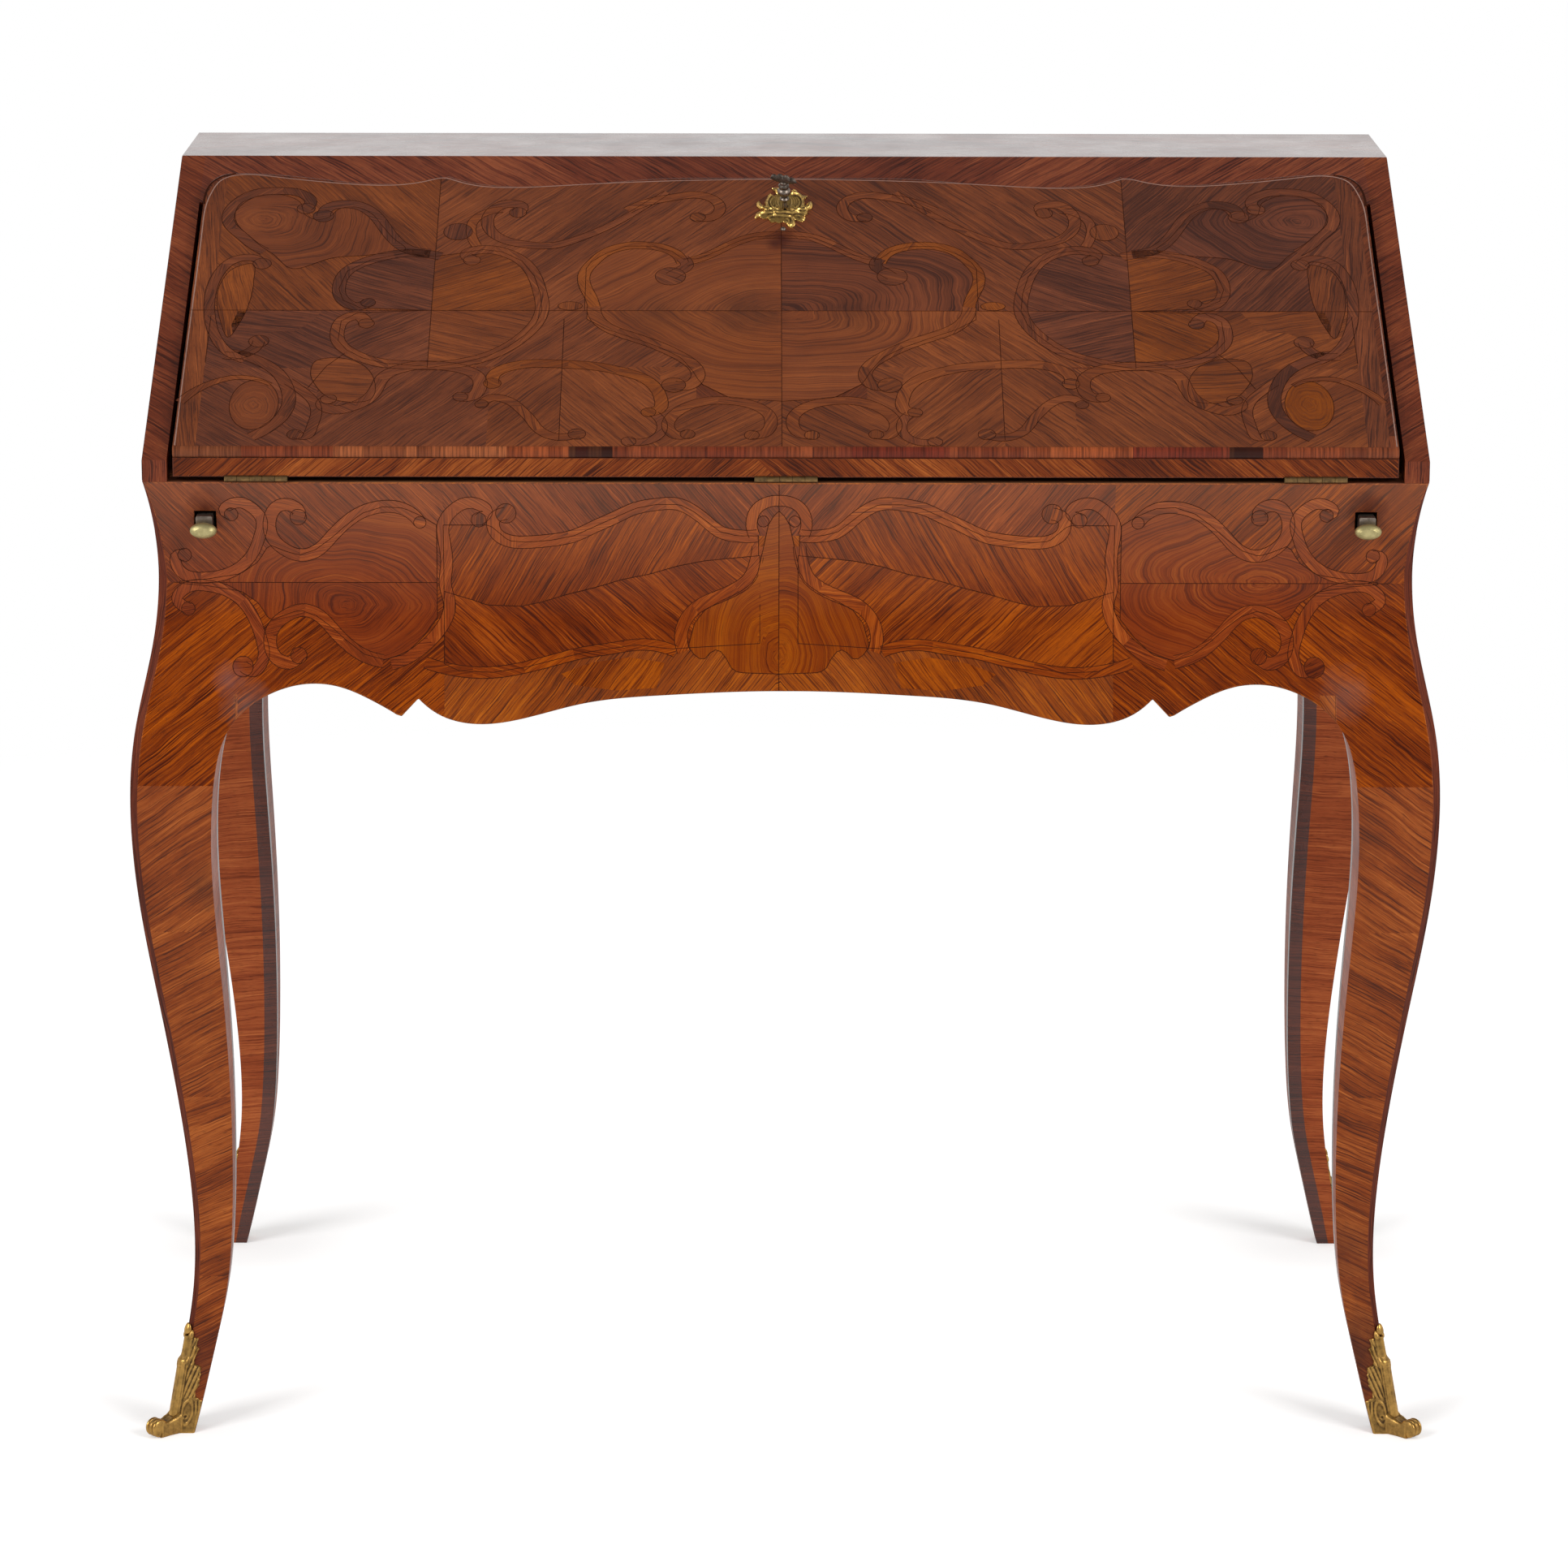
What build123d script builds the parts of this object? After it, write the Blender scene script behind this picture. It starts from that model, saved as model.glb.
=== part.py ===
"""Slant-front writing desk on cabriole legs, in the Louis XV manner.

Millimetres, +Z up, the front towards -Y. The origin is on the floor, under the
middle of the case. Every piece is its own solid in its own STEP file.
"""

from build123d import *
import math
import os

os.makedirs("parts", exist_ok=True)

# ---------------------------------------------------------------- the case
WIDTH = 940.0  # side to side, above the knees
DEPTH = 500.0  # front plane to back plane
HEIGHT = 926.0  # floor to top
TOP_DEPTH = 144.0  # flat top, front to back
SLOPE_FOOT_Z = 749.0  # where the slope leaves the front
AXIS_Z = 735.5  # hinge axis of the fall, the writing level
SIDE_THICK = 18.0
TOP_THICK = 18.0
BACK_THICK = 12.0
BACK_REBATE = 6.0  # back panel set in from the back plane
BACK_FRAME = 55.0  # stiles and rails of the back panel
BACK_FIELD = 22.0  # sunk margin round each raised field
BACK_SUNK = 4.0
RAIL_GAP = 2.6  # hinge axis down to the top edge of the front
RAIL_THICK = 20.0  # slope rail, across its thickness

# ---------------------------------------------------- cabriole legs and posts
POST_WIDTH = 65.0  # post above the knee, each way
ARCH_SPRING_Z = 556.0  # where the arch leaves the post
# Serpentine of the outer face: height, inset from the case plane.
OUTER_CURVE = (
    (0.0, 4.0),
    (50.0, 12.9),
    (110.0, 22.3),
    (179.0, 22.6),
    (254.0, 15.0),
    (336.0, 3.0),
    (412.0, -8.3),
    (477.0, -13.3),
    (546.0, -9.3),
    (613.0, 4.6),
    (665.0, 9.0),
    (712.0, 4.6),
)
# Inner edge of the leg below the arch: height, distance in from the case plane.
INNER_CURVE = (
    (0.0, 23.0),
    (66.0, 39.0),
    (109.0, 48.0),
    (150.0, 52.2),
    (212.0, 54.4),
    (296.0, 53.5),
    (375.0, 49.5),
    (452.0, 46.0),
    (495.0, 47.5),
    (525.0, 51.5),
    (544.0, 57.5),
)
# Canted outer corner: height, width cut from each face.
CANT = ((0.0, 3.6), (150.0, 4.6), (477.0, 5.6), (665.0, 6.6))
CANT_TOP = 0.3

# ------------------------------------------------------------ front and sides
APRON_IN = 22.0  # inner face of the front, in from the case plane
SIDE_APRON_IN = 24.0
# Lower edge of the front, from the middle to the notch: share of the way to the post, height.
FRONT_EDGE = (
    (0.0, 577.5),
    (0.222, 574.5),
    (0.370, 568.3),
    (0.486, 556.8),
    (0.560, 553.6),
    (0.625, 559.5),
    (0.667, 572.0),
)
# From the tip beside the notch towards the post.
FRONT_ARCH = (
    (0.699, 558.5),
    (0.748, 569.8),
    (0.815, 580.7),
    (0.877, 582.0),
    (0.928, 576.5),
    (0.973, 566.2),
)
# Lower edge of each side, from the middle towards the post.
SIDE_EDGE = (
    (0.0, 570.0),
    (0.15, 568.5),
    (0.335, 573.0),
    (0.57, 583.0),
    (0.76, 581.5),
    (0.92, 570.0),
)
BACK_EDGE_Z = 575.0  # lower edge of the back rail

# --------------------------------------------------------- floor, well, bottom
FLOOR_THICK = 14.0
BOTTOM_Z = 588.0
BOTTOM_THICK = 12.0
WELL_HALF = 140.0  # half width of the well
WELL_SPAN = (38.0, 198.0)  # front and back of the well, from the front plane
WELL_WALL = 8.0
COVER_THICK = 6.7
COVER_EDGE = 6.0  # how far the cover runs into its groove, each side
COVER_TRAVEL = 150.0
COVER_SKIN = 3.8  # floor left above the groove
FINGER_R = 24.0  # finger hollow of the cover
FINGER_DEPTH = 3.5
FINGER_IN = 28.0
SLIDE_CLEAR = 0.3  # running clearance of sliding pieces

# ------------------------------------------------------------------ the fall
FALL_SIDE_GAP = 4.5  # fall to side, each side
FALL_PROUD = 8.5  # outer face above the slope
FALL_BEHIND = 1.0  # inner face behind the hinge axis
FALL_FOOT_GAP = 1.4  # hinge axis up to the foot of the fall
CORE_GAP = 3.0  # thick part of the fall to the slope rail
RAIL_WIDTH = 64.6  # slope rail, up the slope
LIP_REST = 0.3  # lip above the rail it closes on
LIP_ROUND = 1.6  # rounded outer arris of the lip
# Shaped upper edge of the fall: share of its half width, distance past the rail's edge.
LIP_CORNER = ((1.0, 0.0), (0.991, 17.0), (0.948, 28.5))
LIP_DIP = ((0.948, 28.5), (0.816, 22.0), (0.684, 14.0), (0.581, 25.0))
LIP_CENTRE = ((0.581, 25.0), (0.489, 11.5), (0.268, 19.0), (0.0, 23.0))
NOSE_HEIGHT = 7.6  # cross-grain strip along the foot of the fall
NOSE_DEPTH = 14.0
NOSE_PROUD = 1.2
NOSE_ROUND = 3.0
LEATHER_MARGIN = 52.0  # lining in from the ends of the fall
LEATHER_START = 42.0
LEATHER_TO_LOCK = 16.0
LEATHER_THICK = 1.4

# ------------------------------------------------------------------- hinges
HINGE_IN = 60.5  # middle of each outer hinge, in from the end of the fall
HINGE_LENGTH = 46.0
HINGE_LEAF = 18.0
HINGE_THICK = 1.5
KNUCKLES = 5
KNUCKLE_R = 2.4
KNUCKLE_GAP = 0.3
PIN_R = 1.2
PIN_CLEAR = 0.05

# ------------------------------------------------------------ lock and key
KEYHOLE_DROP = 19.0  # keyhole below the slope rail
LOCK_WIDTH = 62.0
LOCK_HEIGHT = 45.0
LOCK_GAP = 1.0  # lock to the end of the fall's thick part
LOCK_DEPTH = 13.0
LOCK_CHAMBER_R = 9.5
LOCK_CHAMBER = 7.5
BOLT_WIDTH = 16.0
BOLT_THICK = 3.0
BOLT_LENGTH = 34.0
BOLT_IN = 3.0  # middle of the bolt from the inner face
BOLT_THROW = 8.0
STRIKE_THICK = 1.5
SHANK_R = 2.5
SHANK_CLEAR = 0.6
DRILL_PIN_R = 1.2  # the pin in the lock that the piped key turns on
KEY_REACH = 31.0  # key beyond the outer face
BOW_WIDTH = 23.0
ESCUTCHEON_THICK = 2.4

# ------------------------------------------------------------------ lopers
LOPER_IN = 45.0  # middle of the bar, in from the side
LOPER_BAR = 12.0
LOPER_DROP = 27.0  # hinge axis down to the top of the bar
LOPER_LENGTH = 300.0
LOPER_STAND = 6.0  # bar ahead of the front plane at rest
LOPER_HOLE = 16.0
GUIDE_WIDTH = 28.0
GUIDE_LENGTH = 245.0
GUIDE_BASE = 8.5  # wood under the bar
KNOB_WIDTH = 19.7
KNOB_HEIGHT = 11.6
KNOB_DEPTH = 8.0
KNOB_DROP = 3.5  # knob's middle below the bar's

# ------------------------------------------------------------- the gallery
GALLERY_LEAD = 86.0  # drawer fronts ahead of the top of the slope
GALLERY_BASE = 6.0
SHELF_THICK = 6.0
UPRIGHT_THICK = 7.0
NICHE_HALF = 152.0
DRAWER_TIER = 50.0
DRAWER_WALL = 5.0
DRAWER_FRONT = 10.0
DRAWER_FLOOR = 4.0
DRAWER_CLEAR = 0.5
DRAWER_SHORT = 6.0  # drawer shorter than its bay, at the back
DRAWER_KNOB_R = 6.0
RAIL_CLEAR = 6.0  # pigeonholes behind the slope rail
DIVIDER_LEAD = 46.0  # foot of the pigeonhole divider ahead of the slope rail
SWEEP_RISE = 0.78  # share of a pigeonhole's height that the sweep takes
ARCH_DEPTH = 15.0
ARCH_THICK = 5.0

# ------------------------------------------------------------------ sabots
SABOT_THICK = 2.0
TOE_R = 7.0
TOE_WIDTH = 13.0
TOE_OUT = 6.8  # centre of the toe scroll beyond the leg's corner
STEM_TOP = 62.0  # scroll stem up the corner
STEM_WIDTH = 6.0
# Edge of each wing of the sabot: distance in from the corner, height.
SABOT_LEAF = (
    (21.0, 22.0),
    (15.5, 23.0),
    (10.2, 27.5),
    (12.2, 36.0),
    (10.8, 45.5),
    (5.2, 48.0),
    (6.8, 53.5),
    (6.3, 59.5),
    (4.8, 66.0),
    (3.4, 73.0),
    (1.8, 83.0),
)

# ------------------------------------------------------------ worked out
HALF_W = WIDTH / 2
FRONT_Y = -DEPTH / 2
BACK_Y = DEPTH / 2
SLOPE_TOP_Y = BACK_Y - TOP_DEPTH
SLOPE = math.atan2(HEIGHT - SLOPE_FOOT_Z, SLOPE_TOP_Y - FRONT_Y)
RISE = math.sin(SLOPE)
RUN = math.cos(SLOPE)
SLOPE_LENGTH = math.hypot(HEIGHT - SLOPE_FOOT_Z, SLOPE_TOP_Y - FRONT_Y)
SLOPE_PLANE = Plane(
    origin=(0, FRONT_Y, SLOPE_FOOT_Z), x_dir=(1, 0, 0), z_dir=(0, -RISE, RUN)
)
RAIL_Z = AXIS_Z - RAIL_GAP  # top edge of the front and the posts
FLOOR_Z = AXIS_Z - FLOOR_THICK
ROOF_Z = HEIGHT - TOP_THICK
INNER_HALF = HALF_W - SIDE_THICK
POST_IN = HALF_W - POST_WIDTH
FALL_HALF = INNER_HALF - FALL_SIDE_GAP
HINGE_X = (HINGE_IN - FALL_HALF, 0.0, FALL_HALF - HINGE_IN)
LOPER_X = HALF_W - LOPER_IN
RAIL_START = SLOPE_LENGTH - RAIL_WIDTH
FALL_CORE = RAIL_START - CORE_GAP
KEYHOLE_S = RAIL_START - KEYHOLE_DROP
LOCK_SPAN = (FALL_CORE - LOCK_GAP - LOCK_HEIGHT, FALL_CORE - LOCK_GAP)
LEATHER_SPAN = (LEATHER_START, LOCK_SPAN[0] - LEATHER_TO_LOCK)
AXIS_N = (AXIS_Z - SLOPE_FOOT_Z) * RUN  # hinge axis, off the slope
AXIS_S = (AXIS_Z - SLOPE_FOOT_Z) * RISE  # hinge axis, up the slope
FALL_IN = AXIS_N - FALL_BEHIND
BACK_IN = BACK_Y - BACK_REBATE - BACK_THICK
BACK_OUT = BACK_Y - BACK_REBATE
GALLERY_Y = SLOPE_TOP_Y - GALLERY_LEAD
BASE_Z = AXIS_Z + GALLERY_BASE
TIER_Z = BASE_Z + DRAWER_TIER
SHELF_Z = TIER_Z + SHELF_THICK
UPPER_Y = SLOPE_TOP_Y + RAIL_CLEAR
BAY = (INNER_HALF - NICHE_HALF - 2 * UPRIGHT_THICK) / 2
BAY_1 = NICHE_HALF + UPRIGHT_THICK  # inner bay starts
DIVIDER_X = BAY_1 + BAY
BAY_2 = DIVIDER_X + UPRIGHT_THICK  # outer bay starts
WELL_Y = (FRONT_Y + WELL_SPAN[0], FRONT_Y + WELL_SPAN[1])
GROOVE_TOP = AXIS_Z - COVER_SKIN
GROOVE_BOTTOM = GROOVE_TOP - COVER_THICK - 2 * SLIDE_CLEAR
BAR_TOP = AXIS_Z - LOPER_DROP
BAR_Z = BAR_TOP - LOPER_BAR / 2
BAR_Y = FRONT_Y - LOPER_STAND
OUTWARD = Plane(
    origin=(HALF_W, FRONT_Y, 0),
    x_dir=(math.sqrt(0.5), -math.sqrt(0.5), 0),
    z_dir=(-math.sqrt(0.5), -math.sqrt(0.5), 0),
)
FAR = 2 * HEIGHT


# ------------------------------------------------------------ small helpers
def block(x, y, z):
    """A box between three pairs of limits."""
    middle = Pos((x[0] + x[1]) / 2, (y[0] + y[1]) / 2, (z[0] + z[1]) / 2)
    return middle * Box(abs(x[1] - x[0]), abs(y[1] - y[0]), abs(z[1] - z[0]))


def on_slope(x, s, n):
    """A box in slope measures: across, up the slope, off the slope."""
    return SLOPE_PLANE * block(x, s, n)


def face_of(*edges):
    """A face bounded by edges that meet end to end."""
    return make_face(Curve() + list(edges))


def along_x(profile, x):
    """A (y, z) face drawn out between two values of x."""
    return extrude(Plane.YZ.offset(x[0]) * profile, x[1] - x[0])


def along_y(profile, y):
    """An (x, z) face drawn out between two values of y."""
    return extrude(Plane.XZ.offset(-y[1]) * profile, y[1] - y[0])


def polygon(*points):
    """A straight-sided face."""
    return make_face(Polyline(*points, close=True))


def rod(radius, length, at, way):
    """A round bar that starts at a point and runs a length one way."""
    return extrude(Plane(origin=at, z_dir=way) * Circle(radius), length)


def flipped(part):
    """The same piece on the other side of the middle."""
    return mirror(part, about=Plane.YZ)


# ------------------------------------------------------- legs and the fronts
def outer_spline(case_half, side, swell=0.0):
    """The outer serpentine as an edge, in (distance from middle, height)."""
    points = [(side * (case_half - inset + swell), z) for z, inset in OUTER_CURVE]
    return Spline(*points, (side * (case_half + swell), RAIL_Z))


def leg_profile(case_half, side, swell=0.0):
    """One elevation of a leg with its post."""
    outer = outer_spline(case_half, side, swell)
    inner_points = [(side * (case_half - inset), z) for z, inset in INNER_CURVE]
    spring = (side * (case_half - POST_WIDTH), ARCH_SPRING_Z)
    inner = Spline(*inner_points, spring)
    top = Polyline(spring, (spring[0], RAIL_Z), outer @ 1)
    return face_of(outer, top, inner, Line(inner @ 0, outer @ 0))


def cant_prism():
    """Everything inside the canted outer corner of a leg."""
    levels = {z: inset for z, inset in OUTER_CURVE}
    levels[RAIL_Z] = 0.0
    widths = dict(CANT)
    widths[RAIL_Z] = CANT_TOP
    heights = sorted(widths)

    def width_at(z):
        """Cant width between the stated heights."""
        below = max(h for h in heights if h <= z)
        above = min(h for h in heights if h >= z)
        share = 0.0 if above == below else (z - below) / (above - below)
        return widths[below] + share * (widths[above] - widths[below])

    points = []
    for z, inset in sorted(levels.items()):
        points.append((-math.sqrt(2) * inset - width_at(z) / math.sqrt(2), z))
    edge = Spline(*points)
    back = Polyline(edge @ 1, (-2 * POST_WIDTH, RAIL_Z), (-2 * POST_WIDTH, 0), edge @ 0)
    return extrude(OUTWARD * face_of(edge, back), 2 * POST_WIDTH, both=True)


def leg_blank(swell=0.0):
    """Both elevations of the front right leg cut from one baulk."""
    front = along_y(leg_profile(HALF_W, 1, swell), (FRONT_Y - POST_WIDTH, 0))
    side = along_x(leg_profile(-FRONT_Y, -1, swell), (0, HALF_W + POST_WIDTH))
    return front & side


def floor_housing():
    """Space the writing floor and the back panel take from the posts."""
    return block((-INNER_HALF, INNER_HALF), (FRONT_Y + APRON_IN, BACK_OUT), (FLOOR_Z, FAR))


def legs():
    """Four cabriole legs, the front pair bored for the lopers."""
    plain = leg_blank() & cant_prism()
    half = LOPER_HOLE / 2
    hole = block(
        (LOPER_X - half, LOPER_X + half), (2 * FRONT_Y, 0), (BAR_Z - half, BAR_Z + half)
    )
    front = plain - floor_housing() - hole
    back = mirror(plain, about=Plane.XZ) - floor_housing()
    return {
        "leg_front_right": front,
        "leg_front_left": flipped(front),
        "leg_back_right": back,
        "leg_back_left": flipped(back),
    }


def spring_line(reach, edges):
    """Face above a mirrored lower edge, out to the posts."""
    mirrored = [mirror(edge, about=Plane.YZ) for edge in edges]
    cap = Polyline(
        (-reach, ARCH_SPRING_Z), (-reach, RAIL_Z), (reach, RAIL_Z), (reach, ARCH_SPRING_Z)
    )
    return face_of(*edges, *mirrored, cap)


def front_apron():
    """Serpentine front between the posts, with its shaped lower edge."""
    outer = outer_spline(-FRONT_Y, -1)
    inner_y = FRONT_Y + APRON_IN
    section = face_of(
        outer, Polyline(outer @ 1, (inner_y, RAIL_Z), (inner_y, 0), outer @ 0)
    )
    edge = [(share * POST_IN, z) for share, z in FRONT_EDGE]
    rise = [(share * POST_IN, z) for share, z in FRONT_ARCH]
    middle = Spline(*edge, tangents=((1, 0), (0.7, 1)))
    notch = Line(edge[-1], rise[0])
    arch = Spline(*rise, (POST_IN, ARCH_SPRING_Z))
    outline = spring_line(POST_IN, (middle, notch, arch))
    return along_x(section, (-POST_IN, POST_IN)) & along_y(outline, (2 * FRONT_Y, 0))


def side_apron():
    """Serpentine right side below the writing level."""
    outer = outer_spline(HALF_W, 1)
    inner_x = HALF_W - SIDE_APRON_IN
    section = face_of(
        outer, Polyline(outer @ 1, (inner_x, RAIL_Z), (inner_x, 0), outer @ 0)
    )
    reach = -FRONT_Y - POST_WIDTH
    points = [(share * reach, z) for share, z in SIDE_EDGE]
    edge = Spline(*points, (reach, ARCH_SPRING_Z), tangents=((1, 0), (0.8, -1)))
    outline = spring_line(reach, (edge,))
    blank = along_y(section, (-reach, reach)) & along_x(outline, (0, 2 * HALF_W))
    return blank - floor_housing()


# ------------------------------------------------------------ case and floor
def case_side():
    """Right side above the writing level, with its sloping front."""
    outline = polygon(
        (FRONT_Y, RAIL_Z),
        (FRONT_Y, SLOPE_FOOT_Z),
        (SLOPE_TOP_Y, HEIGHT),
        (SLOPE_TOP_Y, ROOF_Z),
        (BACK_Y, ROOF_Z),
        (BACK_Y, RAIL_Z),
    )
    return along_x(outline, (INNER_HALF, HALF_W))


def slope_point(s, n):
    """(y, z) of a point up the slope and off it."""
    return (FRONT_Y + s * RUN - n * RISE, SLOPE_FOOT_Z + s * RISE + n * RUN)


def slope_rail():
    """Rail above the fall, with the mortise for the bolt."""
    low = slope_point(RAIL_START, -RAIL_THICK)
    tail = (SLOPE_TOP_Y, low[1] + (SLOPE_TOP_Y - low[0]) * math.tan(SLOPE))
    outline = polygon(slope_point(RAIL_START, 0), (SLOPE_TOP_Y, HEIGHT), tail, low)
    mortise = bolt_space(RAIL_START - STRIKE_THICK, RAIL_START + BOLT_THROW + 4, 1.0)
    plate_bed = on_slope(
        (-LOCK_WIDTH / 2, LOCK_WIDTH / 2),
        (RAIL_START - 1, RAIL_START + STRIKE_THICK),
        (FALL_IN, -1.0),
    )
    return along_x(outline, (-INNER_HALF, INNER_HALF)) - mortise - plate_bed


def strike_plate():
    """Brass plate let into the lower edge of the slope rail."""
    plate = on_slope(
        (-LOCK_WIDTH / 2, LOCK_WIDTH / 2),
        (RAIL_START, RAIL_START + STRIKE_THICK),
        (FALL_IN, -1.0),
    )
    return plate - bolt_space(RAIL_START - 1, RAIL_START + 2 * STRIKE_THICK, 0.6)


def top_board():
    """Flat top."""
    return block((-HALF_W, HALF_W), (SLOPE_TOP_Y, BACK_Y), (ROOF_Z, HEIGHT))


def back_panel():
    """Upper back: a frame with two fielded panels seen from behind."""
    panel = block((-INNER_HALF, INNER_HALF), (BACK_IN, BACK_OUT), (FLOOR_Z, ROOF_Z))
    height = (FLOOR_Z + BACK_FRAME, ROOF_Z - BACK_FRAME)
    for side in (-1, 1):
        inner = sorted((side * BACK_FRAME / 2, side * (INNER_HALF - BACK_FRAME)))
        sunk = block(inner, (BACK_OUT - BACK_SUNK, BACK_OUT + 1), height)
        raised = block(
            (inner[0] + BACK_FIELD, inner[1] - BACK_FIELD),
            (BACK_OUT - BACK_SUNK, BACK_OUT),
            (height[0] + BACK_FIELD, height[1] - BACK_FIELD),
        )
        panel = panel - sunk + raised
    return panel


def back_rail():
    """Lower back between the rear posts."""
    inner = BACK_Y - APRON_IN
    return block((-POST_IN, POST_IN), (inner, BACK_OUT), (BACK_EDGE_Z, FLOOR_Z))


def bottom_board():
    """Bottom of the case, notched round the four posts."""
    wide = HALF_W - SIDE_APRON_IN
    deep = -FRONT_Y - APRON_IN
    level = (BOTTOM_Z, BOTTOM_Z + BOTTOM_THICK)
    board = block((-wide, wide), (-deep, deep), level)
    for x in (-1, 1):
        for y in (-1, 1):
            board -= block(
                sorted((x * POST_IN, x * HALF_W)),
                sorted((y * (-FRONT_Y - POST_WIDTH), y * -FRONT_Y)),
                (0, HEIGHT),
            )
    return board


def writing_floor():
    """Fixed part of the writing surface, with the well and its cover's groove."""
    board = block((-INNER_HALF, INNER_HALF), (FRONT_Y + APRON_IN, BACK_IN), (FLOOR_Z, AXIS_Z))
    mouth = block((-WELL_HALF, WELL_HALF), WELL_Y, (0, HEIGHT))
    half = WELL_HALF + COVER_EDGE + SLIDE_CLEAR
    groove = block(
        (-half, half),
        (
            WELL_Y[0] - COVER_EDGE - SLIDE_CLEAR,
            WELL_Y[1] + COVER_EDGE + COVER_TRAVEL + SLIDE_CLEAR,
        ),
        (GROOVE_BOTTOM, GROOVE_TOP),
    )
    return board - mouth - groove


def well_box():
    """Walls of the well, between the floor and the bottom of the case."""
    height = (BOTTOM_Z + BOTTOM_THICK, FLOOR_Z)
    half = WELL_HALF + WELL_WALL
    outer = block((-half, half), (WELL_Y[0] - WELL_WALL, WELL_Y[1] + WELL_WALL), height)
    return outer - block((-WELL_HALF, WELL_HALF), WELL_Y, (0, HEIGHT))


def well_cover():
    """Sliding cover of the well, with a finger hollow."""
    half = WELL_HALF + COVER_EDGE
    height = (GROOVE_BOTTOM + SLIDE_CLEAR, GROOVE_TOP - SLIDE_CLEAR)
    cover = block((-half, half), (WELL_Y[0] - COVER_EDGE, WELL_Y[1] + COVER_EDGE), height)
    hollow_z = height[1] + FINGER_R - FINGER_DEPTH
    return cover - Pos(0, WELL_Y[0] + FINGER_IN, hollow_z) * Sphere(FINGER_R)


# ------------------------------------------------------------------ lopers
def loper_bar():
    """Square iron bar of the right loper."""
    half = LOPER_BAR / 2
    bar = block(
        (LOPER_X - half, LOPER_X + half),
        (BAR_Y, BAR_Y + LOPER_LENGTH),
        (BAR_Z - half, BAR_Z + half),
    )
    return chamfer(bar.edges().filter_by(Axis.Y), 0.8)


def loper_knob():
    """Oval brass knob on a short neck, riveted to the end of the bar."""
    middle = BAR_Z - KNOB_DROP
    neck_length = 4.0
    neck = rod(3.2, neck_length, (LOPER_X, BAR_Y, BAR_Z - KNOB_DROP / 2), (0, -1, 0))
    back = Pos(LOPER_X, BAR_Y - 2.0, middle) * Rot(90, 0, 0)
    rim = back * Ellipse(KNOB_WIDTH / 2 - 1.5, KNOB_HEIGHT / 2 - 1.5)
    mid = Pos(0, -KNOB_DEPTH * 0.45, 0) * back * Ellipse(KNOB_WIDTH / 2, KNOB_HEIGHT / 2)
    front = Pos(0, -KNOB_DEPTH, 0) * back * Ellipse(KNOB_WIDTH / 2 - 4, KNOB_HEIGHT / 2 - 3.4)
    head = loft([rim, mid, front])
    return neck + head


def loper_guide():
    """Wooden trunking that the right loper runs in, under the floor."""
    start = FRONT_Y + POST_WIDTH
    half = GUIDE_WIDTH / 2
    bar = LOPER_BAR / 2 + SLIDE_CLEAR
    beam = block(
        (LOPER_X - half, LOPER_X + half),
        (start, start + GUIDE_LENGTH),
        (BAR_Z - LOPER_BAR / 2 - GUIDE_BASE, FLOOR_Z),
    )
    way = block((LOPER_X - bar, LOPER_X + bar), (2 * FRONT_Y, BACK_Y), (BAR_Z - bar, BAR_Z + bar))
    return beam - way


# ------------------------------------------------------------------ gallery
def gallery_base():
    """Thin base board under the drawers."""
    return block((-INNER_HALF, INNER_HALF), (GALLERY_Y, BACK_IN), (AXIS_Z, BASE_Z))


def swept_board(foot_y, base_z, x):
    """Upright board swept back from a foot at the shelf to behind the slope rail."""
    sweep_z = SHELF_Z + SWEEP_RISE * (ROOF_Z - SHELF_Z)
    middle = (foot_y + 0.7 * (UPPER_Y - foot_y), SHELF_Z + 0.32 * (ROOF_Z - SHELF_Z))
    sweep = Spline(
        (foot_y, SHELF_Z), middle, (UPPER_Y, sweep_z), tangents=((0.35, 1), (0.1, 1))
    )
    corners = [(UPPER_Y, sweep_z), (UPPER_Y, ROOF_Z), (BACK_IN, ROOF_Z), (BACK_IN, base_z)]
    if base_z < SHELF_Z:
        corners.append((foot_y, base_z))
    return along_x(face_of(sweep, Polyline(*corners, (foot_y, SHELF_Z))), x)


def upright():
    """Right upright beside the niche, swept back to the pigeonholes."""
    return swept_board(GALLERY_Y, BASE_Z, (NICHE_HALF, BAY_1))


def shelf(x):
    """Shelf over the drawers between two values of x."""
    return block(x, (GALLERY_Y, BACK_IN), (TIER_Z, SHELF_Z))


def divider_low():
    """Divider between the two right drawers."""
    return block((DIVIDER_X, BAY_2), (GALLERY_Y, BACK_IN), (BASE_Z, TIER_Z))


def divider_high():
    """Divider between the two right pigeonholes."""
    return swept_board(SLOPE_TOP_Y - DIVIDER_LEAD, SHELF_Z, (DIVIDER_X, BAY_2))


def niche_arch():
    """Shaped valance under the middle shelf."""
    crown = Spline(
        (-NICHE_HALF, TIER_Z - ARCH_DEPTH),
        (-NICHE_HALF * 0.62, TIER_Z - 5),
        (-NICHE_HALF * 0.25, TIER_Z - 9),
        (0, TIER_Z - 4.5),
        (NICHE_HALF * 0.25, TIER_Z - 9),
        (NICHE_HALF * 0.62, TIER_Z - 5),
        (NICHE_HALF, TIER_Z - ARCH_DEPTH),
    )
    rest = Polyline(crown @ 1, (NICHE_HALF, TIER_Z), (-NICHE_HALF, TIER_Z), crown @ 0)
    return along_y(face_of(crown, rest), (GALLERY_Y + 2, GALLERY_Y + 2 + ARCH_THICK))


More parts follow.
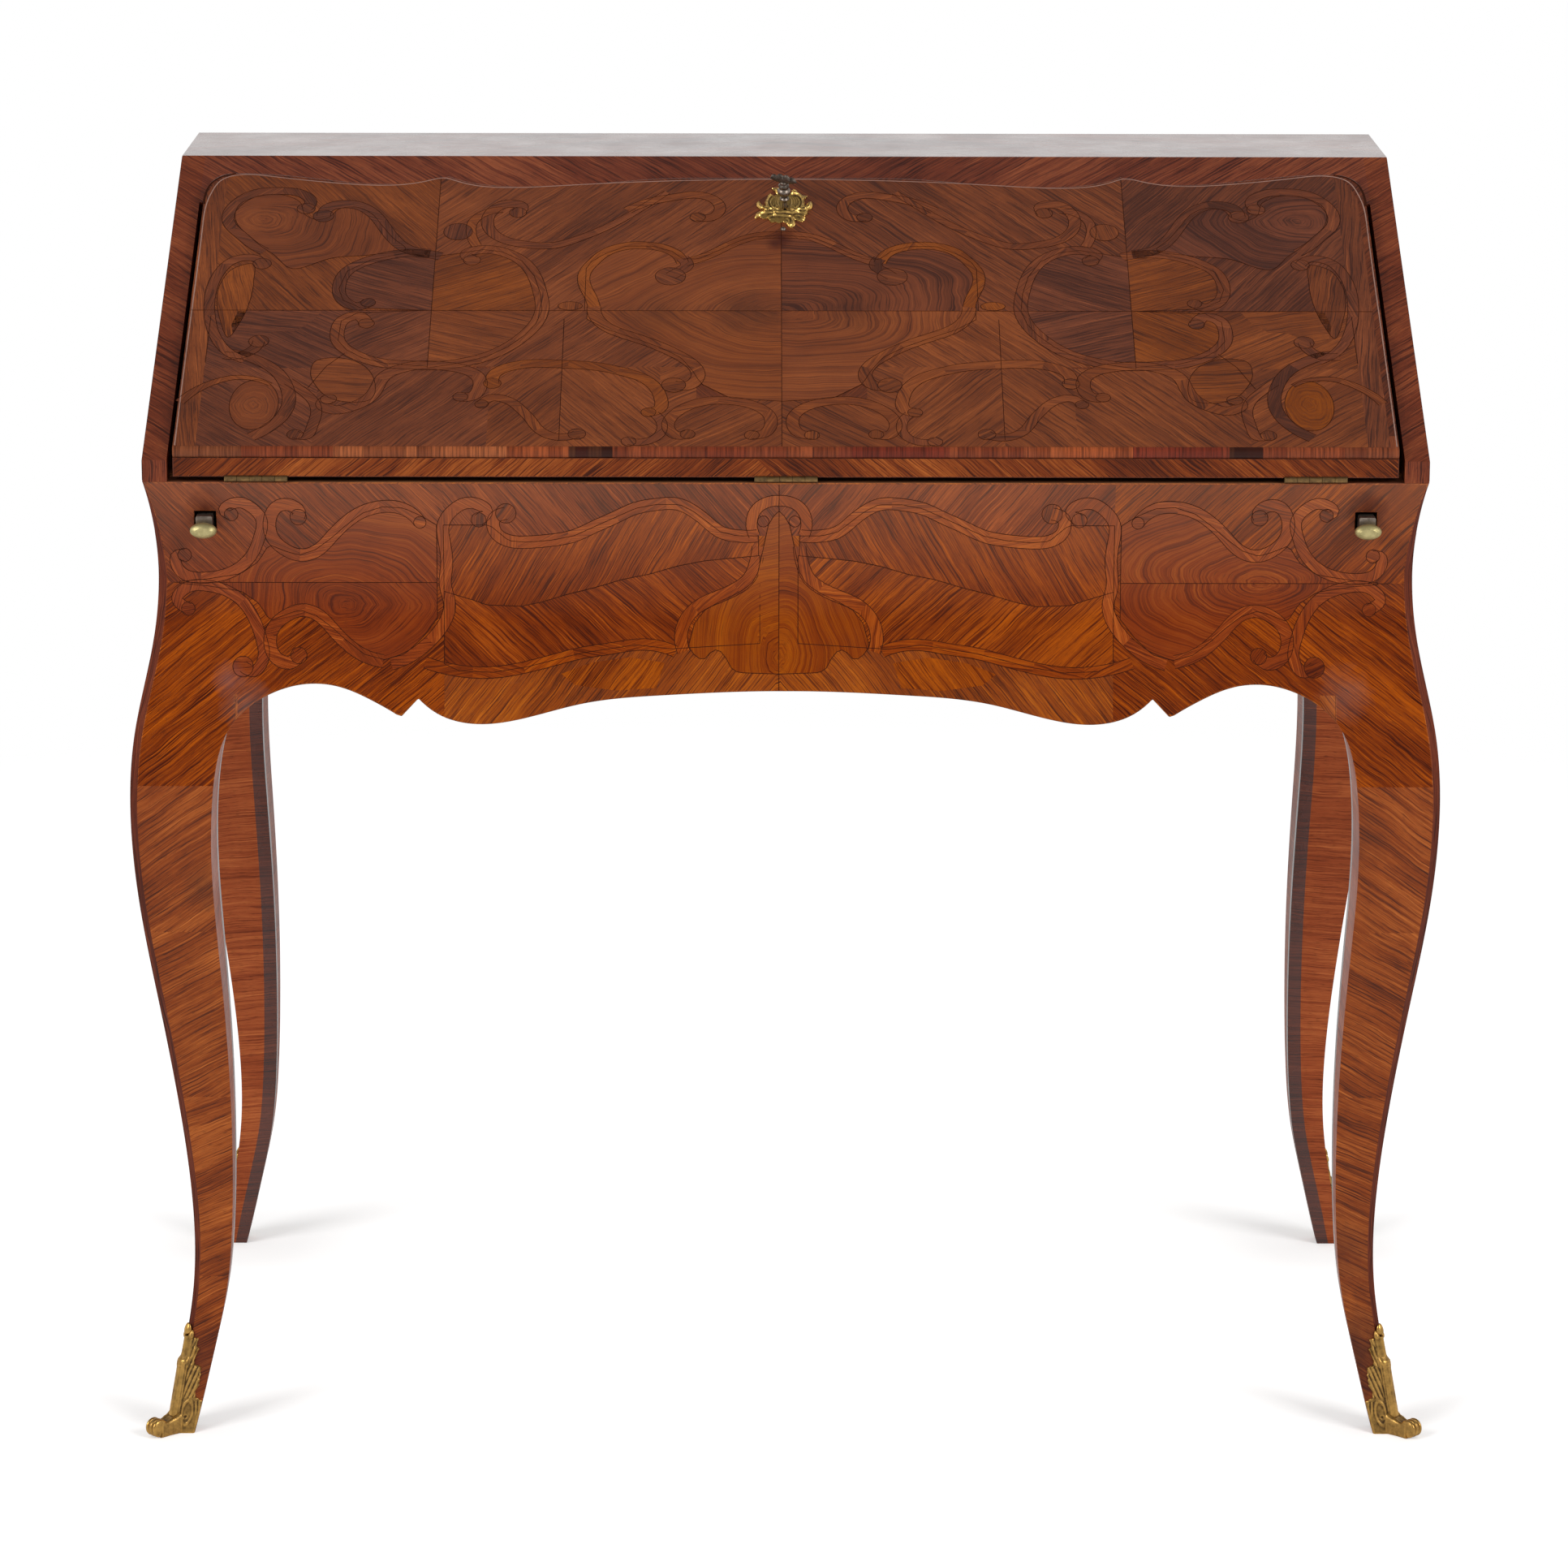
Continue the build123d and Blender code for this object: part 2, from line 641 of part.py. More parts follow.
def drawer(start):
    """Drawer in the bay that starts at a value of x: front, sides and bottom."""
    x = (start + DRAWER_CLEAR, start + BAY - DRAWER_CLEAR)
    z = (BASE_Z + DRAWER_CLEAR, TIER_Z - DRAWER_CLEAR)
    body = block(x, (GALLERY_Y, BACK_IN - DRAWER_SHORT), z)
    inside = block(
        (x[0] + DRAWER_WALL, x[1] - DRAWER_WALL),
        (GALLERY_Y + DRAWER_FRONT, BACK_IN - DRAWER_SHORT - DRAWER_WALL),
        (z[0] + DRAWER_FLOOR, HEIGHT),
    )
    side_drop = 4.0
    relief = block(x, (GALLERY_Y + DRAWER_FRONT, BACK_Y), (z[1] - side_drop, HEIGHT))
    return body - inside - relief


def drawer_knob(start):
    """Turned brass knob on a drawer."""
    middle = start + BAY / 2
    level = (BASE_Z + TIER_Z) / 2
    radius = DRAWER_KNOB_R
    outline = face_of(
        Line((0, 0), (0, 14)),
        Spline((0, 14), (radius * 0.75, 12.5), (radius, 9.5), (radius * 0.8, 7), (2.6, 5)),
        Polyline((2.6, 5), (2.6, 1.2), (4.4, 1.2), (4.4, 0), (0, 0)),
    )
    turned = revolve(outline, Axis.Y)
    return Pos(middle, GALLERY_Y, level) * Rot(180, 0, 0) * turned


# -------------------------------------------------------------------- fall
def bolt_space(start, end, clear):
    """The bolt's way along the slope."""
    middle = FALL_IN + BOLT_IN
    return on_slope(
        (-BOLT_WIDTH / 2 - clear, BOLT_WIDTH / 2 + clear),
        (start, end),
        (middle - BOLT_THICK / 2 - clear, middle + BOLT_THICK / 2 + clear),
    )


def lip_outline():
    """Shaped upper part of the fall's face, as drawn on the slope."""
    low = FALL_CORE - RAIL_WIDTH / 2

    def placed(points):
        """Points of the edge in slope measures."""
        return [(share * FALL_HALF, RAIL_START + past) for share, past in points]

    corner = placed(LIP_CORNER)
    half = [
        Line((FALL_HALF, low), corner[0]),
        Spline(*corner, tangents=((0, 1), (-1, 0))),
        Spline(*placed(LIP_DIP), tangents=((-1, 0), (-0.8, 0.6))),
        Spline(*placed(LIP_CENTRE), tangents=((-0.8, -0.6), (-1, 0))),
    ]
    mirrored = [mirror(edge, about=Plane.YZ) for edge in half]
    return face_of(*half, *mirrored, Line((-FALL_HALF, low), (FALL_HALF, low)))


def nose_limits():
    """Low edge, inner edge and top corner of the strip at the foot of the fall."""
    top = SLOPE_FOOT_Z + FALL_PROUD / RUN
    return top - NOSE_HEIGHT, FRONT_Y + NOSE_DEPTH, top


def fall_panel():
    """The fall: thick core, overlapping lip, beds for lock, leather and leaves."""
    foot_z = AXIS_Z + FALL_FOOT_GAP
    corner = (FRONT_Y, SLOPE_FOOT_Z + FALL_PROUD / RUN)
    foot_s = (foot_z - SLOPE_FOOT_Z - FALL_IN * RUN) / RISE
    section = polygon(
        (FRONT_Y, foot_z),
        corner,
        slope_point(FALL_CORE, FALL_PROUD),
        slope_point(FALL_CORE, FALL_IN),
        slope_point(foot_s, FALL_IN),
    )
    core = along_x(section, (-FALL_HALF, FALL_HALF))
    lip = extrude(SLOPE_PLANE.offset(LIP_REST) * lip_outline(), FALL_PROUD - LIP_REST)
    outer = lip.faces().sort_by(Axis((0, 0, 0), SLOPE_PLANE.z_dir))[-1]
    rail_z = slope_point(RAIL_START - 1, FALL_PROUD)[1]
    rim = [edge for edge in outer.edges() if (edge @ 0.5).Z > rail_z]
    lip = fillet(rim, LIP_ROUND)
    low, reach, top = nose_limits()
    nose_bed = block((-HALF_W, HALF_W), (FRONT_Y - 5, reach), (low, HEIGHT))
    panel = core + lip - nose_bed
    return panel - leather_bed() - lock_bed() - leaf_beds() - key_way(SHANK_CLEAR)


def fall_nose():
    """Rounded cross-grain strip along the foot of the fall."""
    low, reach, top = nose_limits()
    front = FRONT_Y - NOSE_PROUD
    back_top = top + (reach - FRONT_Y) * math.tan(SLOPE)
    front_top = top - NOSE_PROUD * math.tan(SLOPE)
    strip = along_x(
        polygon((front, low), (front, front_top), (reach, back_top), (reach, low)),
        (-FALL_HALF, FALL_HALF),
    )
    edges = strip.edges().filter_by(Axis.X).sort_by(Axis.Y)[:2]
    return fillet(edges, NOSE_ROUND)


def leather_bed():
    """Sunk bed of the writing leather."""
    half = FALL_HALF - LEATHER_MARGIN
    return on_slope((-half, half), LEATHER_SPAN, (FALL_IN - 1, FALL_IN + LEATHER_THICK))


def fall_leather():
    """Writing leather on the inside of the fall."""
    half = FALL_HALF - LEATHER_MARGIN
    return on_slope((-half, half), LEATHER_SPAN, (FALL_IN, FALL_IN + LEATHER_THICK))


def lock_bed():
    """Bed of the lock in the fall."""
    return on_slope(
        (-LOCK_WIDTH / 2, LOCK_WIDTH / 2),
        (LOCK_SPAN[0], FALL_CORE + 1),
        (FALL_IN - 1, FALL_IN + LOCK_DEPTH),
    )


def keyhole_axis(n):
    """A point on the key's axis, off the slope by n."""
    y, z = slope_point(KEYHOLE_S, n)
    return (0, y, z)


def key_way(clear):
    """Round hole for the shank with the slot for the bit."""
    normal = SLOPE_PLANE.z_dir
    round_hole = rod(SHANK_R + clear, FAR / 20, keyhole_axis(FALL_IN), normal)
    slot = on_slope(
        (-1.3 - clear, 1.3 + clear),
        (KEYHOLE_S - 8.5 - clear, KEYHOLE_S),
        (FALL_IN + LOCK_DEPTH - 1, FAR / 20),
    )
    return round_hole + slot


def lock_case():
    """Iron lock case with its drill pin, let into the fall."""
    case = on_slope(
        (-LOCK_WIDTH / 2, LOCK_WIDTH / 2), LOCK_SPAN, (FALL_IN, FALL_IN + LOCK_DEPTH)
    )
    normal = SLOPE_PLANE.z_dir
    floor_n = FALL_IN + LOCK_DEPTH - LOCK_CHAMBER
    chamber = rod(LOCK_CHAMBER_R, LOCK_CHAMBER + 1, keyhole_axis(floor_n), normal)
    pin = rod(DRILL_PIN_R, LOCK_CHAMBER, keyhole_axis(floor_n), normal)
    slot_end = LOCK_SPAN[1] - BOLT_LENGTH - SLIDE_CLEAR
    bolt_way = bolt_space(slot_end, FALL_CORE + 1, SLIDE_CLEAR)
    return case - chamber - bolt_way + pin


def lock_bolt():
    """Sliding bolt behind the key's chamber, drawn back."""
    return bolt_space(LOCK_SPAN[1] - BOLT_LENGTH, LOCK_SPAN[1] - SLIDE_CLEAR, 0)


def key():
    """Piped key: bit in the lock, turned collar, pierced oval bow."""
    normal = SLOPE_PLANE.z_dir
    floor_n = FALL_IN + LOCK_DEPTH - LOCK_CHAMBER
    start = floor_n + SLIDE_CLEAR
    outer = FALL_PROUD + ESCUTCHEON_THICK
    shank = rod(SHANK_R, outer + 12 - start, keyhole_axis(start), normal)
    pipe = rod(DRILL_PIN_R + PIN_CLEAR, LOCK_CHAMBER + 1, keyhole_axis(start - 1), normal)
    bit = on_slope((-1.2, 1.2), (KEYHOLE_S - 8, KEYHOLE_S - SHANK_R + 1), (start, start + 6))
    collar_plane = Plane(origin=keyhole_axis(outer + 2), x_dir=(1, 0, 0), z_dir=normal)
    collar_outline = face_of(
        Polyline((0, 13), (0, 0), (4.6, 0), (4.6, 1.6)),
        Spline((4.6, 1.6), (3.2, 3.2), (5.0, 6.4), (3.4, 9.6), (4.2, 11), (3.4, 13)),
        Line((3.4, 13), (0, 13)),
    )
    collar = collar_plane * Rot(90, 0, 0) * revolve(collar_outline, Axis.Y)
    bow_reach = KEY_REACH - 15.0
    bow_plane = Plane(
        origin=keyhole_axis(outer + 13 + bow_reach / 2),
        x_dir=(1, 0, 0),
        z_dir=SLOPE_PLANE.y_dir,
    )
    ring = Ellipse(BOW_WIDTH / 2, bow_reach / 2 + 1) - Ellipse(BOW_WIDTH / 2 - 4, bow_reach / 2 - 3)
    bow = bow_plane * extrude(ring, 1.6, both=True)
    return shank - pipe + bit + collar + bow


def escutcheon():
    """Rococo scroll plate round the keyhole."""
    low = KEYHOLE_S
    half = [
        Spline((0, low + 22), (8, low + 20), (15, low + 12), tangents=((1, 0), (1, -0.8))),
        Spline((15, low + 12), (16, low + 3), (22, low + 3), (21, low - 8)),
        Spline((21, low - 8), (22, low - 17), (14, low - 22)),
        Spline((14, low - 22), (7, low - 21), (0, low - 27), tangents=((-1, 0.3), (-1, 0))),
    ]
    mirrored = [mirror(edge, about=Plane.YZ) for edge in half]
    plate = extrude(
        SLOPE_PLANE.offset(FALL_PROUD) * face_of(*half, *mirrored), ESCUTCHEON_THICK
    )
    return plate - key_way(SHANK_CLEAR)


# ------------------------------------------------------------------- hinges
def knuckle_run(count):
    """Limits along the hinge of the knuckle of one count."""
    pitch = (HINGE_LENGTH + KNUCKLE_GAP) / KNUCKLES
    start = -HINGE_LENGTH / 2 + count * pitch
    return (start, start + pitch - KNUCKLE_GAP)


def knuckle(x, radius):
    """A cylinder on the hinge axis between two values of x."""
    return rod(radius, x[1] - x[0], (x[0], FRONT_Y, AXIS_Z), (1, 0, 0))


def leaf_start():
    """Where the plain part of a leaf starts, out from the axis."""
    return KNUCKLE_R + KNUCKLE_GAP


def fixed_leaf():
    """Leaf on the top edge of the front, three knuckles and the pin."""
    z = (RAIL_Z, RAIL_Z + HINGE_THICK)
    half = HINGE_LENGTH / 2
    leaf = block((-half, half), (FRONT_Y + leaf_start(), FRONT_Y + HINGE_LEAF), z)
    for count in range(0, KNUCKLES, 2):
        run = knuckle_run(count)
        leaf += knuckle(run, KNUCKLE_R)
        leaf += block(run, (FRONT_Y + KNUCKLE_R / 2, FRONT_Y + leaf_start() + 0.5), z)
    return leaf + knuckle((-half, half), PIN_R)


def moving_leaf():
    """Leaf let into the inside of the fall, two knuckles."""
    n = (FALL_IN, FALL_IN + HINGE_THICK)
    half = HINGE_LENGTH / 2
    leaf = on_slope((-half, half), (AXIS_S + leaf_start(), AXIS_S + HINGE_LEAF), n)
    for count in range(1, KNUCKLES, 2):
        run = knuckle_run(count)
        leaf += knuckle(run, KNUCKLE_R)
        leaf += on_slope(run, (AXIS_S, AXIS_S + leaf_start() + 0.5), n)
    return leaf - knuckle((-half, half), PIN_R + PIN_CLEAR)


def leaf_beds():
    """Beds of the three moving leaves in the fall, hollowed for the knuckles."""
    half = HINGE_LENGTH / 2 + KNUCKLE_GAP
    n = (FALL_IN - 1, FALL_IN + HINGE_THICK)
    bed = on_slope((-half, half), (AXIS_S, AXIS_S + HINGE_LEAF), n)
    bed += knuckle((-half, half), leaf_start())
    beds = [Pos(x, 0, 0) * bed for x in HINGE_X]
    return beds[0] + beds[1] + beds[2]


# ------------------------------------------------------------------- sabots
def inset_at(z):
    """Inset of the outer serpentine at a height, between its stated points."""
    below = max(point for point in OUTER_CURVE if point[0] <= z)
    above = min(point for point in OUTER_CURVE if point[0] > z)
    share = (z - below[0]) / (above[0] - below[0])
    return below[1] + share * (above[1] - below[1])


def sabot_wing():
    """Elevation of one wing, in (distance in from the case plane, height)."""
    leaf = [(inset_at(z) + distance, z) for distance, z in SABOT_LEAF]
    tip = leaf[-1]
    far = -4 * SABOT_THICK
    return polygon((far, 0), (leaf[0][0] + 4, 0), (leaf[0][0] + 4, leaf[0][1]), *leaf, (far, tip[1]))


def sabot():
    """Gilt shoe on the outer corner of the front right foot."""
    foot = leg_blank() & cant_prism()
    shell = leg_blank(SABOT_THICK) - foot
    front_wing = Plane(origin=(HALF_W, 0, 0), x_dir=(-1, 0, 0), z_dir=(0, 1, 0))
    side_wing = Plane(origin=(0, FRONT_Y, 0), x_dir=(0, 1, 0), z_dir=(1, 0, 0))
    for plane in (front_wing, side_wing):
        shell = shell & extrude(plane * sabot_wing(), WIDTH, both=True)
    corner = -math.sqrt(2) * OUTER_CURVE[0][1]
    toe_at = OUTWARD.from_local_coords((corner + TOE_OUT, TOE_R, 0))
    toe_plane = Plane(origin=toe_at, x_dir=OUTWARD.x_dir, z_dir=OUTWARD.z_dir)
    toe = toe_plane * extrude(Circle(TOE_R), TOE_WIDTH / 2, both=True)
    ridge = Spline(
        (corner + TOE_OUT, 2 * TOE_R - 1),
        (corner + 1.5, 26),
        (-math.sqrt(2) * inset_at(STEM_TOP) + 1.0, STEM_TOP),
    )
    heel = -math.sqrt(2) * inset_at(STEM_TOP) - 8
    rest = Polyline(ridge @ 1, (heel, STEM_TOP), (heel, 0), (corner + TOE_OUT, 0), ridge @ 0)
    stem = extrude(OUTWARD * face_of(ridge, rest), STEM_WIDTH / 2, both=True)
    return shell + toe + stem - foot


# ------------------------------------------------------------------ assembly
def build():
    """Every piece by name."""
    parts = dict(legs())
    parts["front_apron"] = front_apron()
    parts["side_apron_right"] = side_apron()
    parts["side_apron_left"] = flipped(parts["side_apron_right"])
    parts["case_side_right"] = case_side()
    parts["case_side_left"] = flipped(parts["case_side_right"])
    parts["slope_rail"] = slope_rail()
    parts["strike_plate"] = strike_plate()
    parts["top_board"] = top_board()
    parts["back_panel"] = back_panel()
    parts["back_rail"] = back_rail()
    parts["bottom_board"] = bottom_board()
    parts["writing_floor"] = writing_floor()
    parts["well_box"] = well_box()
    parts["well_cover"] = well_cover()
    for name, piece in (("bar", loper_bar()), ("knob", loper_knob()), ("guide", loper_guide())):
        parts[f"loper_{name}_right"] = piece
        parts[f"loper_{name}_left"] = flipped(piece)
    parts["gallery_base"] = gallery_base()
    parts["gallery_shelf_middle"] = shelf((-NICHE_HALF, NICHE_HALF))
    parts["niche_arch"] = niche_arch()
    pieces = (
        ("gallery_upright", upright()),
        ("gallery_shelf", shelf((BAY_1, INNER_HALF))),
        ("drawer_divider", divider_low()),
        ("pigeonhole_divider", divider_high()),
        ("drawer_inner", drawer(BAY_1)),
        ("drawer_outer", drawer(BAY_2)),
        ("drawer_knob_inner", drawer_knob(BAY_1)),
        ("drawer_knob_outer", drawer_knob(BAY_2)),
    )
    for name, piece in pieces:
        parts[f"{name}_right"] = piece
        parts[f"{name}_left"] = flipped(piece)
    parts["fall_panel"] = fall_panel()
    parts["fall_nose"] = fall_nose()
    parts["fall_leather"] = fall_leather()
    parts["lock_case"] = lock_case()
    parts["lock_bolt"] = lock_bolt()
    parts["key"] = key()
    parts["escutcheon"] = escutcheon()
    for place, x in zip(("left", "middle", "right"), HINGE_X):
        parts[f"hinge_fixed_{place}"] = Pos(x, 0, 0) * fixed_leaf()
        parts[f"hinge_moving_{place}"] = Pos(x, 0, 0) * moving_leaf()
    shoe = sabot()
    shoe_back = mirror(shoe, about=Plane.XZ)
    parts["sabot_front_right"] = shoe
    parts["sabot_front_left"] = flipped(shoe)
    parts["sabot_back_right"] = shoe_back
    parts["sabot_back_left"] = Rot(0, 0, 180) * shoe
    return parts


for node, piece in build().items():
    export_step(piece, f"parts/{node}.step")
    print(node, round(piece.volume))
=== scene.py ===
"""Slant-front writing desk in tulipwood and kingwood marquetry with gilt mounts.

Lengths in the sizes below are millimetres; the meshes are metres.
"""

import sys

import logging
import math
from dataclasses import dataclass, field
from enum import Enum
from typing import List, Optional, Sequence, Tuple

import bpy
import numpy as np
from mathutils import Matrix, Vector
from mathutils.geometry import delaunay_2d_cdt


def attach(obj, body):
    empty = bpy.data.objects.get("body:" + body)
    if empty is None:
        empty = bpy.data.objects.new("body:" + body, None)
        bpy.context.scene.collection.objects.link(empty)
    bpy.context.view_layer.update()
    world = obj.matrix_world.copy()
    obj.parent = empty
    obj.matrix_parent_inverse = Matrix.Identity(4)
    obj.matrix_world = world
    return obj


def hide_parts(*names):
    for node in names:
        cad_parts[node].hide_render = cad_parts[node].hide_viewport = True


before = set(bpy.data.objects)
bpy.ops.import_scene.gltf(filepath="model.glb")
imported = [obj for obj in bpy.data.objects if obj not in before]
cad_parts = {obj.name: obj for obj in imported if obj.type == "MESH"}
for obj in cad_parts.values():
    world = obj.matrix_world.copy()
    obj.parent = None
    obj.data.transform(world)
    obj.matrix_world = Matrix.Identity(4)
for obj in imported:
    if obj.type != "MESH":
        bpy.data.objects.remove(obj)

log = logging.getLogger("desk")
MERGE = 0.004  # mm, cell of points that count as one
MM = 0.001
Array = np.ndarray
Points = Sequence[Tuple[float, ...]]

# ------------------------------------------------------------------ the case
WIDTH = 940.0
DEPTH = 500.0
HEIGHT = 926.0
HALF_W = WIDTH / 2
FRONT_Y = -DEPTH / 2
SLOPE_FOOT_Z = 749.0
SLOPE_TOP_Y = 106.0
RAIL_Z = 732.9
POST_WIDTH = 65.0
POST_IN = HALF_W - POST_WIDTH
ARCH_SPRING_Z = 556.0
APRON_IN = 22.0
LOPER_X = 425.0
LOPER_Z = 702.5
FALL_PROUD = 8.5
FALL_HALF = 447.5
OUTER_CURVE = (
    (0.0, 4.0), (50.0, 12.9), (110.0, 22.3), (179.0, 22.6), (254.0, 15.0),
    (336.0, 3.0), (412.0, -8.3), (477.0, -13.3), (546.0, -9.3), (613.0, 4.6),
    (665.0, 9.0), (712.0, 4.6), (RAIL_Z, 0.0),
)
INNER_CURVE = (
    (0.0, 23.0), (66.0, 39.0), (109.0, 48.0), (150.0, 52.2), (212.0, 54.4),
    (296.0, 53.5), (375.0, 49.5), (452.0, 46.0), (495.0, 47.5), (525.0, 51.5),
    (544.0, 57.5), (ARCH_SPRING_Z, POST_WIDTH),
)
CANT_WIDTH = ((0.0, 3.6), (150.0, 4.6), (477.0, 5.6), (665.0, 6.6), (RAIL_Z, 0.6))
FRONT_EDGE = (
    (0.0, 577.5), (89.9, 574.5), (149.9, 568.3), (196.8, 556.8),
    (226.8, 553.6), (253.1, 559.5), (270.1, 572.0),
)
FRONT_ARCH = (
    (283.1, 558.5), (302.9, 569.8), (330.1, 580.7), (355.2, 582.0),
    (375.8, 576.5), (394.1, 566.2), (POST_IN, ARCH_SPRING_Z),
)
SIDE_EDGE = (
    (0.0, 570.0), (27.8, 568.5), (62.0, 573.0), (105.5, 583.0),
    (140.6, 581.5), (170.2, 570.0), (185.0, ARCH_SPRING_Z),
)


# -------------------------------------------------------------- curves, meshes
def stacked(*measures: Array) -> Array:
    """Points from an array or a number for each coordinate."""
    return np.stack(np.broadcast_arrays(*measures), axis=-1)


def rise(value: Array, start: float, span: float) -> Array:
    """Share that goes from 0 to 1 as a value passes from a start over a span."""
    return np.clip((value - start) / span, 0, 1)


def hill(value: Array, middle: float, width: float, power: int = 2) -> Array:
    """Height from 0 to 1 of a hill round a middle, flatter for a higher power."""
    return np.exp(-(((value - middle) / width) ** power))


def wave(turns: Array) -> Array:
    """Cosine of a number of whole turns."""
    return np.cos(2 * math.pi * turns)


def full_turn(count: int) -> Array:
    """Angles evenly round a circle."""
    return np.linspace(0, 2 * math.pi, count, endpoint=False)


def through(points: Points, count: int, closed: bool = False) -> Array:
    """Smooth curve through points, as cubic pieces on chord length.

    An open curve takes the slopes that make its curvature continuous, found by
    solving one set of linear equations, with parabolic ends. A closed one takes
    Catmull-Rom slopes.

    Args:
        points: points to pass through, of any dimension.
        count: number of points returned.
        closed: whether the curve runs back to its start, which isn't repeated.

    Returns:
        An array of count points.
    """
    knots = np.asarray(points, float)
    if closed:
        knots = np.vstack([knots[-2:], knots, knots[:3]])
    steps = np.linalg.norm(np.diff(knots, axis=0), axis=1)
    at = np.concatenate([[0.0], np.cumsum(steps)])
    slopes = np.gradient(knots, at, axis=0, edge_order=2 if len(knots) > 2 else 1)
    size = len(knots)
    if not closed and size > 3:
        inverse = 1.0 / steps
        matrix = np.eye(size)
        rows = np.arange(1, size - 1)
        matrix[rows, rows - 1] = inverse[:-1]
        matrix[rows, rows] = 2 * (inverse[:-1] + inverse[1:])
        matrix[rows, rows + 1] = inverse[1:]
        chord = np.diff(knots, axis=0) * (inverse**2)[:, None]
        right = slopes.copy()
        right[1:-1] = 3 * (chord[:-1] + chord[1:])
        slopes = np.linalg.solve(matrix, right)
    first, last = (at[2], at[-3]) if closed else (at[0], at[-1])
    t = np.linspace(first, last, count, endpoint=not closed)
    k = np.clip(np.searchsorted(at, t, side="right") - 1, 0, size - 2)
    h = steps[k][:, None]
    w = (t[:, None] - at[k][:, None]) / h
    return (
        (2 * w**3 - 3 * w**2 + 1) * knots[k]
        + (w**3 - 2 * w**2 + w) * h * slopes[k]
        + (3 * w**2 - 2 * w**3) * knots[k + 1]
        + (w**3 - w**2) * h * slopes[k + 1]
    )


def straight(points: Points, step: float = 4.0, closed: bool = True) -> Array:
    """Polygon's outline with a point at each corner and about every step."""
    corners = np.asarray(points, float)
    ends = np.roll(corners, -1, axis=0) if closed else corners[1:]
    runs = []
    for start, end in zip(corners, ends):
        count = max(1, int(round(np.linalg.norm(end - start) / step)))
        runs.append(start + (end - start) * (np.arange(count) / count)[:, None])
    if not closed:
        runs.append(corners[-1:])
    return np.vstack(runs)


OUTER = through(OUTER_CURVE, 1500)
INNER = through(INNER_CURVE, 1200)
EDGE_POINTS = 400  # along the shaped part of an apron's lower edge
LOWER_EDGE = np.vstack([through(FRONT_EDGE, EDGE_POINTS), through(FRONT_ARCH, 300)])
SIDE_LOWER = through(SIDE_EDGE, EDGE_POINTS)


def outer_in(z: Array) -> Array:
    """Inset of the outer serpentine from the case plane at heights z."""
    return np.interp(z, OUTER[:, 0], OUTER[:, 1])


def off_serpentine(z: Array, lift: Array) -> Tuple[Array, Array]:
    """Inset and height of points lifted along the outer serpentine's normal."""
    slope = outer_in(z + 0.5) - outer_in(z - 0.5)
    length = np.sqrt(1 + slope**2)
    return outer_in(z) - lift / length, z + lift * slope / length


def inner_in(z: Array) -> Array:
    """Distance of the leg's inner edge from the case plane at heights z."""
    return np.interp(z, INNER[:, 0], INNER[:, 1])


def cant_width(z: Array) -> Array:
    """Width cut from each face at the outer corner at heights z."""
    levels = np.asarray(CANT_WIDTH)
    return np.interp(z, levels[:, 0], levels[:, 1])


PAIR_STEP = 0.4  # how far apart the grain of mirrored pieces starts


@dataclass(frozen=True)
class Look:
    """Shade of one piece of veneer: tone dark to light, warmth, grain offset."""

    tone: float = 0.0
    warmth: float = 0.0
    seed: float = 0.0

    def array(self) -> Array:
        """The three values."""
        return np.array([self.tone, self.warmth, self.seed], float)


def pair(
    seed: float, left: float, left_warmth: float, right: float, right_warmth: float
) -> Tuple[Look, Look]:
    """Looks of a piece's left and right copies, from their tones and warmths."""
    return Look(left, left_warmth, seed), Look(right, right_warmth, seed + PAIR_STEP)


